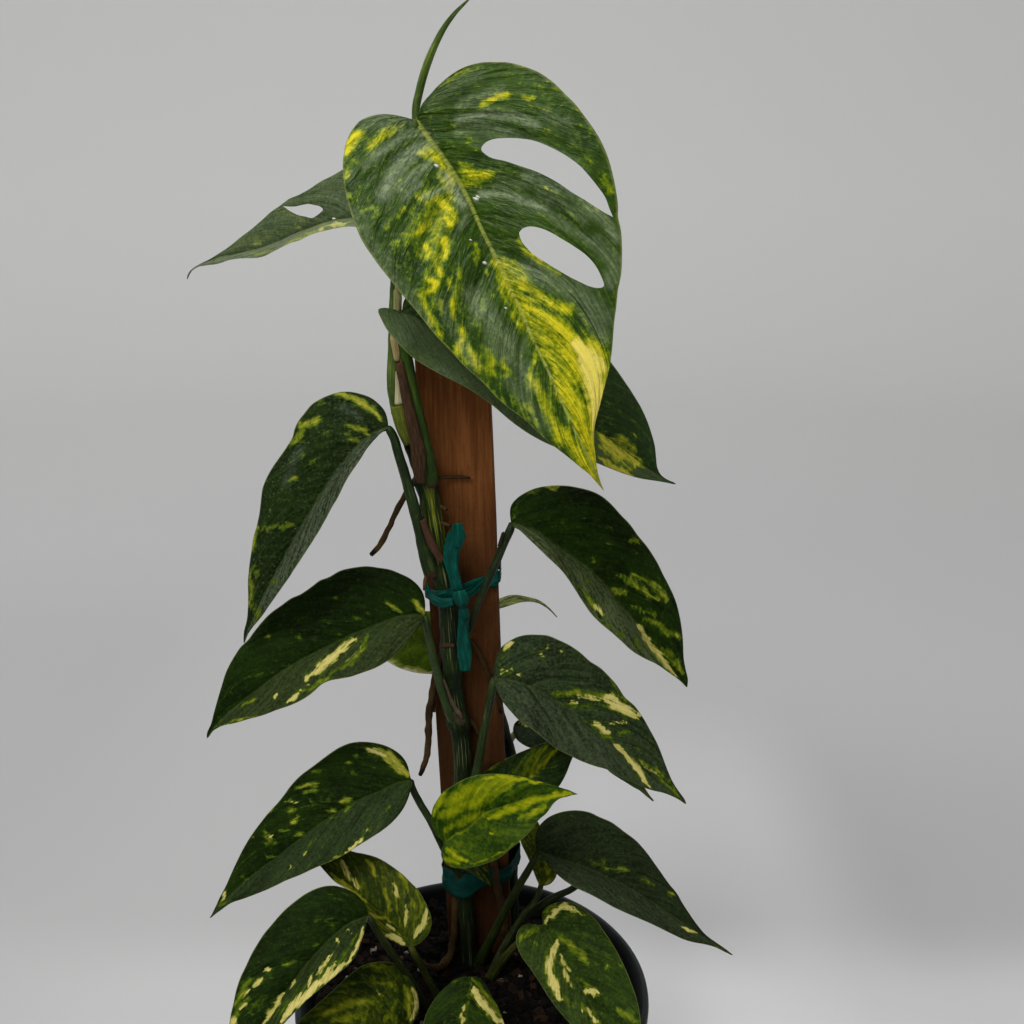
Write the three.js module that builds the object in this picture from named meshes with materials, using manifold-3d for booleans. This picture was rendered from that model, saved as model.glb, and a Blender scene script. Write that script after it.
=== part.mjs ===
// A yellow flame pothos with slit leaves, tied to a rough cedar stake in a round nursery pot.
// Millimetres, +Z up. The origin is the centre of the pot's underside, the plant faces -Y, and the stake leans to -X.
import * as THREE from 'three';
import { mergeVertices } from 'three/addons/utils/BufferGeometryUtils.js';
import Module from 'manifold-3d';

const wasm = await Module();
wasm.setup();

// Driving dimensions, mm
const RIM_R = 101.6; // outer radius of the rolled rim: an 8 inch pot
const POT_H = 190;
const FOOT_R = 75; // outer radius of the pot's foot
const WALL_TOP_R = 94.4; // outer radius of the wall just under the rim
const WALL = 1.6;
const FLOOR_T = 2.2;
const RIM_DROP = 13; // height of the rolled rim
const RIM_W = 6.6; // width of the rim seen from above
const DRAINS = 8; // drain holes round the foot
const DRAIN_R = 6;
const DRAIN_RING_R = 58;
const SOIL_TOP = 181; // mean level of the soil
const SOIL_ROUGH = 1.5;
const GAP = 0.3; // air between two neighbouring pieces
const STAKE_W = 38; // 2 inch nominal, ripped thin
const STAKE_T = 19;
const STAKE_L = 610; // 24 inch
const STAKE_FOOT = [9.2, 52.3, FLOOR_T + 1.4]; // centre of the stake's foot
const STAKE_TOP = [-9.7, 34.2]; // x, y of the centre of its top
const LEAF_T = 1.0; // blade thickness of the solids
const MID_COL = 0.55; // where a blade's rib has its middle point
const BULGE = 0.05; // how far that point rises, by the rib's length
const TAPE_T = 0.9;
const TAPE_W = 7;

// Each blade: ribs from the sinus to the tip, [midrib xyz, left margin xyz, right margin xyz], and the slits cut through it,
// each a ring of points in front of the blade and one behind it.
const LEAVES = [
  { name: 'leaf_top', ribs: [
    [-20.3,-4.5,663.4,-19.4,-4.7,663.8,-21.7,-4.6,663.4],
    [-20.3,-4.5,663.4,-16.6,-5.2,671,-28.5,-4.7,665.3],
    [-20.3,-4.5,663.4,-11.3,-6.6,676.7,-35.4,-5.3,666.2],
    [-20.3,-4.5,663.4,-3,-9.3,683,-44.3,-7.5,663.6],
    [-16.4,-5.7,658.3,9.2,-13.6,687.3,-50.9,-12.2,654.6],
    [-10.4,-7.5,650.6,24.8,-19.3,686.3,-52.3,-18.4,641.2],
    [-3.3,-9.8,640.6,40.6,-24.7,678.4,-49.2,-25,625.8],
    [4.1,-12.5,627.6,54.4,-29.4,663.9,-41.5,-29.9,609.4],
    [10.8,-15.4,613.4,64.3,-33,646.8,-30.5,-31.8,594.8],
    [18.1,-18.3,598.6,68.7,-34.5,627.3,-18.7,-33.1,580.5],
    [25.8,-21.4,583.5,71,-35.1,607.2,-6.5,-34.4,566.2],
    [32.9,-24.5,567.5,69.3,-34.6,586.5,7,-34.8,552.7],
    [40.8,-27.7,551.2,67.7,-34.5,565.2,20.9,-35.4,539.2],
    [48.6,-30.9,534.4,63.8,-34.2,543.7,35.9,-35.7,526.5],
    [57,-34.2,517.4,60.8,-34.8,521.7,51.2,-36.3,513.8],
    [65.5,-37.6,500,65.5,-37.6,500,65.5,-37.6,500]], slits: [
    { near: [[65.2,-50.9,623.7],[61.6,-50.9,631.8],[55.2,-50.9,639.8],[44.7,-50.9,648.5],[32.3,-50.9,653.9],[19.9,-50.9,655.1],[11.7,-50.9,653.2],[11.6,-50.9,648.9],[19.9,-50.9,646.1],[32.3,-50.9,642.1],[42.8,-50.9,637],[53.3,-50.9,630.6],[62.7,-50.9,624.9]],
      far: [[71.9,25.1,620.5],[67.8,25.1,629.8],[60.3,25.1,639.1],[48.2,25.1,649.1],[33.8,25.1,655.5],[19.5,25.1,656.9],[9.9,25.1,654.6],[9.9,25.1,649.6],[19.4,25.1,646.4],[33.8,25.1,641.8],[45.9,25.1,635.8],[58.1,25.1,628.4],[68.9,25.1,621.9]] },
    { near: [[25.7,-57.1,617.5],[30.3,-57.1,620.1],[38.6,-57.1,617.9],[49.1,-57.1,611.8],[57.6,-57.1,604.5],[61.6,-57.1,595.8],[55.7,-57.1,595.6],[47.2,-57.1,599.5],[36.6,-57.1,605.7],[28.6,-57.1,611.8]],
      far: [[26.2,18.9,613.2],[31.5,18.9,616.3],[41.1,18.9,613.7],[53.3,18.9,606.7],[63.2,18.9,598.1],[67.8,18.9,588.1],[61,18.9,587.8],[51.1,18.9,592.4],[38.9,18.9,599.5],[29.6,18.9,606.7]] }] },
  { name: 'leaf_upper_back', ribs: [
    [-31.4,31,615.9,-31.3,29.6,614.6,-30.9,32,617.8],
    [-31.4,31,615.9,-32.9,23.9,611.6,-27.2,34.3,624.6],
    [-31.4,31,615.9,-37.7,17.6,613.6,-26.6,38.4,632.1],
    [-37.5,34.9,617.4,-44.8,14.1,616.2,-29.9,44.6,642.3],
    [-48.8,41.9,618.9,-56.6,17.9,617.2,-42.5,52.3,651],
    [-64.6,51.3,617.8,-72.2,30.7,613.1,-61.4,56.8,644.9],
    [-83,62.3,612.7,-90.2,47.7,607.2,-81.1,64.2,633.1],
    [-102.6,73.8,605.3,-108,61.8,599.7,-103.4,77.1,622.1],
    [-124.2,85.8,599,-128.7,79.9,595.6,-124.9,88.6,608],
    [-145.6,97.1,593.5,-148.5,96.4,591.2,-145,96.9,594.8],
    [-161.4,106.9,583,-161.4,106.9,583,-161.4,106.9,583]], slits: [
    { near: [[-87.9,23.4,625.7],[-85.9,23.4,625.4],[-82.1,23.4,625.4],[-78.7,23.4,626.1],[-75.7,23.4,626.6],[-72.9,23.4,626.1],[-70,23.4,625.4],[-68.6,23.4,624],[-70.2,23.4,622.4],[-72.2,23.4,621],[-74.2,23.4,620.1],[-77.5,23.4,620.8],[-80.9,23.4,621.5],[-84.6,23.4,623.3]],
      far: [[-103,99.4,623.1],[-100.8,99.4,622.9],[-96.4,99.4,622.9],[-92.5,99.4,623.7],[-89.2,99.4,624.2],[-86,99.4,623.7],[-82.7,99.4,622.9],[-81.1,99.4,621.3],[-82.9,99.4,619.4],[-85.2,99.4,617.8],[-87.4,99.4,616.8],[-91.2,99.4,617.6],[-95.1,99.4,618.4],[-99.3,99.4,620.5]] }] },
  { name: 'leaf_second', ribs: [
    [-30.5,9.1,576.2,-29.6,10.7,578.4,-31.7,7.4,576.9],
    [-30.5,9.1,576.2,-26,16,585.9,-39.8,2.4,579.2],
    [-30.5,9.1,576.2,-17.8,20.4,590.1,-37.5,-6.3,573.1],
    [-22.8,9.7,573.4,-4.6,25.1,592.3,-29.2,-12.5,564.5],
    [-10.7,10.7,565.2,14.8,31.3,590,-15.5,-13.3,553.8],
    [5.9,12,554.5,37.7,35.8,582.5,2.7,-12,542.6],
    [25.5,13.5,541.8,59.3,37,567.4,21.7,-10.5,528.6],
    [46.2,15.1,528,75.5,34.6,546.7,41.9,-8.9,515.6],
    [68.5,16.8,514.1,90.5,30.6,525,64.4,-3.6,504.6],
    [88.9,18.5,498.6,97,23.7,502.4,87.5,12.1,492.6],
    [107.7,19.8,487,107.7,19.8,487,107.7,19.8,487]] },
  { name: 'leaf_left_a', ribs: [
    [-39,7.8,519.5,-39.9,6.3,518.3,-39.3,9,521.2],
    [-39,7.8,519.5,-44.5,0.3,516.5,-42.4,14.2,528.4],
    [-39,7.8,519.5,-48.1,-5.6,513,-49.5,18.5,533.3],
    [-45.6,7.7,517,-52.2,-12.5,507.2,-61.9,21.6,535.2],
    [-55.5,7.4,509.1,-58.5,-16.6,497.2,-79.1,22.7,529.1],
    [-66.4,7.2,495.8,-66.8,-16.5,483.6,-91.1,20.1,511.6],
    [-77.7,7,479,-75.8,-16,468.5,-104,18.8,490.9],
    [-89.3,6.8,460.7,-86.4,-10,451.1,-109.7,15.6,467.8],
    [-100.6,6.6,440.8,-98.3,-4.9,434.4,-115.3,12.5,444.1],
    [-111.1,6.4,421.3,-110.7,4.4,416.5,-115.9,8.3,422.1],
    [-118.8,6.3,403.6,-118.8,6.3,403.6,-118.8,6.3,403.6]] },
  { name: 'leaf_left_b', ribs: [
    [-24,14,415.8,-23.8,11.9,414.9,-24,15.4,418.1],
    [-24,14,415.8,-27.3,5.8,411.5,-24.6,20,425.7],
    [-24,14,415.8,-31,0.7,408,-29.9,22.9,432.2],
    [-31.1,13.1,416.4,-36.9,-4.4,402.7,-41,24.8,437.8],
    [-43.3,11.8,413.8,-47.2,-11.7,398.2,-58.8,25.9,439.6],
    [-59,10.1,407.6,-62.1,-13.9,393.8,-79,23.9,432.8],
    [-76.8,8.2,399.4,-77.6,-15.8,387.8,-99.1,20.6,421.2],
    [-95.1,6.2,389.8,-93.2,-13.9,377.4,-116,15.9,406],
    [-113,4.2,377.3,-110.7,-10.5,369.3,-129.4,10.7,387.4],
    [-129.6,2.4,364.5,-128.8,-2.8,360.3,-136.1,4.5,367.7],
    [-141.3,0.9,350.4,-141.3,0.9,350.4,-141.3,0.9,350.4]] },
  { name: 'leaf_right_a', ribs: [
    [22.8,10.4,468.3,22.3,11.8,470.1,23.3,8.7,467.3],
    [22.8,10.4,468.3,23,17.7,476.9,28.5,3.2,465.9],
    [22.8,10.4,468.3,29.3,22.6,481.5,33,-1.7,463.3],
    [29.2,10.2,466.7,40.7,27,484.5,39,-8.8,459.6],
    [39.5,9.9,460.8,58.3,31.1,482.6,47.3,-14.1,452.5],
    [52.4,9.5,451.2,76.7,31.5,471.9,56.1,-14.5,440.3],
    [66.8,9.2,439.3,92,28.1,454.7,65.7,-14.8,427],
    [79.7,8.9,423.7,104.8,25.5,435.2,77.4,-15.1,415.4],
    [92.8,8.6,406.8,113.1,20.9,413.7,90.9,-10.4,402.8],
    [104.5,8.4,389.8,115.7,15.5,393,105.3,-2.1,390.8],
    [116.8,8.1,377.1,116.8,8.1,377.1,116.8,8.1,377.1]] },
  { name: 'leaf_right_b', ribs: [
    [13,15.1,378.4,13,16.1,379.7,13,13.8,377.2],
    [13,15.1,378.4,13.9,21.1,386.3,15.5,8.3,373.5],
    [13,15.1,378.4,17.1,25.5,392.6,18.7,2.9,370.3],
    [19.7,14.1,378.1,26.9,28.5,398,24.4,-3.8,366.4],
    [31.1,12.5,375.4,43.5,28.9,397.9,34,-8.8,360.5],
    [45.1,10.5,368.6,61,25.7,388.7,45.8,-9.2,350.6],
    [60.2,8.2,358.6,77.8,21.5,375.6,60.1,-10.9,343.2],
    [75.3,5.8,346.6,91.8,16.8,359.5,75.3,-11.7,337.3],
    [91.1,3.4,334.3,102.4,10.4,341.8,90.7,-7.5,326.9],
    [105.8,1,322,109.8,3.6,324.7,106,-2.6,318.6],
    [118,-0.9,311,118,-0.9,311,118,-0.9,311]] },
  { name: 'leaf_left_c', ribs: [
    [-34,18,313.9,-33.3,16.3,313.7,-36.3,18.8,314.7],
    [-34,18,313.9,-34.7,10.6,309.4,-36.8,24.9,320.9],
    [-34,18,313.9,-37,4.6,305.9,-42.6,29.5,325.9],
    [-41.1,17,313,-42.4,-2.3,301.5,-54,32.8,329.6],
    [-53,15.3,307.9,-52.7,-8.7,296.1,-71.8,34.5,327.9],
    [-68.5,13,300.9,-66.9,-11,287.8,-89.9,30.4,317.9],
    [-85.6,10.4,290.3,-83.4,-10.5,278.2,-106.3,24.8,303.5],
    [-102.6,7.8,277.6,-100.6,-9.2,268.6,-120.5,18.8,286.7],
    [-120.3,5,264.3,-118.6,-5.8,257.7,-132.7,11.9,269.1],
    [-136.6,2.5,250.4,-136.5,-0.4,246.5,-141,4.6,251.8],
    [-148.8,0.3,236.3,-148.8,0.3,236.3,-148.8,0.3,236.3]] },
  { name: 'leaf_center', ribs: [
    [-12.6,-16.5,298.1,-14.3,-15.9,297.7,-12.6,-17.6,297],
    [-12.6,-16.5,298.1,-18,-13.5,300.5,-14.9,-19.1,293.1],
    [-12.6,-16.5,298.1,-20.2,-11.5,304.8,-13.8,-22.7,290.3],
    [-9.2,-17.1,301.2,-20.5,-9.4,312,-7.9,-28.9,290.5],
    [-2.7,-18.2,305.8,-15.5,-8.8,322.3,1.8,-33.9,294.1],
    [5.1,-19.7,313.3,-4.6,-11.3,331.6,12.8,-38.8,301.3],
    [14.5,-21.3,320.6,8.7,-13,336.7,22.8,-41,310.8],
    [25.4,-23,325.9,22.4,-16.3,338.1,31.8,-38.3,318.4],
    [36.6,-24.7,330.6,35.6,-20.7,337.5,39.8,-33.7,325.8],
    [47.6,-26.3,332.8,47.4,-24.5,335.8,47.9,-28.5,331.5],
    [57,-27.6,333.7,57,-27.6,333.7,57,-27.6,333.7]] },
  { name: 'leaf_behind_center', ribs: [
    [14.3,23.3,303.6,12.5,23.4,304.3,15.4,21.9,302.6],
    [14.3,23.3,303.6,9.6,24.2,306.5,17.9,19.8,301],
    [14.3,23.3,303.6,7.5,25.6,309.2,21,18.5,299.9],
    [17.2,24.6,304.4,7,27.9,312.8,25.7,17.3,298.9],
    [22.4,26.8,305.6,12.9,31.6,316,32.8,17.5,298.8],
    [29.3,29.7,307.4,20.9,35.7,318.7,40.8,20.2,300.7],
    [37,33.1,310.2,30.1,39.5,321.3,48.1,24.5,304.7],
    [44.9,36.6,313.7,39.6,42.6,323.5,53.3,30.3,310.1],
    [52.6,40.3,318.3,49.4,44.8,325.5,57.1,36.6,316.2],
    [59.9,43.7,322.7,58.7,46,326.3,61.5,42.1,321.7],
    [66.6,46.7,325.8,66.6,46.7,325.8,66.6,46.7,325.8]] },
  { name: 'leaf_back_small', ribs: [
    [40.2,64.7,324.6,38.4,65.3,327,37.2,63.5,325.3],
    [40.2,64.7,324.6,38.4,66.9,329.9,33.9,62.2,329],
    [40.2,64.7,324.6,39.7,68.7,332.1,29.7,60.6,330.4],
    [42.7,65.7,324.4,42.9,71.2,334.6,24.9,58.9,328.3],
    [47.3,67.4,323.8,49.3,74.1,335.7,24.9,49.9,324.2],
    [53.3,69.7,321.6,57.5,76.3,333.4,32.6,45.3,320.2],
    [60.2,72.4,318.1,65.7,78.2,328.2,43.1,48.8,315.7],
    [67.2,75.2,313.3,72.9,79.8,321.3,54.3,55.8,310.3],
    [74.3,78.2,307.6,79,81.5,312.8,65.9,64.8,304.3],
    [80.9,81.1,301.8,83.3,82.6,304.1,77,74.3,299.2],
    [86.4,83.5,296.5,86.4,83.5,296.5,86.4,83.5,296.5]] },
  { name: 'leaf_right_c', ribs: [
    [37.3,2.1,278.6,36.2,3.2,279.7,38.4,0.9,277.4],
    [37.3,2.1,278.6,36.2,9.4,284.8,42.4,-4,275.5],
    [37.3,2.1,278.6,40.1,15.3,288.9,46.5,-9,274],
    [43.6,1.6,276.6,49.8,21.3,291.9,52.6,-17,273.4],
    [54.5,0.8,272.6,66.2,24.8,290.6,62.6,-23.2,270.9],
    [69.1,-0.3,267.2,83.5,21.4,282.3,75.5,-23.2,263.3],
    [85.4,-1.5,259,99.6,16,270.1,90.2,-20.6,253.7],
    [101.8,-2.7,248.6,111.6,8.5,255.3,105.6,-14,240.3],
    [118.4,-3.9,236.7,122.7,1.2,239.8,121.4,-8.9,228.5],
    [134.4,-5.1,225.4,135.1,-3.9,226.2,136.5,-6.9,222.8],
    [148.3,-6.1,216.3,148.3,-6.1,216.3,148.3,-6.1,216.3]] },
  { name: 'leaf_right_low', ribs: [
    [41.2,-9.7,238.1,40.2,-7.7,239.2,39,-10.3,237.9],
    [41.2,-9.7,238.1,40.6,-2.7,243.2,33.5,-8.8,239],
    [41.2,-9.7,238.1,45.8,-0.5,246.8,28.1,-10.6,238.6],
    [43.4,-13.6,235.8,55.2,-2.5,249,25.2,-17.3,235.2],
    [47.6,-20.6,232.2,66.3,-11.4,247.3,29.4,-26.7,230],
    [53.4,-29.8,227.9,75.6,-24.2,242.1,37.1,-37.1,225],
    [59.7,-40.5,223.2,82.9,-38.4,235.4,44.8,-48.6,219.9],
    [66.1,-51.7,218.8,87.8,-52.5,228.1,53.8,-59.1,215.9],
    [71.7,-63.3,214.2,89.2,-65.9,220,62.9,-69.1,212.1],
    [76.2,-74.4,209.8,86,-77.1,211.9,71.3,-77.9,208.8],
    [78.7,-83.7,206,78.7,-83.7,206,78.7,-83.7,206]] },
  { name: 'leaf_left_small', ribs: [
    [-32.9,-24.7,238.7,-33.9,-26.1,237.8,-31.7,-25.8,237.7],
    [-32.9,-24.7,238.7,-38.1,-25.7,238.8,-26.9,-24.9,240],
    [-32.9,-24.7,238.7,-42,-24.7,240.3,-23.3,-23,243.3],
    [-35.5,-22.3,241.2,-47.2,-22.5,242.7,-21.6,-19.2,249.1],
    [-41,-17.9,245,-53.3,-17.4,246.5,-25.1,-12.9,256.6],
    [-49,-12,249.5,-59.7,-9.9,251.3,-33.3,-5.4,263.7],
    [-58.8,-5.2,254.4,-68.1,-3,256.2,-45,2.3,269.3],
    [-69,1.9,259.8,-78.1,2,260.5,-58.8,8.7,272.2],
    [-79.7,9.2,265.8,-86.7,8.8,265.8,-73.8,13.6,273.4],
    [-90.5,16.2,271,-94.1,16,271.1,-87.6,18.6,275],
    [-99.4,22.1,276.2,-99.4,22.1,276.2,-99.4,22.1,276.2]] },
  { name: 'leaf_left_d', ribs: [
    [-53.1,-37.6,266.6,-54,-39.2,266,-53.8,-36.3,268.1],
    [-53.1,-37.6,266.6,-54.7,-44.6,263.5,-57.1,-32.4,273.2],
    [-53.1,-37.6,266.6,-55.2,-49.8,261.1,-63.2,-30.6,277.3],
    [-58.5,-40.2,266,-57.1,-57.3,258.3,-73.2,-30.8,280.4],
    [-67.2,-44.8,262.8,-63.7,-64.9,254.8,-86.8,-35.1,277.9],
    [-76.8,-50.8,255.8,-73,-72.4,251.2,-99.9,-42.3,269.6],
    [-86.7,-57.8,246.5,-82.6,-78.5,244.7,-110.6,-51,258.1],
    [-96.2,-65,236.2,-92.3,-82.4,235.9,-117.4,-60.3,244.6],
    [-105.4,-72.6,225.3,-102.6,-84.8,226,-121,-69.8,230.4],
    [-113.6,-79.7,214.9,-112.3,-86.1,215.9,-122.1,-78.5,217],
    [-120.3,-85.8,206.1,-120.3,-85.8,206.1,-120.3,-85.8,206.1]] },
  { name: 'leaf_left_e', ribs: [
    [-34.3,-45.6,199.5,-34.6,-48.4,199.5,-32.9,-43.3,200.1],
    [-34.3,-45.6,199.5,-35.3,-53.3,199.6,-28.8,-37.2,201.4],
    [-34.3,-45.6,199.5,-36.4,-58.2,200,-27.8,-32,205.5],
    [-37.9,-48,201.3,-38.5,-64.8,200.9,-30.7,-27.5,213.6],
    [-44,-52.3,203.6,-43.2,-72.5,202.4,-40.1,-25.3,225.1],
    [-51.8,-58,205.1,-50,-78.9,203.2,-56.1,-31.2,231.4],
    [-60,-64.5,205.2,-57.9,-83.6,203.2,-69.4,-43.8,228.5],
    [-68.4,-71.3,205.3,-66,-87.6,203.4,-81,-56.9,224.7],
    [-76.5,-78.3,204.8,-74.6,-90.2,203.3,-90.1,-69.8,219.3],
    [-83.9,-85,204.1,-82.7,-91.5,203.3,-92.6,-81.9,211.3],
    [-89.9,-90.7,203.4,-89.9,-90.7,203.4,-89.9,-90.7,203.4]] },
  { name: 'leaf_front', ribs: [
    [-0.3,-26.1,216.8,0.7,-24.3,216.6,-1.5,-24.3,216.7],
    [-0.3,-26.1,216.8,5,-24,215.7,-6,-23.7,215.9],
    [-0.3,-26.1,216.8,8.3,-27.4,214.9,-9.8,-25.8,215.2],
    [-0.1,-31.1,216.6,11.3,-34,213.8,-14.4,-31,214.7],
    [-0.3,-40,216.4,15.4,-43,212.2,-19.7,-40.5,214.9],
    [-0.9,-51.9,216.6,19.1,-55,211,-23.2,-54.4,215.8],
    [-1.5,-65.6,217.3,19.9,-70.4,211.9,-23.3,-70,216.6],
    [-2,-80.1,218.7,16.4,-85.9,214.3,-19.7,-85.5,218.3],
    [-2.4,-95,220.7,10.2,-100.2,218,-13.8,-99.6,220.5],
    [-2.4,-109.2,223.3,3.4,-112.2,222.5,-6.9,-111.3,222.9],
    [-1.9,-121.3,225.9,-1.9,-121.3,225.9,-1.9,-121.3,225.9]] },
  { name: 'leaf_back_left', ribs: [
    [-13.2,60.1,378.3,-12,58.1,376,-12.1,60.6,381.2],
    [-13.2,60.1,378.3,-10.7,55.7,373.1,-11.1,61.3,385.1],
    [-13.2,60.1,378.3,-9.9,53.3,370.2,-10.7,62.1,388.8],
    [-16.5,60.8,378.2,-12.8,51,366.2,-13.7,63.8,393.2],
    [-22.4,62.1,378,-20.3,50.9,363.9,-20.6,66.2,396.3],
    [-30.1,63.9,378.4,-29.8,52.7,363.8,-30.2,68.2,396.1],
    [-39.1,65.9,378,-40.1,56.2,364.5,-40.7,70,394.1],
    [-48.7,68.1,377.3,-49.7,61.1,367.1,-51,71.5,390.2],
    [-58.7,70.3,376.3,-59.5,66,369.8,-60.7,72.7,384.8],
    [-68.3,72.4,375.2,-68.8,70.3,371.8,-69.4,73.5,378.9],
    [-76.5,74.2,373.9,-76.5,74.2,373.9,-76.5,74.2,373.9]] },
  { name: 'leaf_tiny_a', ribs: [
    [39.6,15,247.6,39,14.9,247,40.7,14.6,247.2],
    [39.6,15,247.6,37.8,15.1,249.6,43.6,13.6,248.9],
    [39.6,15,247.6,36.7,15.3,252.3,46,12.9,251.4],
    [39.3,15.2,250.6,35.3,15.6,256.1,48,12.4,255.8],
    [38.9,15.6,255.9,33.1,15.8,261.5,48.2,12.7,262.5],
    [38,16.2,262.9,30.5,16.1,268,46.3,13.8,269.7],
    [36.6,16.8,270.8,28,16.4,275.2,43,15.2,276.9],
    [34.8,17.5,278.9,26,16.7,282.4,39.5,16.5,284.1],
    [32.3,18.2,287.1,24.5,17.3,289.7,35.6,17.6,291.1],
    [29.4,18.8,294.6,24.8,18.2,296.1,31.2,18.6,296.8],
    [26.8,19.4,300.9,26.8,19.4,300.9,26.8,19.4,300.9]] },
  { name: 'leaf_tiny_b', ribs: [
    [-11.2,10.2,274.3,-11.2,11.3,276.2,-12.2,8.8,274],
    [-11.2,10.2,274.3,-9.8,12.2,277.3,-12.2,7.3,273.1],
    [-11.2,10.2,274.3,-8.4,13,278.3,-12.1,5.9,272.2],
    [-9.8,10,273.5,-5.8,13.5,278.2,-11.4,4.4,270.9],
    [-7.3,9.7,272,-1.9,13.8,277.3,-9.3,3.1,269],
    [-4.2,9.2,269.9,1.9,13,274.5,-5.9,3.1,267],
    [-0.6,8.7,267.3,5.5,12,270.8,-2,4,264.9],
    [2.8,8.2,264,7.8,10.5,266.3,1.4,4.4,261.8],
    [6,7.7,260.3,9.5,9.1,261.5,4.9,5.1,258.6],
    [8.6,7.2,256.3,10.2,7.9,256.8,8.1,6.1,255.4],
    [10.8,6.8,252.9,10.8,6.8,252.9,10.8,6.8,252.9]] },
  { name: 'leaf_right_hidden', ribs: [
    [67.7,29.2,242.2,66.6,30.2,244.2,68.8,27.7,241.2],
    [67.7,29.2,242.2,66.7,32.6,245.6,70.1,26.8,240.3],
    [67.7,29.2,242.2,66.8,35,247.1,71.4,26,239.3],
    [69.7,31.4,241.4,68.9,39.4,247.8,73.5,25.5,237.9],
    [73.2,35.4,240.1,73.1,45.1,247.9,77,26.2,235.4],
    [78.2,40.7,237.4,79.9,51.2,245.4,81.6,29.6,231.3],
    [84.1,46.9,233.6,87.4,56.2,240.5,87.1,35.6,225.7],
    [90.5,53.4,228.4,94.3,60.1,233.8,93.2,45.2,218.6],
    [97.1,60.2,221.4,100.4,64.3,225.1,99.4,56.7,211.5],
    [103.2,66.7,213.8,104.7,68.2,215.6,104.7,66.1,207.2],
    [108.3,72.2,206.9,108.3,72.2,206.9,108.3,72.2,206.9]] },
  { name: 'leaf_back_arch', ribs: [
    [3.2,60.5,396.3,-2.8,61.3,396.4,-2.8,59.9,396.4],
    [3.2,60.5,396.3,-1.2,65.4,396.9,-1.2,56.7,396.7],
    [3.2,60.5,396.3,0.5,68.3,397.2,0.5,54.3,396.9],
    [5.5,60.8,397.7,5.2,71.4,398.9,5.2,52.3,398.5],
    [9.6,61.3,400,9.6,74.2,401.5,9.6,51,401],
    [15.5,62,402.3,15.5,75.5,404,15.5,51.2,403.4],
    [22.4,62.8,404.5,22.4,75,406,22.4,53,405.5],
    [30,63.7,404.9,30,73.3,406,30,56,405.6],
    [37.9,64.7,403.2,37.9,70.8,404,37.9,59.8,403.7],
    [44.4,65.7,398.4,44.4,68.5,398.8,44.4,63.5,398.7],
    [49,66.6,393.1,49,66.6,393.1,49,66.6,393.1]] },
];
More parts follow.
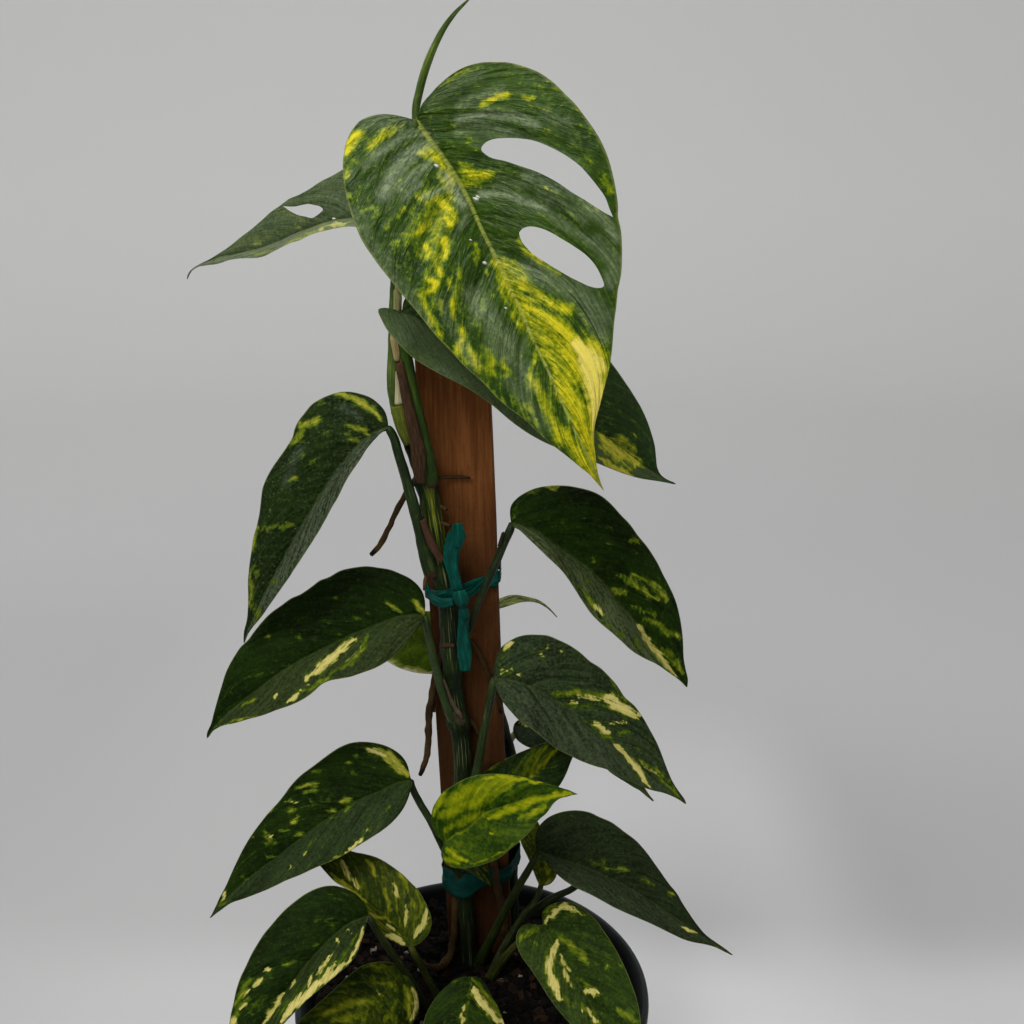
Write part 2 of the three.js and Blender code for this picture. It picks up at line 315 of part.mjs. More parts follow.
const PETIOLES = {
  leaf_top: [[-35.3,22.6,526.5,3.6],[-36.9,19.3,537.4,3.3],[-35.6,16.6,559.5,3],[-34.1,13,582,2.8],[-31.3,7.2,606.1,2.6],[-27.6,1.4,633.5,2.4],[-24,-2.1,651.1,2.2],[-20.8,-4.4,661.7,2]],
  leaf_upper_back: [[-34,28.9,518.8,2.8],[-35.5,29.2,539.6,2.5],[-35.4,30.5,565,2.3],[-34.1,30.7,589.8,2.1],[-32.7,31.3,604.4,2],[-31.4,31,614,1.9]],
  leaf_second: [[-19.7,20.8,487.3,5],[-20.2,17.4,499.4,4],[-23.2,14.9,517.8,3.2],[-26.5,12.3,536.8,3],[-28.9,11.3,552.9,2.9],[-31,11.5,565.2,2.6],[-30.6,9.2,573.8,2.2]],
  leaf_left_a: [[-19.2,21.3,436.8,4.6],[-22,18,447,4],[-25.1,15.5,463.4,3.2],[-28.5,13,480.4,2.9],[-31.6,11.6,494.1,2.6],[-34.7,10.2,506.5,2.4],[-36.3,9,514.1,2.2],[-38.3,7.9,518.4,2]],
  leaf_left_b: [[-8.5,24,347.7,3.8],[-11.5,21.3,355.9,3.3],[-14.6,19.5,365.4,2.6],[-17.3,18.1,377.5,2.4],[-19.7,16.7,390.1,2.2],[-21.7,15.4,402.5,2.1],[-23.3,14,412.9,2]],
  leaf_right_a: [[-5,23.6,394.7,2.2],[-2.2,22.4,400.5,2],[0.1,21.3,405.7,1.8],[2.4,20,413.8,1.8],[6.3,17.7,425.1,1.9],[10.7,14.8,437,2.1],[15,12.5,447.9,2.2],[18.7,10.7,457.9,2.2],[22.3,10.4,466.2,2.1]],
  leaf_right_b: [[-4.8,25.7,291.7,3.4],[-1.2,24.4,301,3],[3,21.9,318.6,2.6],[6.1,19.3,337.8,2.4],[8.7,17.8,353.4,2.3],[11,16.4,366.3,2.3],[12.5,15.2,375.4,2.1]],
  leaf_left_c: [[-6.7,28.1,244.3,3.4],[-11,23.8,255.6,2.8],[-16.9,19.3,270.8,2.3],[-20,17,280.2,2.1],[-23.7,15.7,290.2,2],[-28.6,16.4,299.5,2],[-31.9,17.2,306.1,1.9],[-33.8,18.1,311.3,1.8]],
  leaf_center: [[-4.8,27.8,254.1,3],[-6.6,18.5,264,2.4],[-8.7,6.2,275.1,2.1],[-10.8,-5.2,286.1,1.9],[-12.3,-14.4,295.5,1.7]],
  leaf_behind_center: [[22.8,50.2,273.5,2.6],[21,40,280.6,2.2],[18.2,30.7,290.5,2],[15.1,24.4,300.4,1.8]],
  leaf_back_small: [[21.6,57.3,303.2,2.4],[20.4,62.1,309.9,2.2],[23.4,69,314.2,2],[30.1,72.9,316.8,1.8],[38,71.8,320.1,1.7]],
  leaf_right_c: [[0.9,30.1,177.4,4],[7.8,24.5,197.2,3.2],[14.6,17.9,218,2.7],[21.1,12.3,237.4,2.5],[27.4,7.8,253.5,2.3],[32.4,4.5,265.8,2.1],[36.2,2.2,275.3,1.9]],
  leaf_right_low: [[7.8,17.1,177.4,3.6],[14.5,13.7,192.5,2.8],[22.2,10.2,206.6,2.4],[29.2,5.9,217,2.2],[35.3,-0.4,226.7,2],[39.2,-5.6,233.5,1.8]],
  leaf_left_small: [[-12.5,0.5,163.9,3.2],[-16.6,-5,179.4,2.6],[-21.1,-10.4,194.6,2.3],[-25,-14.8,208.7,2.1],[-28.7,-20.3,223.3,1.9],[-31.9,-24.6,235.4,1.7]],
  leaf_left_d: [[-15.8,-4.4,161.1,3.4],[-22,-10.8,175.5,2.8],[-27.5,-16.4,192.9,2.5],[-33.3,-21.9,211.3,2.3],[-38.9,-27.4,228.5,2.1],[-44.5,-31.9,243.1,1.9],[-49.1,-35.2,255.4,1.8],[-52.2,-37.5,264.7,1.7]],
  leaf_left_e: [[-15.3,-12.4,161.4,3.2],[-21.1,-24.8,175.7,2.4],[-26.2,-35.2,188,2],[-32.8,-44.5,198.6,1.7]],
  leaf_front: [[-9.1,1.7,157,3.2],[-6.2,-4.8,173.6,2.6],[-3.4,-12.3,190.7,2.2],[-1.2,-19.7,205.4,1.9],[-0.4,-25,214.6,1.7]],
  leaf_back_left: [[8.2,57.5,364.9,2.4],[1.3,58.3,371.5,2.1],[-6.3,60.1,376.4,1.9],[-12.1,60.1,378.3,1.8]],
  leaf_back_arch: [[6,57.1,376.5,2.4],[4.3,58.9,385.1,2.1],[3.2,60.6,393.8,1.9]],
  leaf_tiny_a: [[9.6,20.1,178.5,2.8],[14.5,16.6,195.8,2.2],[21.6,15.1,212.5,2],[29.8,14.6,228.1,1.9],[36.2,15.3,236.5,1.8],[39,15.1,244.9,1.7]],
  leaf_right_hidden: [[11.4,22,181.3,3],[18.6,20.4,201.2,2.5],[26.9,21,215.6,2.3],[36.4,22.7,224.8,2.2],[46.4,24.5,231.8,2.1],[57.1,27.4,235.2,2],[66,29.2,240.8,1.8]],
};
const STEMS = {
  main_stem: [[-3,31.5,163.7,5],[-3.4,31.1,178.8,5],[-4.3,30.8,204.4,4.6],[-5.2,30.3,229.5,4.6],[-5.4,29.4,254.4,4.8],[-5,28.4,282.1,5],[-5.2,27.6,308.8,5],[-6,26.6,335,5.2],[-8,25.9,351,5.6],[-10,25.8,366.5,5.2],[-10.2,25.1,385,5.4],[-10.9,24.3,403.2,5.4],[-11.7,23.9,418,5.4],[-13.2,23.8,427.9,5.4],[-15.1,23.6,439.4,5.5],[-17.4,23.2,455.3,5.5],[-19.6,22.7,472.1,5.4],[-21.4,22.3,484.7,5.2],[-24.8,22.6,495.9,4.6],[-28.7,22.8,506.5,4.2],[-32,22.9,516.5,4],[-34.8,23.1,525.3,3.8]],
  rear_stem: [[23.8,55.5,164,4.2],[23.7,55.1,177.9,4.1],[23.4,54.7,189.4,4],[22.8,54.2,208.3,4],[22.5,53.7,223.2,3.9],[22.5,54.1,244.4,3.8],[23.4,54.4,268.7,3.7],[23.7,55.8,288.5,3.6],[22.2,57.2,306.6,3.5],[18.6,57.8,321,3.4],[14,57.7,340.9,3.3],[9.4,57.1,362.5,3.2],[6.6,56.7,375.4,3]],
};
const ROOTS = {
  aerial_root_upper: [[-25.6,29.8,488.6,1.8],[-28.3,24.8,486.7,1.7],[-31.9,22,482.1,1.6],[-35.5,20.1,476.1,1.6],[-39.2,18.4,468.5,1.5],[-42.9,16.6,460.8,1.4],[-46.6,14.8,454.9,1.4],[-50.7,12.9,450.5,1.1]],
  aerial_root_middle: [[-14.8,29.7,389.5,2.1],[-17.6,29,382,2.1],[-20.1,26.3,372.4,2.1],[-21.6,24.5,363.5,2],[-23.4,23.8,353.4,2],[-23.9,23.1,343.2,1.9],[-24.3,22.4,334.2,1.9],[-25.3,21.6,327,1.8],[-27.3,20.8,321.2,1.6],[-28.8,21,316,1.2]],
  aerial_root_stake: [[-0.3,29.3,395.1,1.3],[4,29.5,387.8,1.3],[8.9,29.9,376.1,1.2],[12.2,30.3,365.5,1.2],[14.9,30.5,356.7,1.1],[16.6,30.7,349.7,0.9]],
  aerial_root_low: [[3,31.1,285.7,2.2],[7,31.7,271.9,2.3],[10.4,32,259.4,2.4],[12.1,32,247.1,2.4],[13.9,31.4,235.8,2.3],[16.2,30.7,223.6,2.2],[18,30.2,208.5,2],[18.6,30.7,191.5,1.9],[18.5,31.2,173.6,1.8]],
};
const NEW_LEAF = [[-20.6,-0.5,663.6,2],[-20.6,0.4,669.1,1.9],[-19.1,1.2,675.5,1.9],[-17.1,1,682.2,1.9],[-14.7,-0.2,688.4,1.9],[-11.3,-1.4,695.3,1.6],[-7.1,-2.6,702.1,1.4],[-2.1,-4.8,707.9,0.9],[2.4,-6.9,711.6,0.6],[5.1,-8,713.9,0.3]];

const TIE_UPPER_Z = 428.0;
const TIE_LOWER_Z = 240.8;
const TIE_BOW = [[-2.7, 15.8, 422.5, 3.0], [-7.3, 14.5, 430.4, 3.6], [-10.3, 13.7, 440.2, 3.8], [-8.5, 13.9, 451.3, 3.8], [-6.3, 14.7, 459.3, 3.6], [-6.4, 16.5, 464.2, 3.0]];
const TIE_TAIL = [[-3.2, 14.7, 423.5, 3.0], [-2.8, 14.6, 412.1, 2.6], [-2.7, 15.5, 398.3, 2.6], [-3.0, 16.9, 383.5, 2.6]];

// Colours and finishes
const paint = (color, roughness, metalness = 0) => new THREE.MeshStandardMaterial({ color, roughness, metalness });
const FINISH = {
  pot: () => paint(0x1c2a2b, 0.45),
  soil: () => paint(0x33241a, 0.95),
  stake: () => paint(0x713a22, 0.85),
  stem: () => paint(0x4d5a22, 0.55),
  blade: () => paint(0x2c4a1c, 0.4),
  flameBlade: () => paint(0xa3a536, 0.42),
  petiole: () => paint(0x66752c, 0.5),
  tape: () => paint(0x0d726a, 0.35),
  root: () => paint(0x5a3e22, 0.8),
  spike: () => paint(0xb9bf7a, 0.5),
};

const v3 = (a) => new THREE.Vector3(a[0], a[1], a[2]);

function solid(geometry) {
  const g = geometry.index ? geometry.toNonIndexed() : geometry.clone();
  const bare = new THREE.BufferGeometry();
  bare.setAttribute('position', g.getAttribute('position').clone());
  const m = mergeVertices(bare, 1e-4);
  return new wasm.Manifold(
    new wasm.Mesh({
      numProp: 3,
      vertProperties: new Float32Array(m.attributes.position.array),
      triVerts: new Uint32Array(m.index.array),
    }),
  );
}

function geometryOf(man) {
  const mesh = man.getMesh();
  const n = mesh.numProp;
  const count = mesh.vertProperties.length / n;
  const pos = new Float32Array(count * 3);
  for (let i = 0; i < count; i++) for (let k = 0; k < 3; k++) pos[3 * i + k] = mesh.vertProperties[n * i + k];
  const g = new THREE.BufferGeometry();
  g.setAttribute('position', new THREE.BufferAttribute(pos, 3));
  g.setIndex(new THREE.BufferAttribute(new Uint32Array(mesh.triVerts), 1));
  g.computeVertexNormals();
  return g;
}

// A closed geometry from points and triangles.
function closed(points, faces) {
  const g = new THREE.BufferGeometry();
  g.setAttribute('position', new THREE.BufferAttribute(new Float32Array(points.flatMap((p) => [p.x, p.y, p.z])), 3));
  g.setIndex(faces.flat());
  return g;
}

// A blade: a folded sheet between the midrib and both margins, given a thickness.
function blade(leaf, thick, grow = 0) {
  const pts = [];
  const add = (p) => pts.push(p) - 1;
  const ribs = leaf.ribs.map((r) => ({ m: v3(r.slice(0, 3)), a: v3(r.slice(3, 6)), b: v3(r.slice(6, 9)) }));
  const n = ribs.length;
  if (grow > 0) {
    const base = ribs[0].m.clone();
    const back = base.clone().sub(ribs[n - 1].m).setLength(grow);
    for (const r of ribs) {
      for (const e of ['a', 'b']) {
        const d = r[e].clone().sub(r.m);
        if (d.lengthSq() > 1e-6) r[e].add(d.setLength(grow));
      }
      if (r.m.distanceTo(base) < 1e-6) r.m.add(back);
    }
    for (const k of ['m', 'a', 'b']) ribs[n - 1][k].sub(back);
  }
  const id = { m: [], a: [], b: [], ma: [], mb: [] };
  for (let i = 0; i < n; i++) {
    const r = ribs[i];
    const last = i === n - 1;
    const same = i > 0 && r.m.distanceTo(ribs[i - 1].m) < 1e-6;
    id.m.push(same ? id.m[i - 1] : add(r.m.clone()));
    if (last) {
      for (const k of ['a', 'b', 'ma', 'mb']) id[k].push(id.m[i]);
      continue;
    }
    const side = ribs[Math.min(n - 1, i + 1)].m.clone().sub(ribs[Math.max(0, i - 1)].m);
    const face = new THREE.Vector3(0, -1, 0);
    if (side.lengthSq() > 1e-6) face.crossVectors(side, r.a.clone().sub(r.b)).normalize();
    for (const [e, me] of [['a', 'ma'], ['b', 'mb']]) {
      const w = r[e].distanceTo(r.m);
      id[e].push(add(r[e].clone()));
      id[me].push(add(r.m.clone().lerp(r[e], MID_COL).addScaledVector(face, (w > 6 ? BULGE : 0) * w)));
    }
  }
  const top = [];
  const tri = (p, q, s) => {
    if (p !== q && q !== s && s !== p) top.push([p, q, s]);
  };
  for (let i = 0; i + 1 < n; i++) {
    for (const [u, w] of [['m', 'ma'], ['ma', 'a']]) {
      tri(id[u][i], id[u][i + 1], id[w][i + 1]);
      tri(id[u][i], id[w][i + 1], id[w][i]);
    }
    for (const [u, w] of [['m', 'mb'], ['mb', 'b']]) {
      tri(id[u][i], id[w][i + 1], id[u][i + 1]);
      tri(id[u][i], id[w][i], id[w][i + 1]);
    }
  }
  const normal = pts.map(() => new THREE.Vector3());
  for (const [p, q, s] of top) {
    const c = pts[q].clone().sub(pts[p]).cross(pts[s].clone().sub(pts[p]));
    for (const k of [p, q, s]) normal[k].add(c);
  }
  const N = pts.length;
  const all = pts.map((p, i) => p.clone().addScaledVector(normal[i].normalize(), thick / 2));
  pts.forEach((p, i) => all.push(p.clone().addScaledVector(normal[i], -thick / 2)));
  const faces = [...top, ...top.map(([p, q, s]) => [p + N, s + N, q + N])];
  const edges = new Map();
  for (const t of top) for (let k = 0; k < 3; k++) edges.set(t[k] + '_' + t[(k + 1) % 3], [t[k], t[(k + 1) % 3]]);
  for (const [p, q] of edges.values()) if (!edges.has(q + '_' + p)) faces.push([q, p, p + N], [q, p + N, q + N]);
  return solid(closed(all, faces));
}

// A slit's cutter: the ring in front joined to the ring behind.
function cutter(slit) {
  const near = slit.near.map(v3);
  const far = slit.far.map(v3);
  const n = near.length;
  const flat = near.map((p) => new THREE.Vector2(p.x, p.z));
  const caps = THREE.ShapeUtils.triangulateShape(flat, []);
  const faces = [];
  for (const [p, q, s] of caps) faces.push([p, q, s], [p + n, s + n, q + n]);
  const ccw = THREE.ShapeUtils.area(flat) > 0;
  for (let i = 0; i < n; i++) {
    const j = (i + 1) % n;
    if (ccw) faces.push([j, i, i + n], [j, i + n, j + n]);
    else faces.push([i, j, j + n], [i, j + n, i + n]);
  }
  const made = solid(closed([...near, ...far], ccw ? faces : faces.map((f, k) => (k < caps.length * 2 ? f : f))));
  return made;
}

// A round, tapering tube through [x, y, z, radius] points, with flat ends.
function tube(rows, sides = 8, grow = 0, steps = 2) {
  const curve = new THREE.CatmullRomCurve3(rows.map(v3), false, 'centripetal');
  const n = (rows.length - 1) * steps;
  const frames = { t: [], n: [], b: [] };
  const at = [];
  const rad = [];
  for (let i = 0; i <= n; i++) {
    const u = i / n;
    at.push(curve.getPoint(u));
    frames.t.push(curve.getTangent(u).normalize());
    const k = Math.min(rows.length - 2, Math.floor(u * (rows.length - 1)));
    const f = u * (rows.length - 1) - k;
    rad.push(rows[k][3] * (1 - f) + rows[k + 1][3] * f + grow);
  }
  let side = Math.abs(frames.t[0].z) > 0.8 ? new THREE.Vector3(1, 0, 0) : new THREE.Vector3(0, 0, 1);
  const pts = [];
  for (let i = 0; i <= n; i++) {
    side = side.clone().addScaledVector(frames.t[i], -side.dot(frames.t[i])).normalize();
    const other = frames.t[i].clone().cross(side);
    for (let k = 0; k < sides; k++) {
      const a = (2 * Math.PI * k) / sides;
      pts.push(at[i].clone().addScaledVector(side, rad[i] * Math.cos(a)).addScaledVector(other, rad[i] * Math.sin(a)));
    }
  }
  const faces = [];
  for (let i = 0; i < n; i++)
    for (let k = 0; k < sides; k++) {
      const a = i * sides + k;
      const b = i * sides + ((k + 1) % sides);
      faces.push([a, b, b + sides], [a, b + sides, a + sides]);
    }
  for (let k = 1; k + 1 < sides; k++) {
    faces.push([0, k + 1, k]);
    faces.push([n * sides, n * sides + k, n * sides + k + 1]);
  }
  return solid(closed(pts, faces));
}

// A loop of tape round a set of circles and corners in the XY plane, sloping by dz for each mm of x.
function loopOfTape(marks, z, dz, width, grow = 0) {
  const hull = [];
  const pts = [...marks].sort((p, q) => p[0] - q[0] || p[1] - q[1]);
  for (const part of [pts, [...pts].reverse()]) {
    const run = [];
    for (const p of part) {
      while (run.length > 1) {
        const a = run[run.length - 2];
        const b = run[run.length - 1];
        if ((b[0] - a[0]) * (p[1] - a[1]) - (b[1] - a[1]) * (p[0] - a[0]) > 1e-9) break;
        run.pop();
      }
      run.push(p);
    }
    run.pop();
    hull.push(...run);
  }
  const n = hull.length;
  const out = hull.map((p, i) => {
    const a = hull[(i + n - 1) % n];
    const b = hull[(i + 1) % n];
    const d1 = new THREE.Vector2(p[0] - a[0], p[1] - a[1]).normalize();
    const d2 = new THREE.Vector2(b[0] - p[0], b[1] - p[1]).normalize();
    const nn = new THREE.Vector2(d1.y + d2.y, -(d1.x + d2.x)).normalize();
    return { p, nn, c: Math.max(0.6, nn.dot(new THREE.Vector2(d1.y, -d1.x))) };
  });
  const x0 = hull.reduce((s, p) => s + p[0], 0) / n;
  const pts3 = [];
  for (const [off, up] of [[GAP + 0.05 - grow, -1], [GAP + 0.05 + TAPE_T + grow, -1], [GAP + 0.05 + TAPE_T + grow, 1], [GAP + 0.05 - grow, 1]])
    for (const o of out) {
      const x = o.p[0] + (o.nn.x * off) / o.c;
      const y = o.p[1] + (o.nn.y * off) / o.c;
      pts3.push(new THREE.Vector3(x, y, z + (x - x0) * dz + up * (width / 2 + grow)));
    }
  const faces = [];
  for (let r = 0; r < 4; r++)
    for (let i = 0; i < n; i++) {
      const j = (i + 1) % n;
      const a = r * n;
      const b = ((r + 1) % 4) * n;
      faces.push([a + i, a + j, b + j], [a + i, b + j, b + i]);
    }
  const g = solid(closed(pts3, faces));
  return g.volume() > 0 ? g : solid(closed(pts3, faces.map((f) => [f[0], f[2], f[1]])));
}

// The heaviest of a solid's loose pieces, where a cut leaves more than one.
function largest(man) {
  const parts = man.decompose();
  parts.sort((p, q) => q.volume() - p.volume());
  return parts[0];
}

const root = new THREE.Group();
const placed = []; // what later pieces keep clear of: { near: box, wide: solid }
function boxesMeet(p, q, slack) {
  for (let k = 0; k < 3; k++) if (p.min[k] > q.max[k] + slack || q.min[k] > p.max[k] + slack) return false;
  return true;
}
// Puts a piece in the group, cut back by the pieces that are already there. "wide" is the piece with its air gap.
function place(name, man, wide, finish) {
  let made = man;
  for (const other of placed) if (boxesMeet(made.boundingBox(), other.wide.boundingBox(), 0)) made = made.subtract(other.wide);
  made = largest(made);
  const mesh = new THREE.Mesh(geometryOf(made), finish());
  mesh.name = name;
  root.add(mesh);
  placed.push({ name, wide });
}

// Pot: floor, wall and a rolled rim, turned from one profile
const wallR = (z) => FOOT_R + ((WALL_TOP_R - FOOT_R) * z) / (POT_H - RIM_DROP);
const rim = POT_H - RIM_DROP;
const profile = (grow) =>
  [
    [0, 0],
    [FOOT_R - 2, 0],
    [FOOT_R, 2],
    [wallR(rim), rim],
    [RIM_R - 1.2, rim + 0.8],
    [RIM_R - 0.2, rim + 2.4],
    [RIM_R, rim + 7],
    [RIM_R, POT_H - 1.8],
    [RIM_R - 1.2, POT_H - 0.3],
    [RIM_R - 3, POT_H],
    [RIM_R - RIM_W + 1.6, POT_H - 0.5],
    [RIM_R - RIM_W, POT_H - 2.4],
    [wallR(rim) - WALL, rim],
    [wallR(0) - WALL, FLOOR_T],
    [0, FLOOR_T],
  ].map(([r, z]) => new THREE.Vector2(r, z));
const potTurned = new THREE.LatheGeometry(profile(0), 48).rotateX(Math.PI / 2);
let pot = solid(potTurned);
if (pot.volume() < 0) throw new Error('pot profile runs the wrong way');
for (let i = 0; i < DRAINS; i++) {
  const a = ((i + 0.5) * 2 * Math.PI) / DRAINS;
  const drain = new THREE.CylinderGeometry(DRAIN_R, DRAIN_R, 12, 12).rotateX(Math.PI / 2);
  drain.translate(DRAIN_RING_R * Math.cos(a), DRAIN_RING_R * Math.sin(a), 0);
  pot = pot.subtract(solid(drain));
}
{
  const mesh = new THREE.Mesh(geometryOf(pot), FINISH.pot());
  mesh.name = 'pot';
  root.add(mesh);
}

// Stake, a sawn board that leans a little to the left and to the front
const foot = v3(STAKE_FOOT);
const head = new THREE.Vector3(STAKE_TOP[0], STAKE_TOP[1], 0);
head.z = foot.z + Math.sqrt(STAKE_L ** 2 - (head.x - foot.x) ** 2 - (head.y - foot.y) ** 2);
const lean = new THREE.Quaternion().setFromUnitVectors(new THREE.Vector3(0, 0, 1), head.clone().sub(foot).normalize());
function board(grow) {
  const g = new THREE.BoxGeometry(STAKE_W + 2 * grow, STAKE_T + 2 * grow, STAKE_L + 2 * grow);
  g.translate(0, 0, STAKE_L / 2).applyQuaternion(lean).translate(foot.x, foot.y, foot.z);
  return solid(g);
}
place('stake', board(0), board(GAP), FINISH.stake);

// Stems
for (const [name, rows] of Object.entries(STEMS))
  place(name, tube(rows, 8, 0, 1), tube(rows, 8, GAP, 1), name === 'main_stem' ? FINISH.stem : FINISH.petiole);

// Blades, each cut by its slits
const YELLOW = new Set(['leaf_center', 'leaf_left_small', 'leaf_front', 'leaf_back_left', 'leaf_tiny_b']);
for (const leaf of LEAVES) {
  let body = blade(leaf, LEAF_T);
  for (const slit of leaf.slits ?? []) {
    const c = cutter(slit);
    body = body.subtract(c.volume() < 0 ? cutter({ near: slit.far, far: slit.near }) : c);
  }
  let wide = blade(leaf, LEAF_T + 2 * GAP + 0.1, 0.6);
  for (const d of [[1, 0, 0], [-1, 0, 0], [0, 1, 0], [0, -1, 0], [0, 0, 1], [0, 0, -1]]) wide = wide.add(body.translate(d.map((k) => k * GAP)));
  place(leaf.name, body, wide, YELLOW.has(leaf.name) ? FINISH.flameBlade : FINISH.blade);
}

// Petioles
for (const [name, rows] of Object.entries(PETIOLES))
  place(name.replace('leaf_', 'petiole_'), tube(rows, 7, 0, 1), tube(rows, 7, GAP, 1), FINISH.petiole);

// The rolled new leaf at the top
place('new_leaf', tube(NEW_LEAF, 8, 0, 1), tube(NEW_LEAF, 8, GAP, 1), FINISH.spike);

// Aerial roots
for (const [name, rows] of Object.entries(ROOTS)) place(name, tube(rows, 6, 0, 1), tube(rows, 6, GAP, 1), FINISH.root);

// Ties: a loop of tape round the stake and the stems, high and low, with a knot, a bow and a tail on the high one
const stakeAt = (z) => {
  const f = (z - foot.z) / (head.z - foot.z);
  return [foot.x + f * (head.x - foot.x), foot.y + f * (head.y - foot.y)];
};
const stemAt = (rows, z) => {
  let best = rows[0];
  for (let i = 0; i + 1 < rows.length; i++) {
    const [p, q] = [rows[i], rows[i + 1]];
    if ((p[2] - z) * (q[2] - z) <= 0) {
      const f = (z - p[2]) / (q[2] - p[2] || 1);
      best = p.map((v, k) => v + f * (q[k] - v));
    }
  }
  return best;
};
function tieMarks(z, stems) {
  const [x, y] = stakeAt(z);
  const marks = [-1, 1].flatMap((i) => [-1, 1].map((j) => [x + (i * STAKE_W) / 2, y + (j * STAKE_T) / 2]));
  for (const rows of stems) {
    const s = stemAt(rows, z);
    for (let k = 0; k < 10; k++) marks.push([s[0] + s[3] * Math.cos((k * Math.PI) / 5), s[1] + s[3] * Math.sin((k * Math.PI) / 5)]);
  }
  return marks;
}
const upperMarks = tieMarks(TIE_UPPER_Z, [STEMS.main_stem]);
place('tie_upper_band', loopOfTape(upperMarks, TIE_UPPER_Z, 0.22, TAPE_W), loopOfTape(upperMarks, TIE_UPPER_Z, 0.22, TAPE_W, GAP), FINISH.tape);
const bow = tube(TIE_BOW, 6, 0, 1);
const tail = tube(TIE_TAIL, 6, 0, 1);
place('tie_upper_bow', bow.add(tail), tube(TIE_BOW, 6, GAP, 1).add(tube(TIE_TAIL, 6, GAP, 1)), FINISH.tape);
const lowerMarks = tieMarks(TIE_LOWER_Z, [STEMS.main_stem, STEMS.rear_stem]);
place('tie_lower_band', loopOfTape(lowerMarks, TIE_LOWER_Z, 0.1, TAPE_W + 3), loopOfTape(lowerMarks, TIE_LOWER_Z, 0.1, TAPE_W + 3, GAP), FINISH.tape);

// Soil: fills the pot to just under the rim, with a rough top, cut back by all that stands in it
const rough = (x, y) => SOIL_ROUGH * (0.6 * Math.sin(x * 0.21 + 1.3) * Math.cos(y * 0.17 - 0.4) + 0.4 * Math.sin(x * 0.09 - y * 0.13 + 2.1));
{
  const seg = 40;
  const inner = (z) => wallR(z) - WALL - GAP - 0.1;
  const rings = [[0, SOIL_TOP], [22, SOIL_TOP], [44, SOIL_TOP], [66, SOIL_TOP], [inner(SOIL_TOP - 6), SOIL_TOP - 1.5], [inner(SOIL_TOP - 6) - 0.2, SOIL_TOP - 8], [inner(4) - 0.5, FLOOR_T + GAP + 0.1], [0, FLOOR_T + GAP + 0.1]];
  const pts = [];
  const row = [];
  rings.forEach(([r, z], i) => {
    row.push(pts.length);
    const n = r === 0 ? 1 : seg;
    for (let k = 0; k < n; k++) {
      const a = (2 * Math.PI * k) / seg;
      const [x, y] = [r * Math.cos(a), r * Math.sin(a)];
      pts.push(new THREE.Vector3(x, y, z + (i < 4 ? rough(x, y) : 0)));
    }
  });
  const faces = [];
  for (let i = 0; i + 1 < rings.length; i++)
    for (let k = 0; k < seg; k++) {
      const j = (k + 1) % seg;
      if (rings[i][0] === 0) faces.push([row[i], row[i + 1] + k, row[i + 1] + j]);
      else if (rings[i + 1][0] === 0) faces.push([row[i] + k, row[i + 1], row[i] + j]);
      else faces.push([row[i] + k, row[i + 1] + k, row[i + 1] + j], [row[i] + k, row[i + 1] + j, row[i] + j]);
    }
  const body = solid(closed(pts, faces));
  place('soil', body, body, FINISH.soil);
}

export default root;
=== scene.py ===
# A potted yellow flame pothos on a cedar stake: fine geometry, materials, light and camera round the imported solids.
# Outlines were traced in the 1024 x 1024 picture and are carried back along the camera's rays to their place in space.
import bpy, math
import numpy as np
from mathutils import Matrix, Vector, noise


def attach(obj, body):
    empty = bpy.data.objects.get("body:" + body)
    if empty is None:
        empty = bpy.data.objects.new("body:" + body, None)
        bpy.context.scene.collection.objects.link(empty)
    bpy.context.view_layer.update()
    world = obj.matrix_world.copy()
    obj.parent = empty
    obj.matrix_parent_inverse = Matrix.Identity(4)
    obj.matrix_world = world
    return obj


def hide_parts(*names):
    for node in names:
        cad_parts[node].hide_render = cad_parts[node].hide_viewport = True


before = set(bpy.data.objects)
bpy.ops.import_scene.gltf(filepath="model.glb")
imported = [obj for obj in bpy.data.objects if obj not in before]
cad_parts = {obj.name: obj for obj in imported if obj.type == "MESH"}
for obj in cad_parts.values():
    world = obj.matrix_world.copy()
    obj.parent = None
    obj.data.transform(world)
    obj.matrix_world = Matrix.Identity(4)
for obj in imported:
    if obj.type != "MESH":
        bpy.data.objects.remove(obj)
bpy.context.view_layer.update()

MM = 0.001
F = 1108.0
TH = math.radians(17.34)
RIM_R, POT_H, SOILZ = 101.6, 190.0, 181.0
CAM = np.array([22.8, -531.8, POT_H + 454.1])
FWD = np.array([0, math.cos(TH), -math.sin(TH)])
UP = np.array([0, math.sin(TH), math.cos(TH)])
RT = np.array([1.0, 0, 0])


def ray(u, v):
    d = FWD + RT * ((u - 512) / F) + UP * ((512 - v) / F)
    return d / np.linalg.norm(d)


def at_y(u, v, y):
    d = ray(u, v)
    return CAM + d * ((y - CAM[1]) / d[1])


def stake_y(z):
    return 47.0 - 0.03 * (z - SOILZ)


def at_yr(u, v, yr):
    y = yr + 40
    for _ in range(12):
        p = at_y(u, v, y)
        y = yr + stake_y(p[2])
    return at_y(u, v, y)


def proj(p):
    d = np.asarray(p, float) - CAM
    z = d @ FWD
    return 512 + F * (d @ RT) / z, 512 - F * (d @ UP) / z


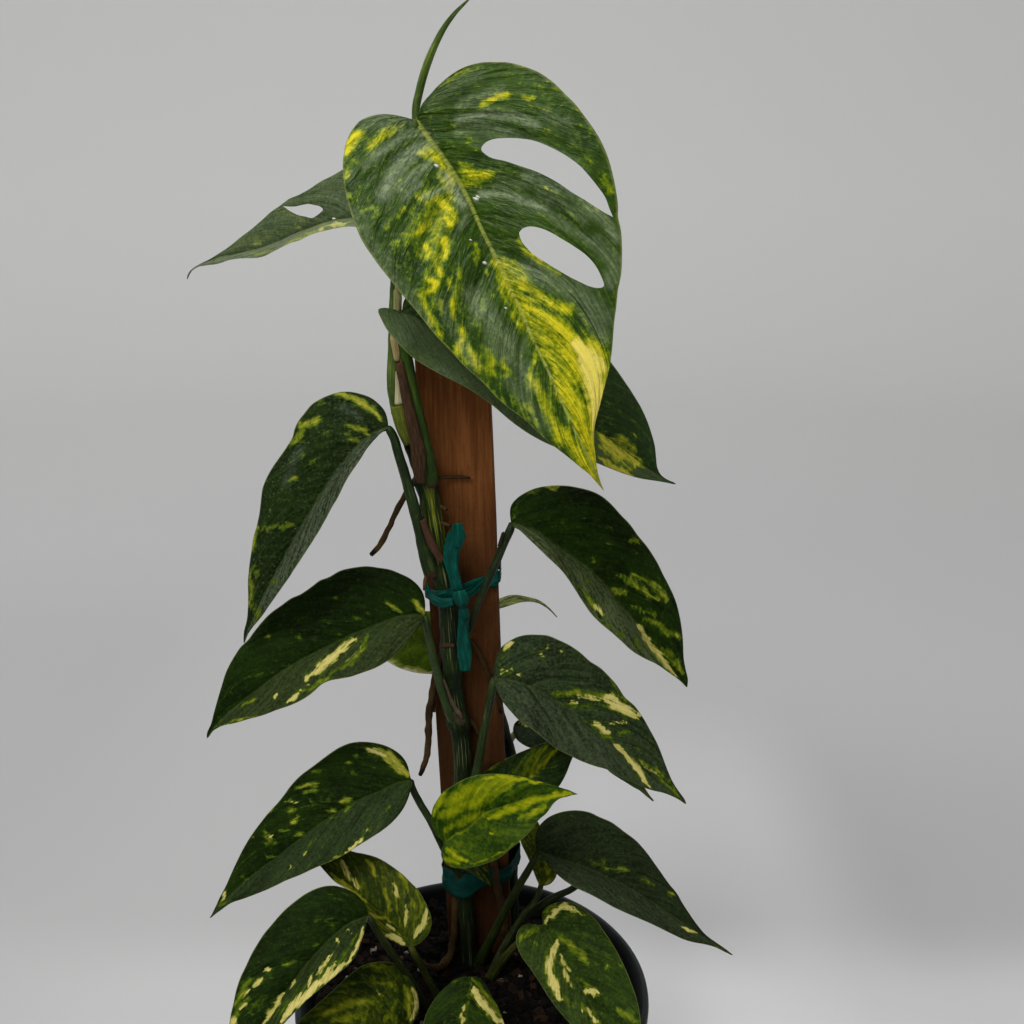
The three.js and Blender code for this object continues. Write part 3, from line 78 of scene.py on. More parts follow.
LEAVES = {}
def leaf(n, **k): LEAVES[n]=k
leaf('leaf_top', y0=-37, a1=-38, a2=0, phi=(12,12),
 mid=[(416,121),(430,140),(445,160),(458,180),(470,203),(482,230),(495,256),(508,285),(520,308),(531,335),(545,364),(558,393),(570,420),(580,441),(590,461),(597,477),(604,491)],
 A=[(418,120),(420,114),(424,102),(430,95),(438,86),(448,77),(458,70),(468,65),(480,62),(495,61),(508,61.5),(520,64),(532,68),(545,75),(556,84),(565,93),(575,103),(582,112),(590,123),(598,135),(604,147),(609,160),(613,175),(616,190),(618,205),(618,216),(621,230),(622,245),(622,262),(621,275),(618,290),(616.5,305),(614,325),(612.5,345),(610,365),(605,385),(600,405),(595,425),(594,440),(595.5,455),(597,468),(600,480),(604,491)],
 B=[(413,121),(405,119),(395,115.5),(385,114),(372,115.5),(360,121),(352,130),(346,142),(343,155),(342,168),(343,180),(345,195),(349,210),(354,224),(360,238),(368,251),(378,265),(388,277),(398,290),(410,304),(422,319),(435,335),(452,353),(465,367),(480,380),(495,396),(510,409),(525,420),(540,434),(555,447),(568,457),(580,467),(590,475),(597,483),(604,491)],
 holes=[[(613,217),(610,210),(605,197),(598,187),(590,177),(580,166),(565,155),(550,147),(535,141),(520,138.5),(505,138),(492,139.5),(485,143),(481,149),(485,154),(492,158),(505,161),(520,166),(535,171),(548,177),(560,184),(573,193),(585,200),(597,208),(607,214)],
        [(519,233),(522,229),(530,226.5),(540,228),(550,232),(562,239),(575,247),(587,256),(595,265),(601,276),(604,286),(600,288),(590,286.5),(580,282),(570,277),(558,270),(545,262),(533,254),(526,247),(521,240)]])
leaf('leaf_upper_back', y0=-3, a1=75, a2=0, phi=(-20,60),
 mid=[(402,226),(385,221),(368,218.5),(352,219),(340,220),(325,223),(312,228),(300,232.5),(288,238),(275,243),(262,248),(250,251),(235,254.5),(222,257),(210,261),(200,265),(192,270),(187,279)],
 B=[(403,222),(412,205),(412,185),(404,165),(390,152),(372,151),(355,159),(340,168),(330,175),(320,181),(310,189),(300,195),(290,199),(280,206),(270,212),(260,220),(250,228),(240,236),(228,247),(218,254),(210,259),(200,264),(192,269),(188,274),(187,280)],
 A=[(402,229),(404,234),(398,236),(385,232),(370,227),(352,224.5),(345,224.8),(335,227),(322,231),(310,235),(300,239.5),(290,242),(280,246),(272,250),(262,255),(255,257),(240,258.5),(230,260.5),(218,264),(205,265.5),(197,267),(190,272),(187,280)],
 holes=[[(283,206),(287,206.5),(295,206.5),(302,205),(308,204),(314,205),(320,206.5),(323,209.5),(320,213),(316,216),(312,218),(305,216.5),(298,215),(290,211)]])
leaf('leaf_second', y0=-26, a1=8, a2=0, phi=(-25,55),
 mid=[(402,313),(412,315),(422,321),(440,333),(460,346),(480,358),(500,371),(520,383),(540,396),(560,409),(580,421),(600,433),(615,443),(630,455),(645,466),(660,476),(668,480.5),(676,484)],
 A=[(404,308),(404,301),(410,292),(430,281),(455,276),(485,277),(515,284),(545,295),(570,310),(592,332),(611,360),(620,372),(633,390),(642,405),(650,425),(655,445),(656,458),(657,467),(661,475),(668,480),(676,483)],
 B=[(399,312),(390,312),(380,308),(378,310),(382,320),(388,330),(400,343),(415,357),(440,373),(470,390),(490,403),(515,422),(540,438),(558,447),(578,455),(597,463),(620,472),(640,478),(660,481.5),(668,483),(676,485)])
leaf('leaf_left_a', y0=-29, a1=-5, a2=0, phi=(-25,72),
 mid=[(388,428),(378,431),(367,438),(355,449),(345,461),(333,477),(320,497),(307,518),(295,538),(283,560),(270,584),(258,608),(250,626),(244,643)],
 B=[(387.5,424),(387,418),(384,410),(378,403),(370,397),(360,393.5),(350,391.5),(340,391.5),(330,394),(320,398),(310,404),(302,413),(296,420),(292,428),(290,436),(285,445),(279,455),(272,466),(267,475),(262,488),(260.5,500),(259,512),(256,525),(252,537),(250,550),(248,565),(247,580),(248,595),(248,608),(247,620),(244,632),(243.5,644)],
 A=[(386,431),(379,433),(374,439),(366,448),(360,458),(352,470),(345,482),(338,496),(330,508),(320,525),(310,543),(300,560),(290,576),(278,592),(268,606),(260,618),(252,628),(246,638),(244,644)])
leaf('leaf_left_b', y0=-26, a1=-15, a2=0, phi=(-10,55),
 mid=[(424,616),(415,615),(405,616),(395,618),(380,624),(360,632),(340,641),(320,651),(300,661),(280,673),(260,688),(240,703),(225,715),(215,726),(207,738)],
 B=[(424,611),(425,603),(423,593),(418,585),(410,578),(400,573),(390,569),(378,567),(366,565.5),(352,567),(340,570),(328,577),(320,580),(312,586),(300,594),(290,598),(280,605),(270,612),(262,620),(254,630),(247,640),(240,647),(232,660),(226,672),(222,685),(218,698),(214,712),(211,724),(207,733),(207,738)],
 A=[(424,619),(418,628),(411,637),(403,647),(395,655),(387,661),(376,667),(362,672),(350,676),(340,678),(330,680),(322,684),(312,693),(303,699),(290,705),(275,710),(262,715),(248,719),(235,723),(222,726),(213,731),(207,739)])
leaf('leaf_right_a', y0=-28, a1=-5, a2=0, phi=(-25,60),
 mid=[(512,524),(521,526),(535,531),(548,541),(565,553),(590,571),(610,592),(622,608),(635,622),(642,632),(650,645),(660,660),(672,672),(687,687)],
 A=[(511,520),(510,514),(511,506),(516,499),(524,493),(534,488),(546,485),(558,484),(570,484.5),(580,486.5),(592,490),(603,496),(612,504),(622,515),(630,523),(640,536),(650,548),(658,560),(664,572),(670,585),(676,600),(680,615),(682.5,630),(684,645),(684.5,658),(686,668),(688,680),(687,687)],
 B=[(513,527),(520,530),(528,537),(538,546),(548,556),(560,568),(568,578),(578,592),(586,603),(593,613),(602,623),(612,632),(622,641),(633,651),(645,658),(658,664),(668,671),(677,678),(684,684),(687,688)])
leaf('leaf_right_b', y0=-26, a1=-18, a2=0, phi=(-12,50),
 mid=[(494,679),(505,680),(515,682),(530,687),(545,695),(560,703),(575,713),(590,725),(605,737),(618,747),(630,756),(642,766),(654,776),(666,786),(676,795),(686,804)],
 A=[(494,676),(494,668),(496,660),(498,652),(503,645),(510,640),(518,636),(527,634),(537,634),(548,635),(560,640),(570,645),(580,652),(590,661),(600,667),(610,676),(618,685),(626,697),(635,705),(643,717),(650,730),(657,743),(662,755),(667,768),(672,780),(678,790),(685,800),(686,804)],
 B=[(494,682),(497,690),(502,700),(510,710),(520,721),(532,729),(545,739),(558,749),(570,755),(582,761),(595,766),(608,770),(620,777),(632,782),(641,786),(652,790),(664,793),(676,798),(686,804)])
leaf('leaf_left_c', y0=-25, a1=-20, a2=0, phi=(-15,50),
 mid=[(411,781),(402,782),(392,786),(382,791),(370,796),(358,801),(345,809),(332,817),(318,826),(305,836),(290,847),(278,857),(262,868),(247,880),(232,893),(220,905),(210,918)],
 B=[(407,779),(408,772),(407,764),(402,756),(395,750),(385,745),(375,742.5),(362,741.5),(350,743),(340,747),(330,753),(320,760),(310,767),(298,776),(290,785),(283,795),(277,803),(269,812),(262,821),(255,830),(248,840),(242,850),(236,862),(230,875),(225,887),(220,897),(215,908),(210,918)],
 A=[(412,783),(410,792),(406,803),(400,813),(391,823),(381,831),(370,838),(360,844),(350,850),(338,857),(325,863),(312,869),(300,875),(285,881),(270,888),(255,894),(242,899),(231,903),(221,910),(213,916),(210,919)])
leaf('leaf_center', y0=-60, a1=-10, a2=0, phi=(0,25),
 mid=[(446,841),(455,835),(465,830),(475,823),(485,814),(500,808),(515,803),(530,798),(545,795),(560,794),(578,794)],
 A=[(443,841),(438,837),(433,828),(431,818),(432,808),(436,800),(442,792),(450,787),(460,781),(470,777),(480,774.5),(492,773.5),(505,774),(518,776),(530,778.5),(542,782),(552,785),(562,788),(570,790.5),(575,793),(578,794)],
 B=[(446,844),(443,848),(441,854),(443,860),(448,865),(456,868),(466,868),(478,866),(490,862),(500,857),(510,849),(520,841),(530,831),(538,820),(546,813),(553,804),(559,799),(566,797),(573,795),(578,794)])
leaf('leaf_behind_center', y0=-20, a1=24, a2=0, phi=(0,20),
 mid=[(497,792),(508,787),(520,782),(533,775),(545,768),(556,760),(566,752),(576,744),(587,737)],
 A=[(494,791),(488,786),(482,776),(490,768),(500,762),(515,754),(530,748),(545,742.5),(558,739),(572,737),(587,736)],
 B=[(499,795),(505,801),(516,805),(530,805),(543,800),(553,793),(560,785),(566,774),(572,759),(578,748),(587,738)])
leaf('leaf_back_small', y0=22, a1=18, a2=0, phi=(0,30),
 mid=[(541,724),(552,723),(565,725),(578,729),(590,735),(602,742),(614,750)],
 A=[(538,720),(538,712),(545,704),(556,700),(570,702),(584,709),(596,719),(606,732),(614,750)],
 B=[(536,724),(530,719),(522,718.5),(516,722),(513.5,730),(516,738),(524,745),(535,749),(550,751),(566,753),(582,754),(598,754),(614,751)])
leaf('leaf_right_c', y0=-42, a1=-10, a2=0, phi=(-20,45),
 mid=[(538,852),(548,855),(558,859),(570,863),(583,867),(597,873),(612,880),(628,888),(645,898),(660,908),(675,918),(690,928),(705,938),(718,946),(733,955)],
 A=[(536,849),(535,842),(536,833),(540,825),(547,818),(556,813),(566,810),(578,809),(590,811),(600,816),(612,822),(625,832),(636,840),(646,850),(655,862),(662,872),(670,884),(677,893),(683,904),(690,915),(698,926),(706,935),(717,943),(727,950),(733,955)],
 B=[(540,855),(548,864),(557,873),(567,881),(580,889),(592,895),(605,902),(618,908),(632,914),(646,921),(660,928),(672,934),(683,939),(693,942),(704,944),(715,947),(725,952),(733,956)])
leaf('leaf_right_low', y0=-55, a1=-75, a2=0, phi=(5,15),
 mid=[(545,927),(551,939),(559,952),(567,965),(576,980),(585,995),(594,1010),(603,1027),(611,1043),(618,1060),(623,1077)],
 A=[(543,923),(542,914),(546,907),(553,903),(563,901),(574,903),(585,910),(595,919),(604,931),(612,943),(619,955),(626,970),(632,985),(637,1000),(640,1015),(641,1030),(640,1045),(636,1059),(630,1069),(623,1078)],
 B=[(541,928),(535,925),(527,924),(520,928),(516,937),(517,946),(522,957),(530,968),(538,980),(546,993),(555,1006),(565,1018),(576,1030),(588,1043),(600,1056),(612,1068),(623,1078)])
leaf('leaf_left_small', y0=-70, a1=48, a2=0, phi=(10,10),
 mid=[(410,944),(404,935),(396,926),(387,917),(378,908),(368,899),(357,889),(347,879),(337,869),(325,858),(312,847),(300,835)],
 A=[(408,947),(400,945),(390,940),(380,932),(372,921),(364,908),(354,895),(343,887),(335,882),(328,875),(321,867),(312,855),(305,845),(300,835)],
 B=[(412,947),(420,943),(427,936),(431,927),(431,917),(428,908),(424,900),(418,890),(411,883),(402,874),(390,865),(378,858),(365,854),(355,852),(343,848),(328,843),(312,838),(300,835)])
leaf('leaf_left_d', y0=-82, a1=-50, a2=0, phi=(-5,45),
 mid=[(368,916),(360,919),(351,923),(342,929),(333,937),(323,947),(313,958),(303,970),(293,983),(283,996),(273,1010),(262,1026),(251,1042),(241,1058),(233,1070),(227,1080)],
 B=[(367,912),(366,906),(362,900),(355,893),(345,888),(335,885.5),(325,886),(315,889),(305,894),(295,901),(285,909),(277,917),(270,925),(263,933),(256,944),(250,955),(245,967),(240,978),(236,990),(233,1003),(230,1015),(228,1028),(226,1042),(225,1055),(225,1068),(227,1080)],
 A=[(366,919),(364,926),(363,935),(360,945),(356,955),(350,963),(342,970),(333,977),(323,985),(314,993),(305,1001),(297,1010),(288,1019),(279,1028),(268,1039),(256,1050),(244,1062),(235,1071),(227,1081)])
leaf('leaf_left_e', y0=-92, a1=-45, a2=0, phi=(0,35),
 mid=[(406,1031),(395,1032),(383,1035),(370,1040),(355,1048),(340,1056),(325,1065),(310,1075),(297,1084),(286,1092)],
 B=[(409,1027),(417,1018),(420,1006),(419,996),(415,986),(409,977),(402,969),(394,963),(384,961),(374,961.5),(364,964),(354,970.5),(344,979),(334,989),(324,998),(314,1007),(304,1016),(296,1026),(290,1038),(286,1050),(283,1065),(283,1080),(286,1092)],
 A=[(405,1035),(402,1044),(396,1055),(386,1064),(373,1072),(358,1079),(342,1085),(325,1090),(308,1093),(295,1094),(286,1093)])
leaf('leaf_front', y0=-72, a1=-95, a2=0, phi=(-12,-12),
 mid=[(470,979),(470,992),(468,1006),(466,1022),(464,1040),(462,1058),(460,1076),(459,1092),(459,1106)],
 B=[(468,977),(463,976.5),(456,978.5),(448,985),(440,992),(432,1002),(426,1013),(423,1025),(422,1038),(424,1052),(429,1066),(437,1079),(447,1091),(455,1100),(459,1107)],
 A=[(472,977),(476,976.5),(481,978.5),(486,984),(491,994),(497,1005),(502,1017),(506,1030),(507,1044),(504,1058),(497,1071),(487,1083),(475,1093),(465,1101),(459,1107)])
leaf('leaf_back_left', y0=19, a1=14, a2=0, phi=(10,10),
 mid=[(450,645),(435,644),(420,642),(400,641),(380,641),(362,641),(345,642)],
 B=[(452,640),(455,628),(448,617),(437,612),(425,611),(410,612),(395,615),(380,621),(365,629),(353,637),(345,642)],
 A=[(452,650),(456,662),(450,671),(440,674.5),(430,674),(417,673),(405,670),(395,666),(385,660),(370,653),(355,647),(345,642)])
leaf('leaf_tiny_a', y0=-30, a1=6, a2=0, phi=(0,20),
 mid=[(541,885),(540,872),(538,858),(535,843),(531,828),(525,813),(519,800)],
 B=[(540,886),(537,880),(533,870),(527,857),(522,845),(518,833),(515,820),(515,810),(519,800)],
 A=[(543,886),(550,884),(555,879),(557,872),(556,860),(551,848),(545,836),(538,822),(530,810),(519,800)])
leaf('leaf_tiny_b', y0=-34, a1=-4, a2=0, phi=(0,30),
 mid=[(452,850),(462,856),(472,863),(481,872),(491,886)],
 A=[(452,846),(458,840),(470,842),(481,852),(488,867),(491,886)],
 B=[(450,852),(450,860),(456,867),(468,871),(480,879),(491,886)])
leaf('leaf_right_hidden', y0=-16, a1=42, a2=0, phi=(0,20),
 mid=[(588,878),(598,874),(610,872),(622,873),(634,877),(646,884)],
 A=[(586,874),(586,864),(592,855),(602,851),(614,852),(626,858),(637,868),(646,884)],
 B=[(590,881),(596,887),(606,892),(618,895),(630,895),(640,891),(646,885)])
# petioles: (u, v, yrel, radius mm); from the stem to the leaf base
PET = {
 'leaf_top':[(398,408,-14,3.6),(393.5,388,-17,3.3),(394,345,-19,3.0),(395,300,-22,2.8),(398,250,-27,2.6),(403,190,-32,2.4),(409,150,-35,2.2),(415,125,-37,2.0)],
 'leaf_upper_back':[(402,420,-8,2.8),(398,380,-7,2.5),(397,330,-5,2.3),(398,280,-4,2.1),(400,250,-3,2.0),(402,230,-3,1.9)],
 'leaf_second':[(430,483,-17,5.0),(428,462,-20,4.0),(421,428,-22,3.2),(413,392,-24,3.0),(407,360,-24.5,2.9),(402,335,-24,2.6),(402,318,-26,2.2)],
 'leaf_left_a':[(433,574,-18,4.6),(427,558,-21,4.0),(420,530,-23,3.2),(412,500,-25,2.9),(405,475,-26,2.6),(398,452,-27,2.4),(394,438,-28,2.2),(389.5,430,-29,2.0)],
 'leaf_left_b':[(456,722,-18,3.8),(450,711,-20.5,3.3),(444,697,-22,2.6),(438.5,678,-23,2.4),(433.5,658,-24,2.2),(429,638,-25,2.1),(425.5,621,-26,2.0)],
 'leaf_right_a':[(461,645,-17,2.2),(466,636,-18,2.0),(470,628,-19,1.8),(474,615,-20,1.8),(481,597,-22,1.9),(489,578,-24.5,2.1),(497,560,-26.5,2.2),(504,543,-28,2.2),(511,528,-28,2.1)],
 'leaf_right_b':[(464,808,-18,3.4),(470,795,-19,3.0),(477,770,-21,2.6),(482,742,-23,2.4),(486.5,718,-24,2.3),(490.5,698,-25,2.3),(493,684,-26,2.1)],
 'leaf_left_c':[(462,876,-17,3.4),(454,864,-21,2.8),(443,846,-25,2.3),(437,834,-27,2.1),(430,820,-28,2.0),(421,805,-27,2.0),(415,794,-26,1.9),(411.5,785,-25,1.8)],
 'leaf_center':[(465,862,-17,3.0),(461,857,-26,2.4),(456,853,-38,2.1),(451,848,-49,1.9),(447,843,-58,1.7)],
 'leaf_behind_center':[(512,812,6,2.6),(509,811,-4,2.2),(504,805,-13,2.0),(498.5,796,-19,1.8)],
 'leaf_back_small':[(510,762,14,2.4),(508,748,19,2.2),(513,736,26,2.0),(524,729,30,1.8),(537,725,29,1.7)],
 'leaf_right_c':[(476,968,-17,4.0),(487,947,-22,3.2),(498,925,-28,2.7),(509,903,-33,2.5),(520,884,-37,2.3),(529,869,-40,2.1),(536,857,-42,1.9)],
 'leaf_right_low':[(487,983,-30,3.6),(498,966,-33,2.8),(511,950,-36,2.4),(523,940,-40,2.2),(534,933,-46,2.0),(541,929,-51,1.8)],
 'leaf_left_small':[(452,1022,-47,3.2),(444,1007,-52,2.6),(435,992,-57,2.3),(427,977,-61,2.1),(419,962,-66,1.9),(412,949,-70,1.7)],
 'leaf_left_d':[(446,1032,-52,3.4),(434,1020,-58,2.8),(423,1002,-63,2.5),(411,982,-68,2.3),(399,963,-73,2.1),(387,946,-77,1.9),(377,931,-80,1.8),(370,919,-82,1.7)],
 'leaf_left_e':[(446,1042,-60,3.2),(434,1038,-72,2.4),(423,1034,-82,2.0),(409,1031,-91,1.7)],
 'leaf_front':[(458,1030,-46,3.2),(462,1015,-52,2.6),(466,1000,-59,2.2),(469,988,-66,1.9),(470,981,-71,1.7)],
 'leaf_back_left':[(487,668,16,2.4),(475,657,17,2.1),(462,648,19,1.9),(452,645,19,1.8)],
 'leaf_back_arch':[(483,650,16,2.4),(480,635,18,2.1),(478,620,20,1.9)],
 'leaf_tiny_a':[(490,978,-27,2.8),(498,958,-30,2.2),(510,936,-31,2.0),(524,914,-31,1.9),(535,901,-30,1.8),(540,889,-30,1.7)],
 'leaf_right_hidden':[(493,972,-25,3.0),(505,946,-26,2.5),(519,925,-25,2.3),(535,910,-23,2.2),(552,898,-21,2.1),(570,890,-18,2.0),(585,880,-16,1.8)],
}
STEMS = {
 'main_stem':[(470,985,-16,5.0),(469,965,-16,5.0),(467,930,-15.5,4.6),(465,895,-15.2,4.6),(464,860,-15.4,4.8),(464,820,-15.6,5.0),(463,780,-15.6,5.0),(461,740,-15.8,5.2),(457,715,-16,5.6),(453,690,-15.6,5.2),(452,660,-15.8,5.4),(450,630,-16,5.4),(448,605,-16,5.4),(445,588,-15.8,5.4),(441,568,-15.6,5.5),(436,540,-15.6,5.5),(431,510,-15.6,5.4),(427,487,-15.6,5.2),(420,466,-15,4.6),(412,446,-14.4,4.2),(405,427,-14,4.0),(399,410,-13.6,3.8)],
 'rear_stem':[(513.5,958,8,4.2),(513.5,940,8,4.1),(513,925,8,4.0),(512,900,8,4.0),(511.5,880,8,3.9),(511.5,850,9,3.8),(513,815,10,3.7),(513.5,785,12,3.6),(511,757,14,3.5),(505,735,15,3.4),(497,705,15.5,3.3),(489,672,15.5,3.2),(484,652,15.5,3.0)],
}
ROOTS = {
 'aerial_root_upper':[(420,476,-8,1.8),(414,482,-13,1.7),(407,492,-16,1.6),(400,504,-18,1.55),(393,519,-20,1.5),(386,534,-22,1.45),(379,546,-24,1.4),(371,555,-26,1.1)],
 'aerial_root_middle':[(444,649,-11,2.1),(439,662,-12,2.1),(434.5,680,-15,2.1),(432,696,-17,2.0),(429,713,-18,2.0),(428.5,730,-19,1.95),(428,745,-20,1.9),(426.5,757,-21,1.8),(423,767,-22,1.6),(420.5,775,-22,1.2)],
 'aerial_root_stake':[(470,640,-11.3,1.3),(478,652,-11.3,1.3),(487,671,-11.2,1.25),(493,688,-11.2,1.2),(498,702,-11.2,1.1),(501,713,-11.2,0.9)],
 'aerial_root_low':[(478,812,-12.8,2.2),(485,832,-12.6,2.3),(491,850,-12.6,2.4),(494,868,-13,2.4),(497,885,-14,2.3),(501,903,-15,2.2),(504,925,-16,2.0),(505,948,-16,1.9),(505,972,-16,1.8)],
}
SPIKE=[(416,121,-33,2.0),(416,108,-32,1.95),(419,93,-31,1.95),(423,77,-31,1.95),(428,62,-32,1.85),(435,45,-33,1.65),(444,28,-34,1.35),(455,13,-36,0.95),(465,3,-38,0.6),(471,-3,-39,0.35)]

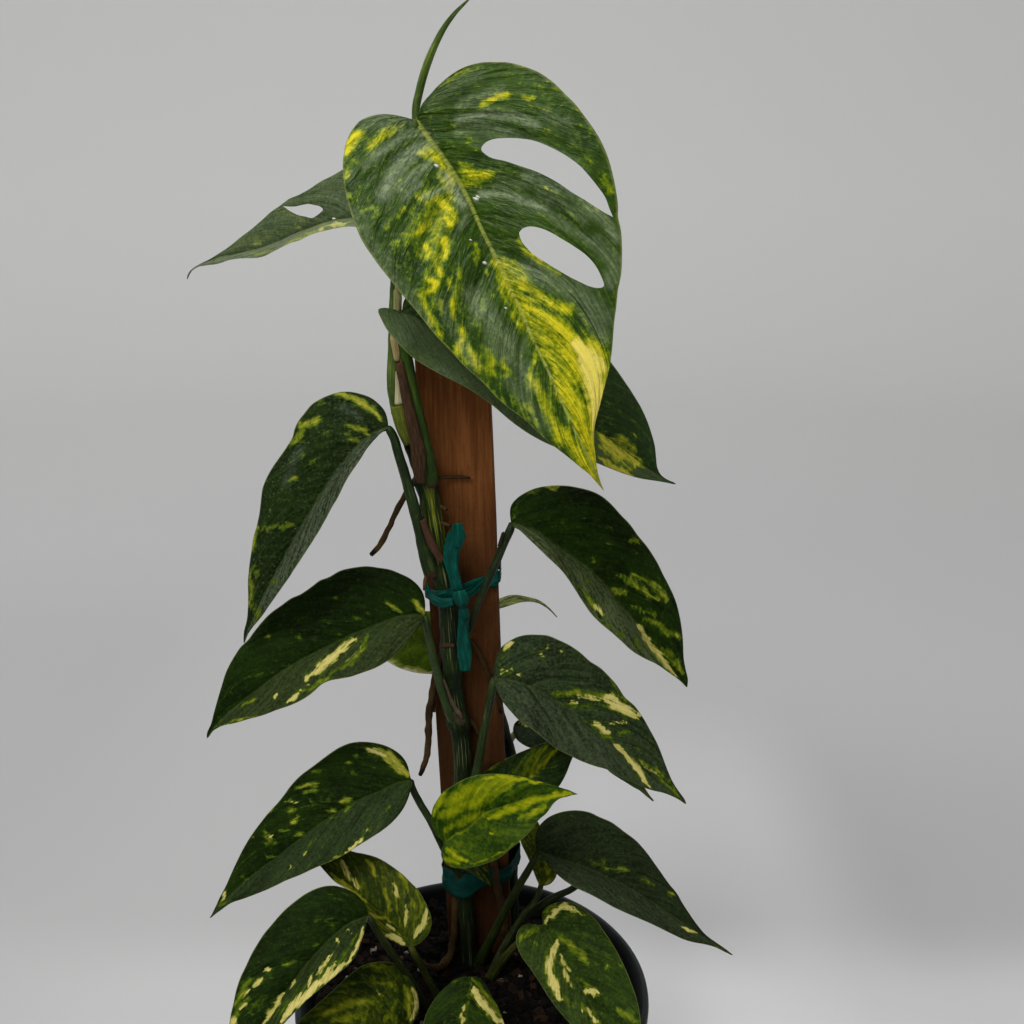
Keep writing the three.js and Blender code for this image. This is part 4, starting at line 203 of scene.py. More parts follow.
# streaks and splashes of yellow and cream, as lines in the picture with a width and a strength
MARKS = {
 'leaf_top': dict(halo=0.3, yellow=[([(428,198),(436,222),(436,250)],20,.55),([(412,212),(410,240),(420,262)],12,.42),([(430,262),(428,290),(434,318)],11,.42),([(452,286),(456,312)],10,.34),([(470,250),(482,272)],7,.3),
   ([(346,152),(352,138),(360,134)],8,1.0),([(370,147),(378,138),(385,134),(395,130)],8,.75),([(388,136),(400,128)],6,.55),([(343,155),(348,165),(345,175)],6,.5),([(352,160),(358,163)],5,.55),
   ([(419,153),(426,156),(433,158)],6,.95),([(427,148),(434,154),(441,163),(448,173),(453,183)],6,.9),([(440,176),(448,190),(454,200)],7,.8),([(438,199),(446,208),(452,216)],9,.92),([(447,218),(450,224)],6,.95),([(425,205),(433,200)],7,.65),([(428,215),(438,224)],11,.55),
   ([(418,215),(421,232)],7,.55),([(434,228),(438,245)],12,.62),([(413,237),(418,230)],5,.6),([(425,246),(430,252),(427,257)],6,1.0),([(444,240),(446,250),(442,258)],7,1.0),([(436,262),(440,275)],7,.85),([(430,280),(436,284),(432,290),(428,292)],6,1.0),([(449,280),(450,290)],5,.75),([(458,270),(459,278)],4,.65),
   ([(398,217),(404,209)],4,.65),([(386,228),(391,219)],4,.55),([(392,243),(397,241)],5,.5),([(362,212),(372,207)],4,.45),([(347,190),(350,198)],4,.5),([(378,190),(386,200)],4,.3),([(356,240),(362,236)],3,.3),
   ([(422,295),(425,305),(430,315),(432,325)],6,.8),([(441,302),(442,315)],5,.8),([(451,300),(454,318)],5,.75),([(434,318),(437,326),(441,336)],6,.7),([(462,330),(465,336),(458,345),(457,352)],6,.8),([(470,350),(475,362),(478,370)],7,.85),([(463,358),(468,362)],5,.6),([(475,245),(478,252)],4,.75),
   ([(448,262),(462,300),(478,330)],8,.3),([(440,340),(450,352),(462,366)],5,.45),([(480,380),(492,392),(506,404)],5,.4),([(510,396),(520,408),(536,424)],6,.4),
   ([(462,168),(470,172),(480,176),(488,173)],9,.85),([(465,182),(475,184)],8,.65),([(463,112),(466,109)],3,.55),([(443,85),(455,76),(468,70)],4,.45),([(481,105),(490,101),(500,96),(507,95)],5,1.0),([(524,98),(530,99),(534,99)],3.5,.8),([(553,118),(556,120)],3,.45),([(576,124),(580,127)],3,.45),
   ([(586,158),(590,162)],4,.75),([(604,178),(611,193)],6,.6),([(568,208),(572,213)],5,.45),([(560,215),(572,222),(578,228)],4,.55),([(526,250),(534,256),(542,262)],7,.85),([(519,240),(524,248)],5,.65),([(543,262),(560,274)],5,.65),
   ([(497,262),(510,290),(520,305),(530,312)],8,.9),([(505,262),(515,268),(525,278)],8,.8),([(512,270),(520,285),(530,290),(540,294),(555,306),(568,310)],8,.85),([(520,298),(540,300),(560,308)],7,.8),([(525,306),(545,316),(560,328),(575,340),(590,352)],9,1.0),([(540,322),(555,335),(570,350)],8,.85),
   ([(590,350),(596,370),(596,392)],19,1.1),([(595,392),(596,412)],13,1.1),([(596,412),(598,440)],13,1.25),([(597,436),(600,460),(604,484)],9,1.3),([(560,378),(577,408),(591,445)],16,.92),([(520,312),(545,338),(572,368)],16,.70),([(548,356),(568,386),(584,420),(598,462)],7,.9),([(560,346),(574,360),(584,378)],11,1.02),([(570,345),(582,362),(588,385)],12,1.0),([(540,350),(552,352)],7,.85),([(545,355),(560,365),(575,380)],10,.85),([(555,370),(562,378)],6,.8),
   ([(560,392),(575,415),(586,440),(596,465)],9,.95),([(572,400),(584,425),(592,448)],9,1.0),([(536,350),(534,362),(528,372),(526,385)],5,.65),([(530,375),(540,395),(550,415),(558,440)],8,.75),([(525,405),(532,412)],5,.6),([(545,400),(556,425),(565,440)],7,.7),([(562,430),(574,448),(586,466),(598,482)],9,.85),([(568,446),(582,464)],6,.7),
   ([(513,315),(518,325)],6,.75),([(498,278),(503,295),(505,302)],5,.6),([(482,300),(481,310)],4,.65),([(485,270),(488,275)],4,.55),([(487,350),(492,360),(489,370),(495,375)],6,.65),([(503,362),(508,372),(506,376)],6,.65)],
   cream=[([(577,345),(590,356),(600,368)],11,1.1),([(584,356),(592,376),(596,396)],13,1.25),([(596,392),(597,415),(599,440)],9,1.25),([(599,438),(601,462),(604,484)],6,1.2),([(446,182),(452,198)],5,.5)]),
 'leaf_upper_back': dict(yellow=[([(350,223),(330,226.5),(312,233),(298,240),(283,246)],3.0,.85),([(255,245),(262,242)],4,.6),([(295,225),(300,228)],2.5,.6),([(250,254),(262,255.5),(273,250)],2.2,.65),([(240,240),(262,236),(280,230)],6,.3),([(283,210),(296,218),(310,221)],3,.45)],
   cream=[([(348,223.2),(332,226),(318,230)],2.2,.75)]),
 'leaf_second': dict(yellow=[([(600,438),(612,446),(626,456),(638,464)],8,.9),([(598,434),(606,436)],5,.8),([(601,446),(612,452),(622,460)],8,.9),([(612,440),(622,441),(634,450)],6,.7),([(618,450),(630,456),(640,462)],6,.8),([(600,458),(616,468),(632,476)],4,.95),([(605,450),(618,462),(632,470)],5,.6),([(632,460),(644,467)],4,.6),([(604,404),(614,406)],3,.3),([(602,418),(608,419)],3,.45),([(634,434),(637,436)],2.5,.5),([(610,430),(600,428)],3,.4)],
   cream=[([(602,444),(612,451)],3,.4)]),
 'leaf_left_a': dict(yellow=[([(336,393),(350,397),(362,403),(372,410),(381,420)],4.4,.92),([(318,401),(325,405)],4.5,.5),([(304,424),(314,422),(320,419)],5,.85),([(289,443),(300,438),(303,428),(298,422)],5,.85),([(346,424),(358,427),(368,430)],4,.8),([(362,430),(370,434)],4.5,.85),([(350,439),(360,441)],4,.6),([(345,434),(350,432)],3.5,.55),([(290,481),(297,477)],4,.75),([(310,464),(316,460)],4,.5),([(300,460),(305,455)],4,.45),([(257,528),(253,540),(250,555)],5,.8),([(262,528),(280,526),(295,524)],5,.6),([(250,570),(252,590),(250,605)],5,.7),([(254,565),(258,575)],4,.55),([(272,583),(277,580)],4,.55),([(252,606),(260,615),(255,625)],6,.55),([(285,500),(292,497)],3,.35),([(320,436),(330,430)],4,.35)]),
 'leaf_left_b': dict(cream=[([(356,638),(346,646),(336,655),(325,664),(314,673),(306,680)],5.5,1.0),([(364,640),(360,650),(350,660),(340,665)],2.5,.5),([(301,691),(293,698),(288,702)],2.8,.95),([(279,695),(275,700)],2.5,.85),([(306,682),(310,685)],3.5,.65)],
   yellow=[([(368,636),(362,650),(352,662),(335,672),(318,684),(303,692)],5,.65),([(257,697),(250,703),(243,708)],4,.7),([(255,676),(262,674)],4,.6),([(248,678),(252,676)],3,.45),([(231,690),(233,692)],3,.55),([(268,636),(270,637)],3,.65),([(295,636),(301,638)],4,.55),([(333,597),(337,599)],3,.75),([(386,603),(394,607),(401,612)],4,.7),([(413,600),(418,607),(423,613)],4,.9),([(354,616),(360,619)],4,.55),([(364,613),(370,613)],4,.45),([(338,634),(341,636)],3,.45),([(346,570),(350,571)],4,.35),([(218,716),(222,720)],4,.45),([(217,726),(240,720),(260,715)],2,.75),([(310,612),(330,622)],6,.22),([(270,660),(290,668)],6,.22)]),
 'leaf_right_a': dict(yellow=[([(547,487),(553,489),(560,486)],3.5,.85),([(525,492),(540,490)],5,.4),([(512,520),(517,508)],4,.35),([(627,540),(634,541),(640,544)],3.5,.65),([(590,562),(596,562)],3.5,.65),([(592,556),(597,558)],3,.4),([(615,578),(622,574)],3,.55),([(620,577),(635,584),(650,596),(660,600)],4,.67),([(630,575),(645,580),(662,592),(667,600)],5,.65),([(610,588),(618,593),(626,592)],4,.65),([(633,607),(640,607)],3,.65),([(640,612),(650,612),(655,617)],3,.6),([(643,620),(655,622),(665,630),(680,638)],4,.65),([(675,636),(680,638)],3.5,.8),([(660,648),(670,655),(675,665)],5,.6),([(677,660),(682,675)],4,.65),([(622,605),(625,610)],3,.45),([(578,585),(590,600),(600,612)],4,.6),([(585,578),(592,584)],3,.5),([(636,638),(640,650)],4,.45),([(602,620),(610,628)],3,.45),([(617,632),(622,637)],3,.55),([(560,520),(575,530)],5,.25),([(600,520),(612,530)],5,.25)],
   cream=[([(594,603),(598,609),(603,616)],2.5,1.0),([(638,625),(645,637),(652,648),(660,657),(668,667),(676,677)],3.8,1.0),([(640,628),(643,640)],2.5,.65)]),
 'leaf_right_b': dict(cream=[([(603,698),(612,697),(618,700)],5.5,1.0),([(606,702),(618,706),(628,711),(640,716)],6.5,1.05),([(566,703),(573,702),(579,700)],3,.9),([(576,696),(584,697),(594,699),(603,700)],3,.85),([(590,722),(597,724),(604,729),(609,734)],4.6,1.0),([(612,724),(618,723),(627,724)],2.8,.85),([(616,744),(622,752),(630,761),(638,770),(643,779),(650,788)],4.2,1.05),([(640,762),(647,768),(654,773),(659,778)],2.8,.85),([(504,650),(509,645),(513,642)],4,1.0),([(545,647),(549,645)],3.2,.8),([(538,653),(544,656)],2.8,.8),([(557,652),(564,651)],2.6,.75),([(506,672),(513,668)],2.4,.8),([(517,675),(521,674)],3,.95),([(498,675),(504,668)],2.2,.6),([(602,672),(612,681),(620,692)],2,.5)],
   yellow=[([(552,693),(566,691),(580,690)],4,.6),([(555,697),(575,693),(600,697),(620,699)],6,.7),([(560,705),(580,706),(600,706),(620,712)],5,.55),([(585,720),(600,731),(610,737)],6,.65),([(603,671),(612,680),(620,692),(628,703)],4,.72),([(617,732),(628,732),(636,731)],3,.65),([(640,760),(655,773),(668,785),(680,797)],5,.78),([(656,768),(663,778),(670,782)],4,.7),([(648,738),(651,742)],3.5,.6),([(500,672),(520,676)],6,.4),([(530,652),(545,650)],6,.4),([(566,648),(575,655)],5,.25),([(505,655),(500,668)],5,.5),([(610,738),(616,744)],3,.6),([(630,738),(642,752)],6,.3)]),
 'leaf_left_c': dict(cream=[([(365,748),(374,751),(386,756)],5,1.0),([(388,757),(396,764),(402,771)],3.5,.6),([(283,802),(290,802),(298,803)],3,.85),([(345,854),(352,848),(360,842),(364,835)],3,1.0),([(366,832),(370,826)],2.2,.8),([(303,855),(306,851)],2.2,.8),([(289,869),(291,866)],2,.7),([(271,838),(273,836)],3,.85),([(222,899),(226,893)],2.5,.9)],
   yellow=[([(378,750),(388,755),(396,763),(403,770),(407,776)],5,1.0),([(385,757),(395,766),(402,773)],4,.85),([(299,788),(308,785),(318,785)],4,.65),([(303,793),(315,790)],4,.55),([(313,773),(322,771)],3,.45),([(346,764),(352,763)],3,.6),([(355,758),(357,754)],3,.65),([(352,771),(356,774)],3,.5),([(310,800),(316,804)],3,.45),([(325,802),(330,800)],3,.45),([(341,801),(350,799)],3.5,.75),([(329,811),(336,810)],3.5,.7),([(343,812),(350,806)],3.5,.55),([(292,822),(298,817)],3.5,.7),([(285,811),(297,810)],3,.5),([(268,812),(272,808)],4,.55),([(281,832),(290,830)],3.5,.65),([(295,835),(304,833)],3.5,.65),([(266,832),(270,840)],4,.6),([(260,843),(278,842)],3,.45),([(265,856),(278,856)],3,.5),([(252,838),(254,836)],3,.55),([(243,877),(250,879)],4,.45),([(330,818),(336,818)],3,.45),([(385,812),(390,806)],2.5,.5),([(312,842),(308,848)],2.5,.45),([(215,905),(240,900)],4,.4),([(330,862),(345,855)],2,.75),([(310,808),(330,796)],8,.25)]),
 'leaf_center': dict(yellow=[([(447,802),(470,791),(495,783),(515,779)],15,.74),([(441,816),(460,807),(485,797),(502,788)],13,.70),([(446,829),(465,821),(487,812)],9,.60),([(482,778),(500,777),(522,780),(540,783)],4,.95),([(434,816),(438,802),(446,793)],4.5,.78),([(505,790),(512,785)],6,.7),
   ([(490,818),(505,812),(520,806),(535,800),(550,797),(562,794)],8,.88),([(518,819),(534,814),(546,806)],6,.78),([(552,794),(572,793)],4,.9),([(448,849),(458,857),(466,862)],7,.85),([(445,857),(458,864)],5,.75),([(491,832),(493,834)],3.2,.95),([(470,865),(490,858),(510,848),(525,838),(538,826)],2,.72),([(448,840),(458,834),(470,829)],3,.6),([(476,840),(486,836)],4,.35)]),
 'leaf_behind_center': dict(yellow=[([(521,777),(533,762),(546,747)],11,.70),([(530,778),(543,764),(556,748)],5,.85),([(514,772),(525,757),(537,748)],4,.5),([(484,773),(498,764),(508,757)],3,.75),([(556,758),(552,770)],4,.25)]),
 'leaf_back_small': dict(cream=[([(520,722),(527,727)],3,.9)]),
 'leaf_right_c': dict(yellow=[([(587,860),(600,865),(613,868),(630,871)],4.5,.58),([(640,878),(656,885)],4.5,.5),([(586,858),(592,864)],4,.5),([(602,860),(604,860)],3,.65),([(604,867),(608,868)],3,.8),([(615,866),(620,868),(628,870)],3,.75),([(645,880),(655,884)],4,.45),([(669,893),(674,896)],3.5,.7),([(569,816),(571,817)],2.5,.65),([(602,826),(604,827)],4,.35),([(622,900),(628,903)],4,.4),([(715,945),(732,955)],3,.45)],
   cream=[([(683,928),(690,931),(697,933)],1.9,.85)]),
 'leaf_right_low': dict(cream=[([(545,924),(548,917),(556,911),(564,906),(574,908)],4,.95),([(560,908),(575,912),(586,916)],3,.85),([(557,943),(551,955),(549,966),(552,978),(556,990),(562,1001)],5.6,1.08),([(560,953),(564,962),(570,971)],3,.9),([(562,968),(568,980),(574,989)],3.4,.7),([(583,990),(592,992),(600,994)],3.4,1.0),([(592,994),(594,998)],3,.9),([(588,1008),(590,1016),(598,1022)],3.2,.85),([(582,1008),(583,1014)],2,.7),([(608,966),(606,968)],2,.7)],
   yellow=[([(520,940),(530,932),(542,926)],5,.65),([(530,940),(540,946)],4,.5),([(562,938),(572,946),(580,954),(586,962)],8,.72),([(560,962),(568,968)],5,.6),([(578,978),(588,986)],4,.65),([(603,966),(609,968)],3,.72),([(618,964),(622,967)],3,.65),([(628,974),(633,977)],3,.6),([(618,1010),(630,1016),(636,1022)],6,.78),([(580,1003),(592,1016),(600,1024)],6,.62),([(540,915),(555,905)],4,.65),([(575,925),(590,935)],6,.35),([(600,1030),(615,1050)],8,.6),([(550,975),(560,992),(572,1006)],8,.45),([(606,938),(612,948)],4,.3)]),
 'leaf_left_small': dict(rim=.4,cream=[([(340,862),(346,870),(353,880),(359,889)],4.6,.85),([(392,882),(395,890),(399,897)],3,.9),([(407,905),(406,915),(407,928)],2.8,.85),([(427,909),(426,918),(421,928),(415,938)],4.4,1.0),([(386,935),(396,938),(404,943)],4.2,1.05),([(388,924),(394,930)],3.2,.8),([(332,880),(341,886),(350,890)],3,.7)],
   yellow=[([(365,860),(372,866),(377,876)],4.6,1.0),([(384,888),(387,898),(390,910)],5,.82),([(398,870),(405,880),(408,892)],4,.8),([(370,912),(380,917),(392,922)],3.5,.85),([(330,874),(342,883),(355,892),(366,903)],5,.85),([(335,862),(350,876),(362,890)],6,.6),([(412,898),(415,908)],3,.65),([(395,905),(399,918),(403,930)],3,.7),([(418,890),(422,905),(418,920)],4,.6),([(378,928),(388,936)],4,.6),([(382,875),(388,882)],4,.5)]),
 'leaf_left_d': dict(cream=[([(363,928),(360,940),(356,950),(350,958)],3.4,1.0),([(350,960),(338,970),(325,980),(312,990),(300,1002),(290,1012),(282,1022)],5.4,1.08),([(330,956),(324,965),(316,976)],2.6,.9),([(336,962),(326,974),(318,984)],2.6,.9),([(312,977),(308,988)],3.4,.9),([(296,980),(291,989)],3,.9),([(283,993),(278,1003),(270,1014),(263,1024)],4,.95),([(302,992),(294,1003),(284,1014)],4,.9),([(338,938),(338,945)],2.2,.8),([(349,930),(350,934)],2.2,.65),([(270,966),(266,972)],3,.95),([(263,977),(257,983),(253,986)],3.6,.9),([(243,998),(249,990)],2.6,.85),([(246,1004),(240,1010)],2.6,.75),([(236,1018),(232,1022)],5,1.0)],
   yellow=[([(240,988),(252,978)],4,.72),([(238,996),(250,1000)],6,.62),([(245,985),(240,1000),(236,1015)],8,.66),([(283,965),(290,963),(296,961)],4,.78),([(313,921),(318,920)],3.5,.6),([(314,947),(319,946)],3.5,.65),([(325,920),(334,928)],5,.45),([(250,1012),(264,998)],9,.45),([(352,948),(335,962),(312,980),(295,998),(275,1016)],8,.5),([(300,930),(312,936)],5,.25),([(266,975),(272,968)],5,.55),([(356,934),(352,946)],3,.6)]),
 'leaf_left_e': dict(cream=[([(412,988),(417,1000),(416,1010),(411,1020)],4.4,.95),([(376,990),(382,994),(388,991),(392,988)],2.2,.75)],
   yellow=[([(325,1016),(340,1006),(355,1002),(372,1002)],8,.72),([(404,986),(408,1002),(407,1018)],6,.78),([(362,969),(372,965),(382,969)],4,.6),([(382,984),(394,986)],6,.62),([(398,1000),(390,1012),(384,1022)],5,.6),([(330,1024),(345,1018),(360,1016)],7,.72),([(350,985),(356,984)],4,.55),([(372,975),(376,982)],3,.55),([(368,1010),(362,1024)],5,.5)]),
 'leaf_front': dict(cream=[([(473,988),(478,998),(486,1008),(496,1018),(503,1026)],5.8,1.1),([(465,1004),(463,1014),(461,1026)],2.4,.95)],
   yellow=[([(472,979),(478,986),(486,996),(494,1006),(502,1016)],5,.7),([(470,984),(468,1000),(466,1018)],3,.55),([(456,981),(449,984)],4,.62),([(446,1016),(444,1024)],2.5,.65),([(440,1000),(452,990)],5,.3)]),
 'leaf_back_left': dict(cream=[([(386,661),(400,669),(420,674),(435,675)],4.2,1.0)],yellow=[([(386,659),(405,667),(425,671)],5,.9)]),
 'leaf_tiny_a': dict(cream=[([(545,884),(552,880)],3,0.5)],yellow=[([(546,862),(550,880)],6,.55)]),
 'leaf_right_hidden': dict(yellow=[([(600,860),(615,864)],4,.4)]),
}
# painted highlights: where the blades shine, as lines in the picture; a pale colour is mixed into the leaf colour along
# them
PAINTED_GLOSS_STROKES = {
 'leaf_top': [
  ([(368,119),(388,117),(410,120)],6,.45),([(362,126),(382,124),(402,129)],6,.35),([(425,133),(412,133),(400,139),(386,149),(372,156)],5,.6),([(430,145),(414,152),(402,162),(392,177),(383,194)],8,.85),([(430,164),(415,174),(400,188)],6,.65),([(365,166),(378,154),(396,144)],5,.4),
  ([(352,172),(351,184)],4,.3),([(445,176),(455,190),(463,206)],7,.95),([(424,197),(437,192),(448,187)],4,.8),([(403,198),(420,184)],4,.5),([(360,216),(368,242)],9,.3),([(372,254),(388,276),(405,300),(423,326)],13,.38),([(460,226),(468,216)],5,.4),
  ([(458,121),(486,113),(518,117),(536,125)],5,.75),([(458,133),(483,125),(510,131)],5,.5),([(460,106),(476,99),(500,90)],6,.4),([(490,136),(519,136),(543,145),(567,158),(586,176)],5,.2),([(546,114),(566,124)],8,.28),([(540,192),(562,202),(585,218)],7,.38),([(500,183),(525,186)],7,.25),([(430,104),(450,86),(480,72)],8,.25),
  ([(482,194),(504,193),(528,202),(545,210)],4.5,1.0),([(545,210),(560,222),(580,235),(596,248)],5,.5),([(528,175),(555,182),(578,196),(597,213)],8,.45),([(587,207),(605,221),(617,238)],6,.75),([(596,244),(615,262),(610,282)],9,.5),
  ([(528,269),(555,280),(583,296),(603,318)],12,.5),([(587,312),(604,336)],9,.45),([(474,296),(496,330),(514,350)],12,.5),([(494,346),(519,364),(530,388)],10,.4),([(510,380),(545,426)],9,.3),([(460,341),(474,364)],7,.35),([(440,300),(452,330)],7,.25),([(484,240),(500,258),(516,276)],6,.2)],
 'leaf_second': [([(400,336),(410,340)],4,.06),([(440,370),(480,402),(510,424)],6,.16)],
 'leaf_left_a': [([(342,408),(352,412),(360,417)],4,.12),([(300,450),(292,466),(286,484)],5,.12)],
}
# stalk colours: body, shade, fine stripes; brown = how far up the stalk is dry and brown
PETTONE = {
 'leaf_top': dict(a=(74,96,36),b=(42,62,18),stripe=(118,130,58)),
 'leaf_upper_back': dict(a=(180,168,112),b=(140,128,78),stripe=(206,196,150)),
 'leaf_second': dict(a=(52,78,18),b=(34,58,14),stripe=(84,104,38),brown=0.05),
 'leaf_left_a': dict(a=(42,62,22),b=(24,40,14),stripe=(78,92,44),brown=0.10),
 'leaf_left_b': dict(a=(52,70,34),b=(30,46,20),stripe=(92,104,60),brown=0.08),
 'leaf_right_a': dict(a=(32,46,20),b=(20,30,14),stripe=(84,88,54),brown=0.08),
 'leaf_right_b': dict(a=(46,62,22),b=(26,42,14),stripe=(86,88,60),brown=0.06),
 'leaf_left_c': dict(a=(34,48,18),b=(20,32,12),stripe=(74,86,40),brown=0.08),
 'leaf_right_c': dict(a=(46,60,14),b=(26,40,8),stripe=(78,88,28),brown=0.06),
 'leaf_right_low': dict(a=(68,76,20),b=(40,48,12),stripe=(116,114,48)),
 'leaf_left_small': dict(a=(62,72,20),b=(36,46,12),stripe=(116,114,46)),
 'leaf_left_d': dict(a=(48,58,20),b=(26,36,10),stripe=(92,94,42)),
 'leaf_left_e': dict(a=(50,62,26),b=(28,40,14),stripe=(96,100,50)),
 'leaf_front': dict(a=(60,76,28),b=(36,50,16),stripe=(104,110,52)),
 'leaf_tiny_a': dict(a=(70,78,42),b=(40,52,20),stripe=(118,120,84)),
 'leaf_back_small': dict(a=(120,128,88),b=(84,98,52),stripe=(150,154,116)),
 'leaf_tiny_b': dict(a=(110,118,50),b=(84,96,38)),
}
# dry sheaths, tan bands and the like: left and right edges in the picture, bow, seed, colours
HUSKS = [
 ('sheath_second', [(395,364,403,361,-27,-27),(398,378,407,376,-27.5,-27.5),(400,392,410,390,-28,-28),(403,406,413,404,-28,-28),(405,420,417,418,-28,-28),(409,438,422,436,-27,-27),(411,455,425,453,-26.5,-26.5),(413,472,426,470,-25.5,-25.5),(417,484,426,482,-24,-24)], 0.20, 1.0, (80,54,28), (24,15,8)),
 ('sheath_left_a', [(420,521,425,518,-28,-27),(424,534,430,531,-27.5,-26.5),(428,546,436,543,-26.5,-25.5),(434,556,441,553,-25.5,-24.5),(438,562,446,560,-24,-23)], 0.20, 2.0, (92,60,42), (48,28,18)),
 ('sheath_left_b', [(443,680,444.6,679.4,-26,-25.7),(446.4,690,448.8,689,-26,-25.6),(450,701,453,699.6,-25.5,-25),(453.6,709,457,707.4,-25,-24.5),(457.6,715,461.6,713,-24.5,-24),(461.4,719.6,463.6,718,-24,-23.5)], 0.15, 3.0, (98,78,62), (52,38,26)),
 ('sheath_left_b_low', [(453,712,455,711,-24.5,-24),(454,720,458,717,-24.5,-24),(458,726,463,720,-24,-24),(464,726,466,720,-23.5,-23.5)], 0.10, 3.4, (60,58,34), (34,30,16)),
 ('sheath_right_a', [(497.4,546,500.6,544.8,-31,-31),(499.6,539,503,537.4,-31,-31),(501.6,532.6,504.4,531.2,-31,-31)], 0.3, 4.0, (54,38,24), (28,18,10)),
 ('band_top_a', [(393.5,283,397,283,-25.5,-25.5),(393.5,296,402,297,-25.5,-25),(393.5,306,401,307,-25.2,-24.7),(393,314,401,314,-25,-24.5)], 0.22, 5.0, (160,158,104), (118,122,72)),
 ('band_top_c', [(392,316,401,316,-24.9,-24.5),(391.5,328,401,328,-24.5,-24.2),(390,338,399,342,-24.6,-25),(392,350,400,354,-24.8,-25.5),(394,360,399,362,-25,-25.6)], 0.22, 5.6, (176,158,108), (132,112,72)),
 ('band_top_b', [(395,372,396,371,-24.6,-24.6),(395,381,398.6,380,-24.4,-24.6),(395,393,401.6,392,-24,-24.6),(394.6,404.6,403,403.6,-23.4,-24)], 0.22, 6.0, (200,192,156), (168,160,116)),
 ('band_stem_top', [(390,407,404,404,-22.5,-23),(392,416,406,413,-22,-23),(395,426,407,423,-21.6,-23),(399,436,409,434,-21.2,-22.6),(404,446,411,444,-21,-22)], 0.22, 7.0, (112,118,30), (58,78,18)),
]
SLIVER = [(605,766.5,609,763,-51.5,-49),(610,772,616,766.5,-51.5,-49),(618,777.5,624,772,-51,-48.5),(627,783,632,777,-50,-47.5),(634,787.5,638.5,781.5,-49,-46.8),(640,790.8,643.6,786.4,-48,-46.5),(646,795.8,648.4,793.4,-47.5,-46.6),(652.8,801.4,654,800.6,-47,-46.6)]
MORE_ROOTS = [
 [(436,479,-15,1.1),(448,477,-11.9,1.0),(460,477,-11.3,0.9),(470,478,-11.2,0.5)],
 [(437,506,-15,1.2),(442,507,-18,1.0),(447,510,-20,0.7)],
 [(436,522,-15,1.2),(443,523,-19,1.0),(451,526,-21,0.7)],
 [(456,721,-15,1.6),(466,720,-14,1.5),(474,725,-13,1.3),(479,735,-11.8,0.9)],
 [(458,880,-14,1.9),(456,900,-13.5,2.2),(455,922,-14,2.2),(453,942,-15,2.2),(449,957,-19,2.2),(441,966,-24,2.2),(430,967,-30,2.1),(418,962,-33,2.0),(405,957,-33,1.4)],
 [(427,574,-20,1.2),(425,582,-22,1.0),(424,590,-23,0.7)],
 [(468,802,-13,1.4),(478,800,-11.4,1.3),(486,808,-11.2,1.0)],
 [(443,646,-20,1.3),(449,645,-22,1.2),(455,646,-23,0.9)],
 [(432,688,-15,1.5),(433,700,-16,1.3),(434,712,-17,0.8)],
]
# the visible runs of the upper tie: left and right edges, and how much the strip bows out
TAPES = [
 ([(459,606,465,607,-26,-26),(458.5,613,467,612,-26,-25.6),(458.5,621,468.5,620,-25.6,-25),(457.5,632,469,632,-25,-24.4),(457,645,471,645,-24.5,-24),(458,658,471.5,658,-24.2,-23.8),(460,671,470.5,671,-24,-23.6)], 0.06),
 ([(453,524,461.5,522.6,-22.6,-22.6),(451.6,529,463.6,528.4,-22.8,-22.6),(450.6,534,465.6,535.5,-23.2,-22.9),(452.5,540,464,542,-23.6,-23.3),(455,546,461,549,-23.8,-23.6)], 0.10),
 ([(448,532,456,529,-22.4,-22.6),(446.4,536,461,536,-22.6,-22.8),(445,542,462.6,543.5,-23,-22.8),(443.5,551.5,459.8,552.5,-23.6,-23.2),(443.4,560,458.6,562,-24.2,-24),(445.6,568,459,569,-24.8,-24.8),(448,576,460.2,576,-25,-25),(452,591,463,590,-25,-25)], 0.05),
 ([(427,581,427,590,-22,-22),(431,592,431,602,-24,-24),(438,597,438,607,-25.4,-25.4),(445,598.5,445,608.5,-26,-26),(453,598,453.5,606,-26,-26)], 0.16),
 ([(462,594,464,601,-26,-26),(467.5,592.5,469,598.5,-24,-24),(474,588.4,475.4,594.4,-19.6,-19.6),(480,582.5,481.4,590.6,-15.6,-15.6),(485,578,486.6,587.6,-13.2,-13.2),(491,572.6,492,588,-12,-12),(498,566.6,498.5,588,-11.4,-11.4)], 0.08),
 ([(453,591.5,465,589.5,-28,-28),(452.6,597,468,595.6,-29,-29),(455,602.6,469,602,-29,-29),(459,607,466.6,606.6,-28,-28)], 0.20),
 ([(459,608,463,605,-27,-27),(460,616,468,609,-27,-27),(463,621,469.5,617,-26.4,-26.2)], 0.18),
]
WORLD = 0.24
LIGHTS = [
 ("key", (-0.75, -1.15, 2.15), (0, 0, 0.50), 1.15, 40, (1.0, 0.985, 0.955)),
 ("fill", (1.9, -1.3, 1.3), (0, 0, 0.35), 1.8, 4, (1.0, 0.985, 0.96)),
 ("top", (-0.2, 1.3, 3.2), (0, 2.0, 0.6), 2.6, 44, (1.0, 0.995, 0.98)),
]
# where blown dust and water marks show as white flecks on the top leaf
FLECKS = [((437,166),1.6),((476,199),1.8),((485,263),1.5),((506,308),0.9),((478,197),1.2),((471,240),0.8),((334,219),1.3)]
# paper tones from the middle outward: painted shade, darker near the plant and lighter far out
PAPER_PAINTED_FALLOFF = [(176, 176, 178), (182, 182, 184), (195, 195, 197), (224, 225, 225)]

# ---------------------------------------------------------------- helpers
def col(r, g, b):
    f = lambda c: (c / 255 / 12.92) if c / 255 <= 0.04045 else ((c / 255 + 0.055) / 1.055) ** 2.4
    return (f(r), f(g), f(b), 1.0)


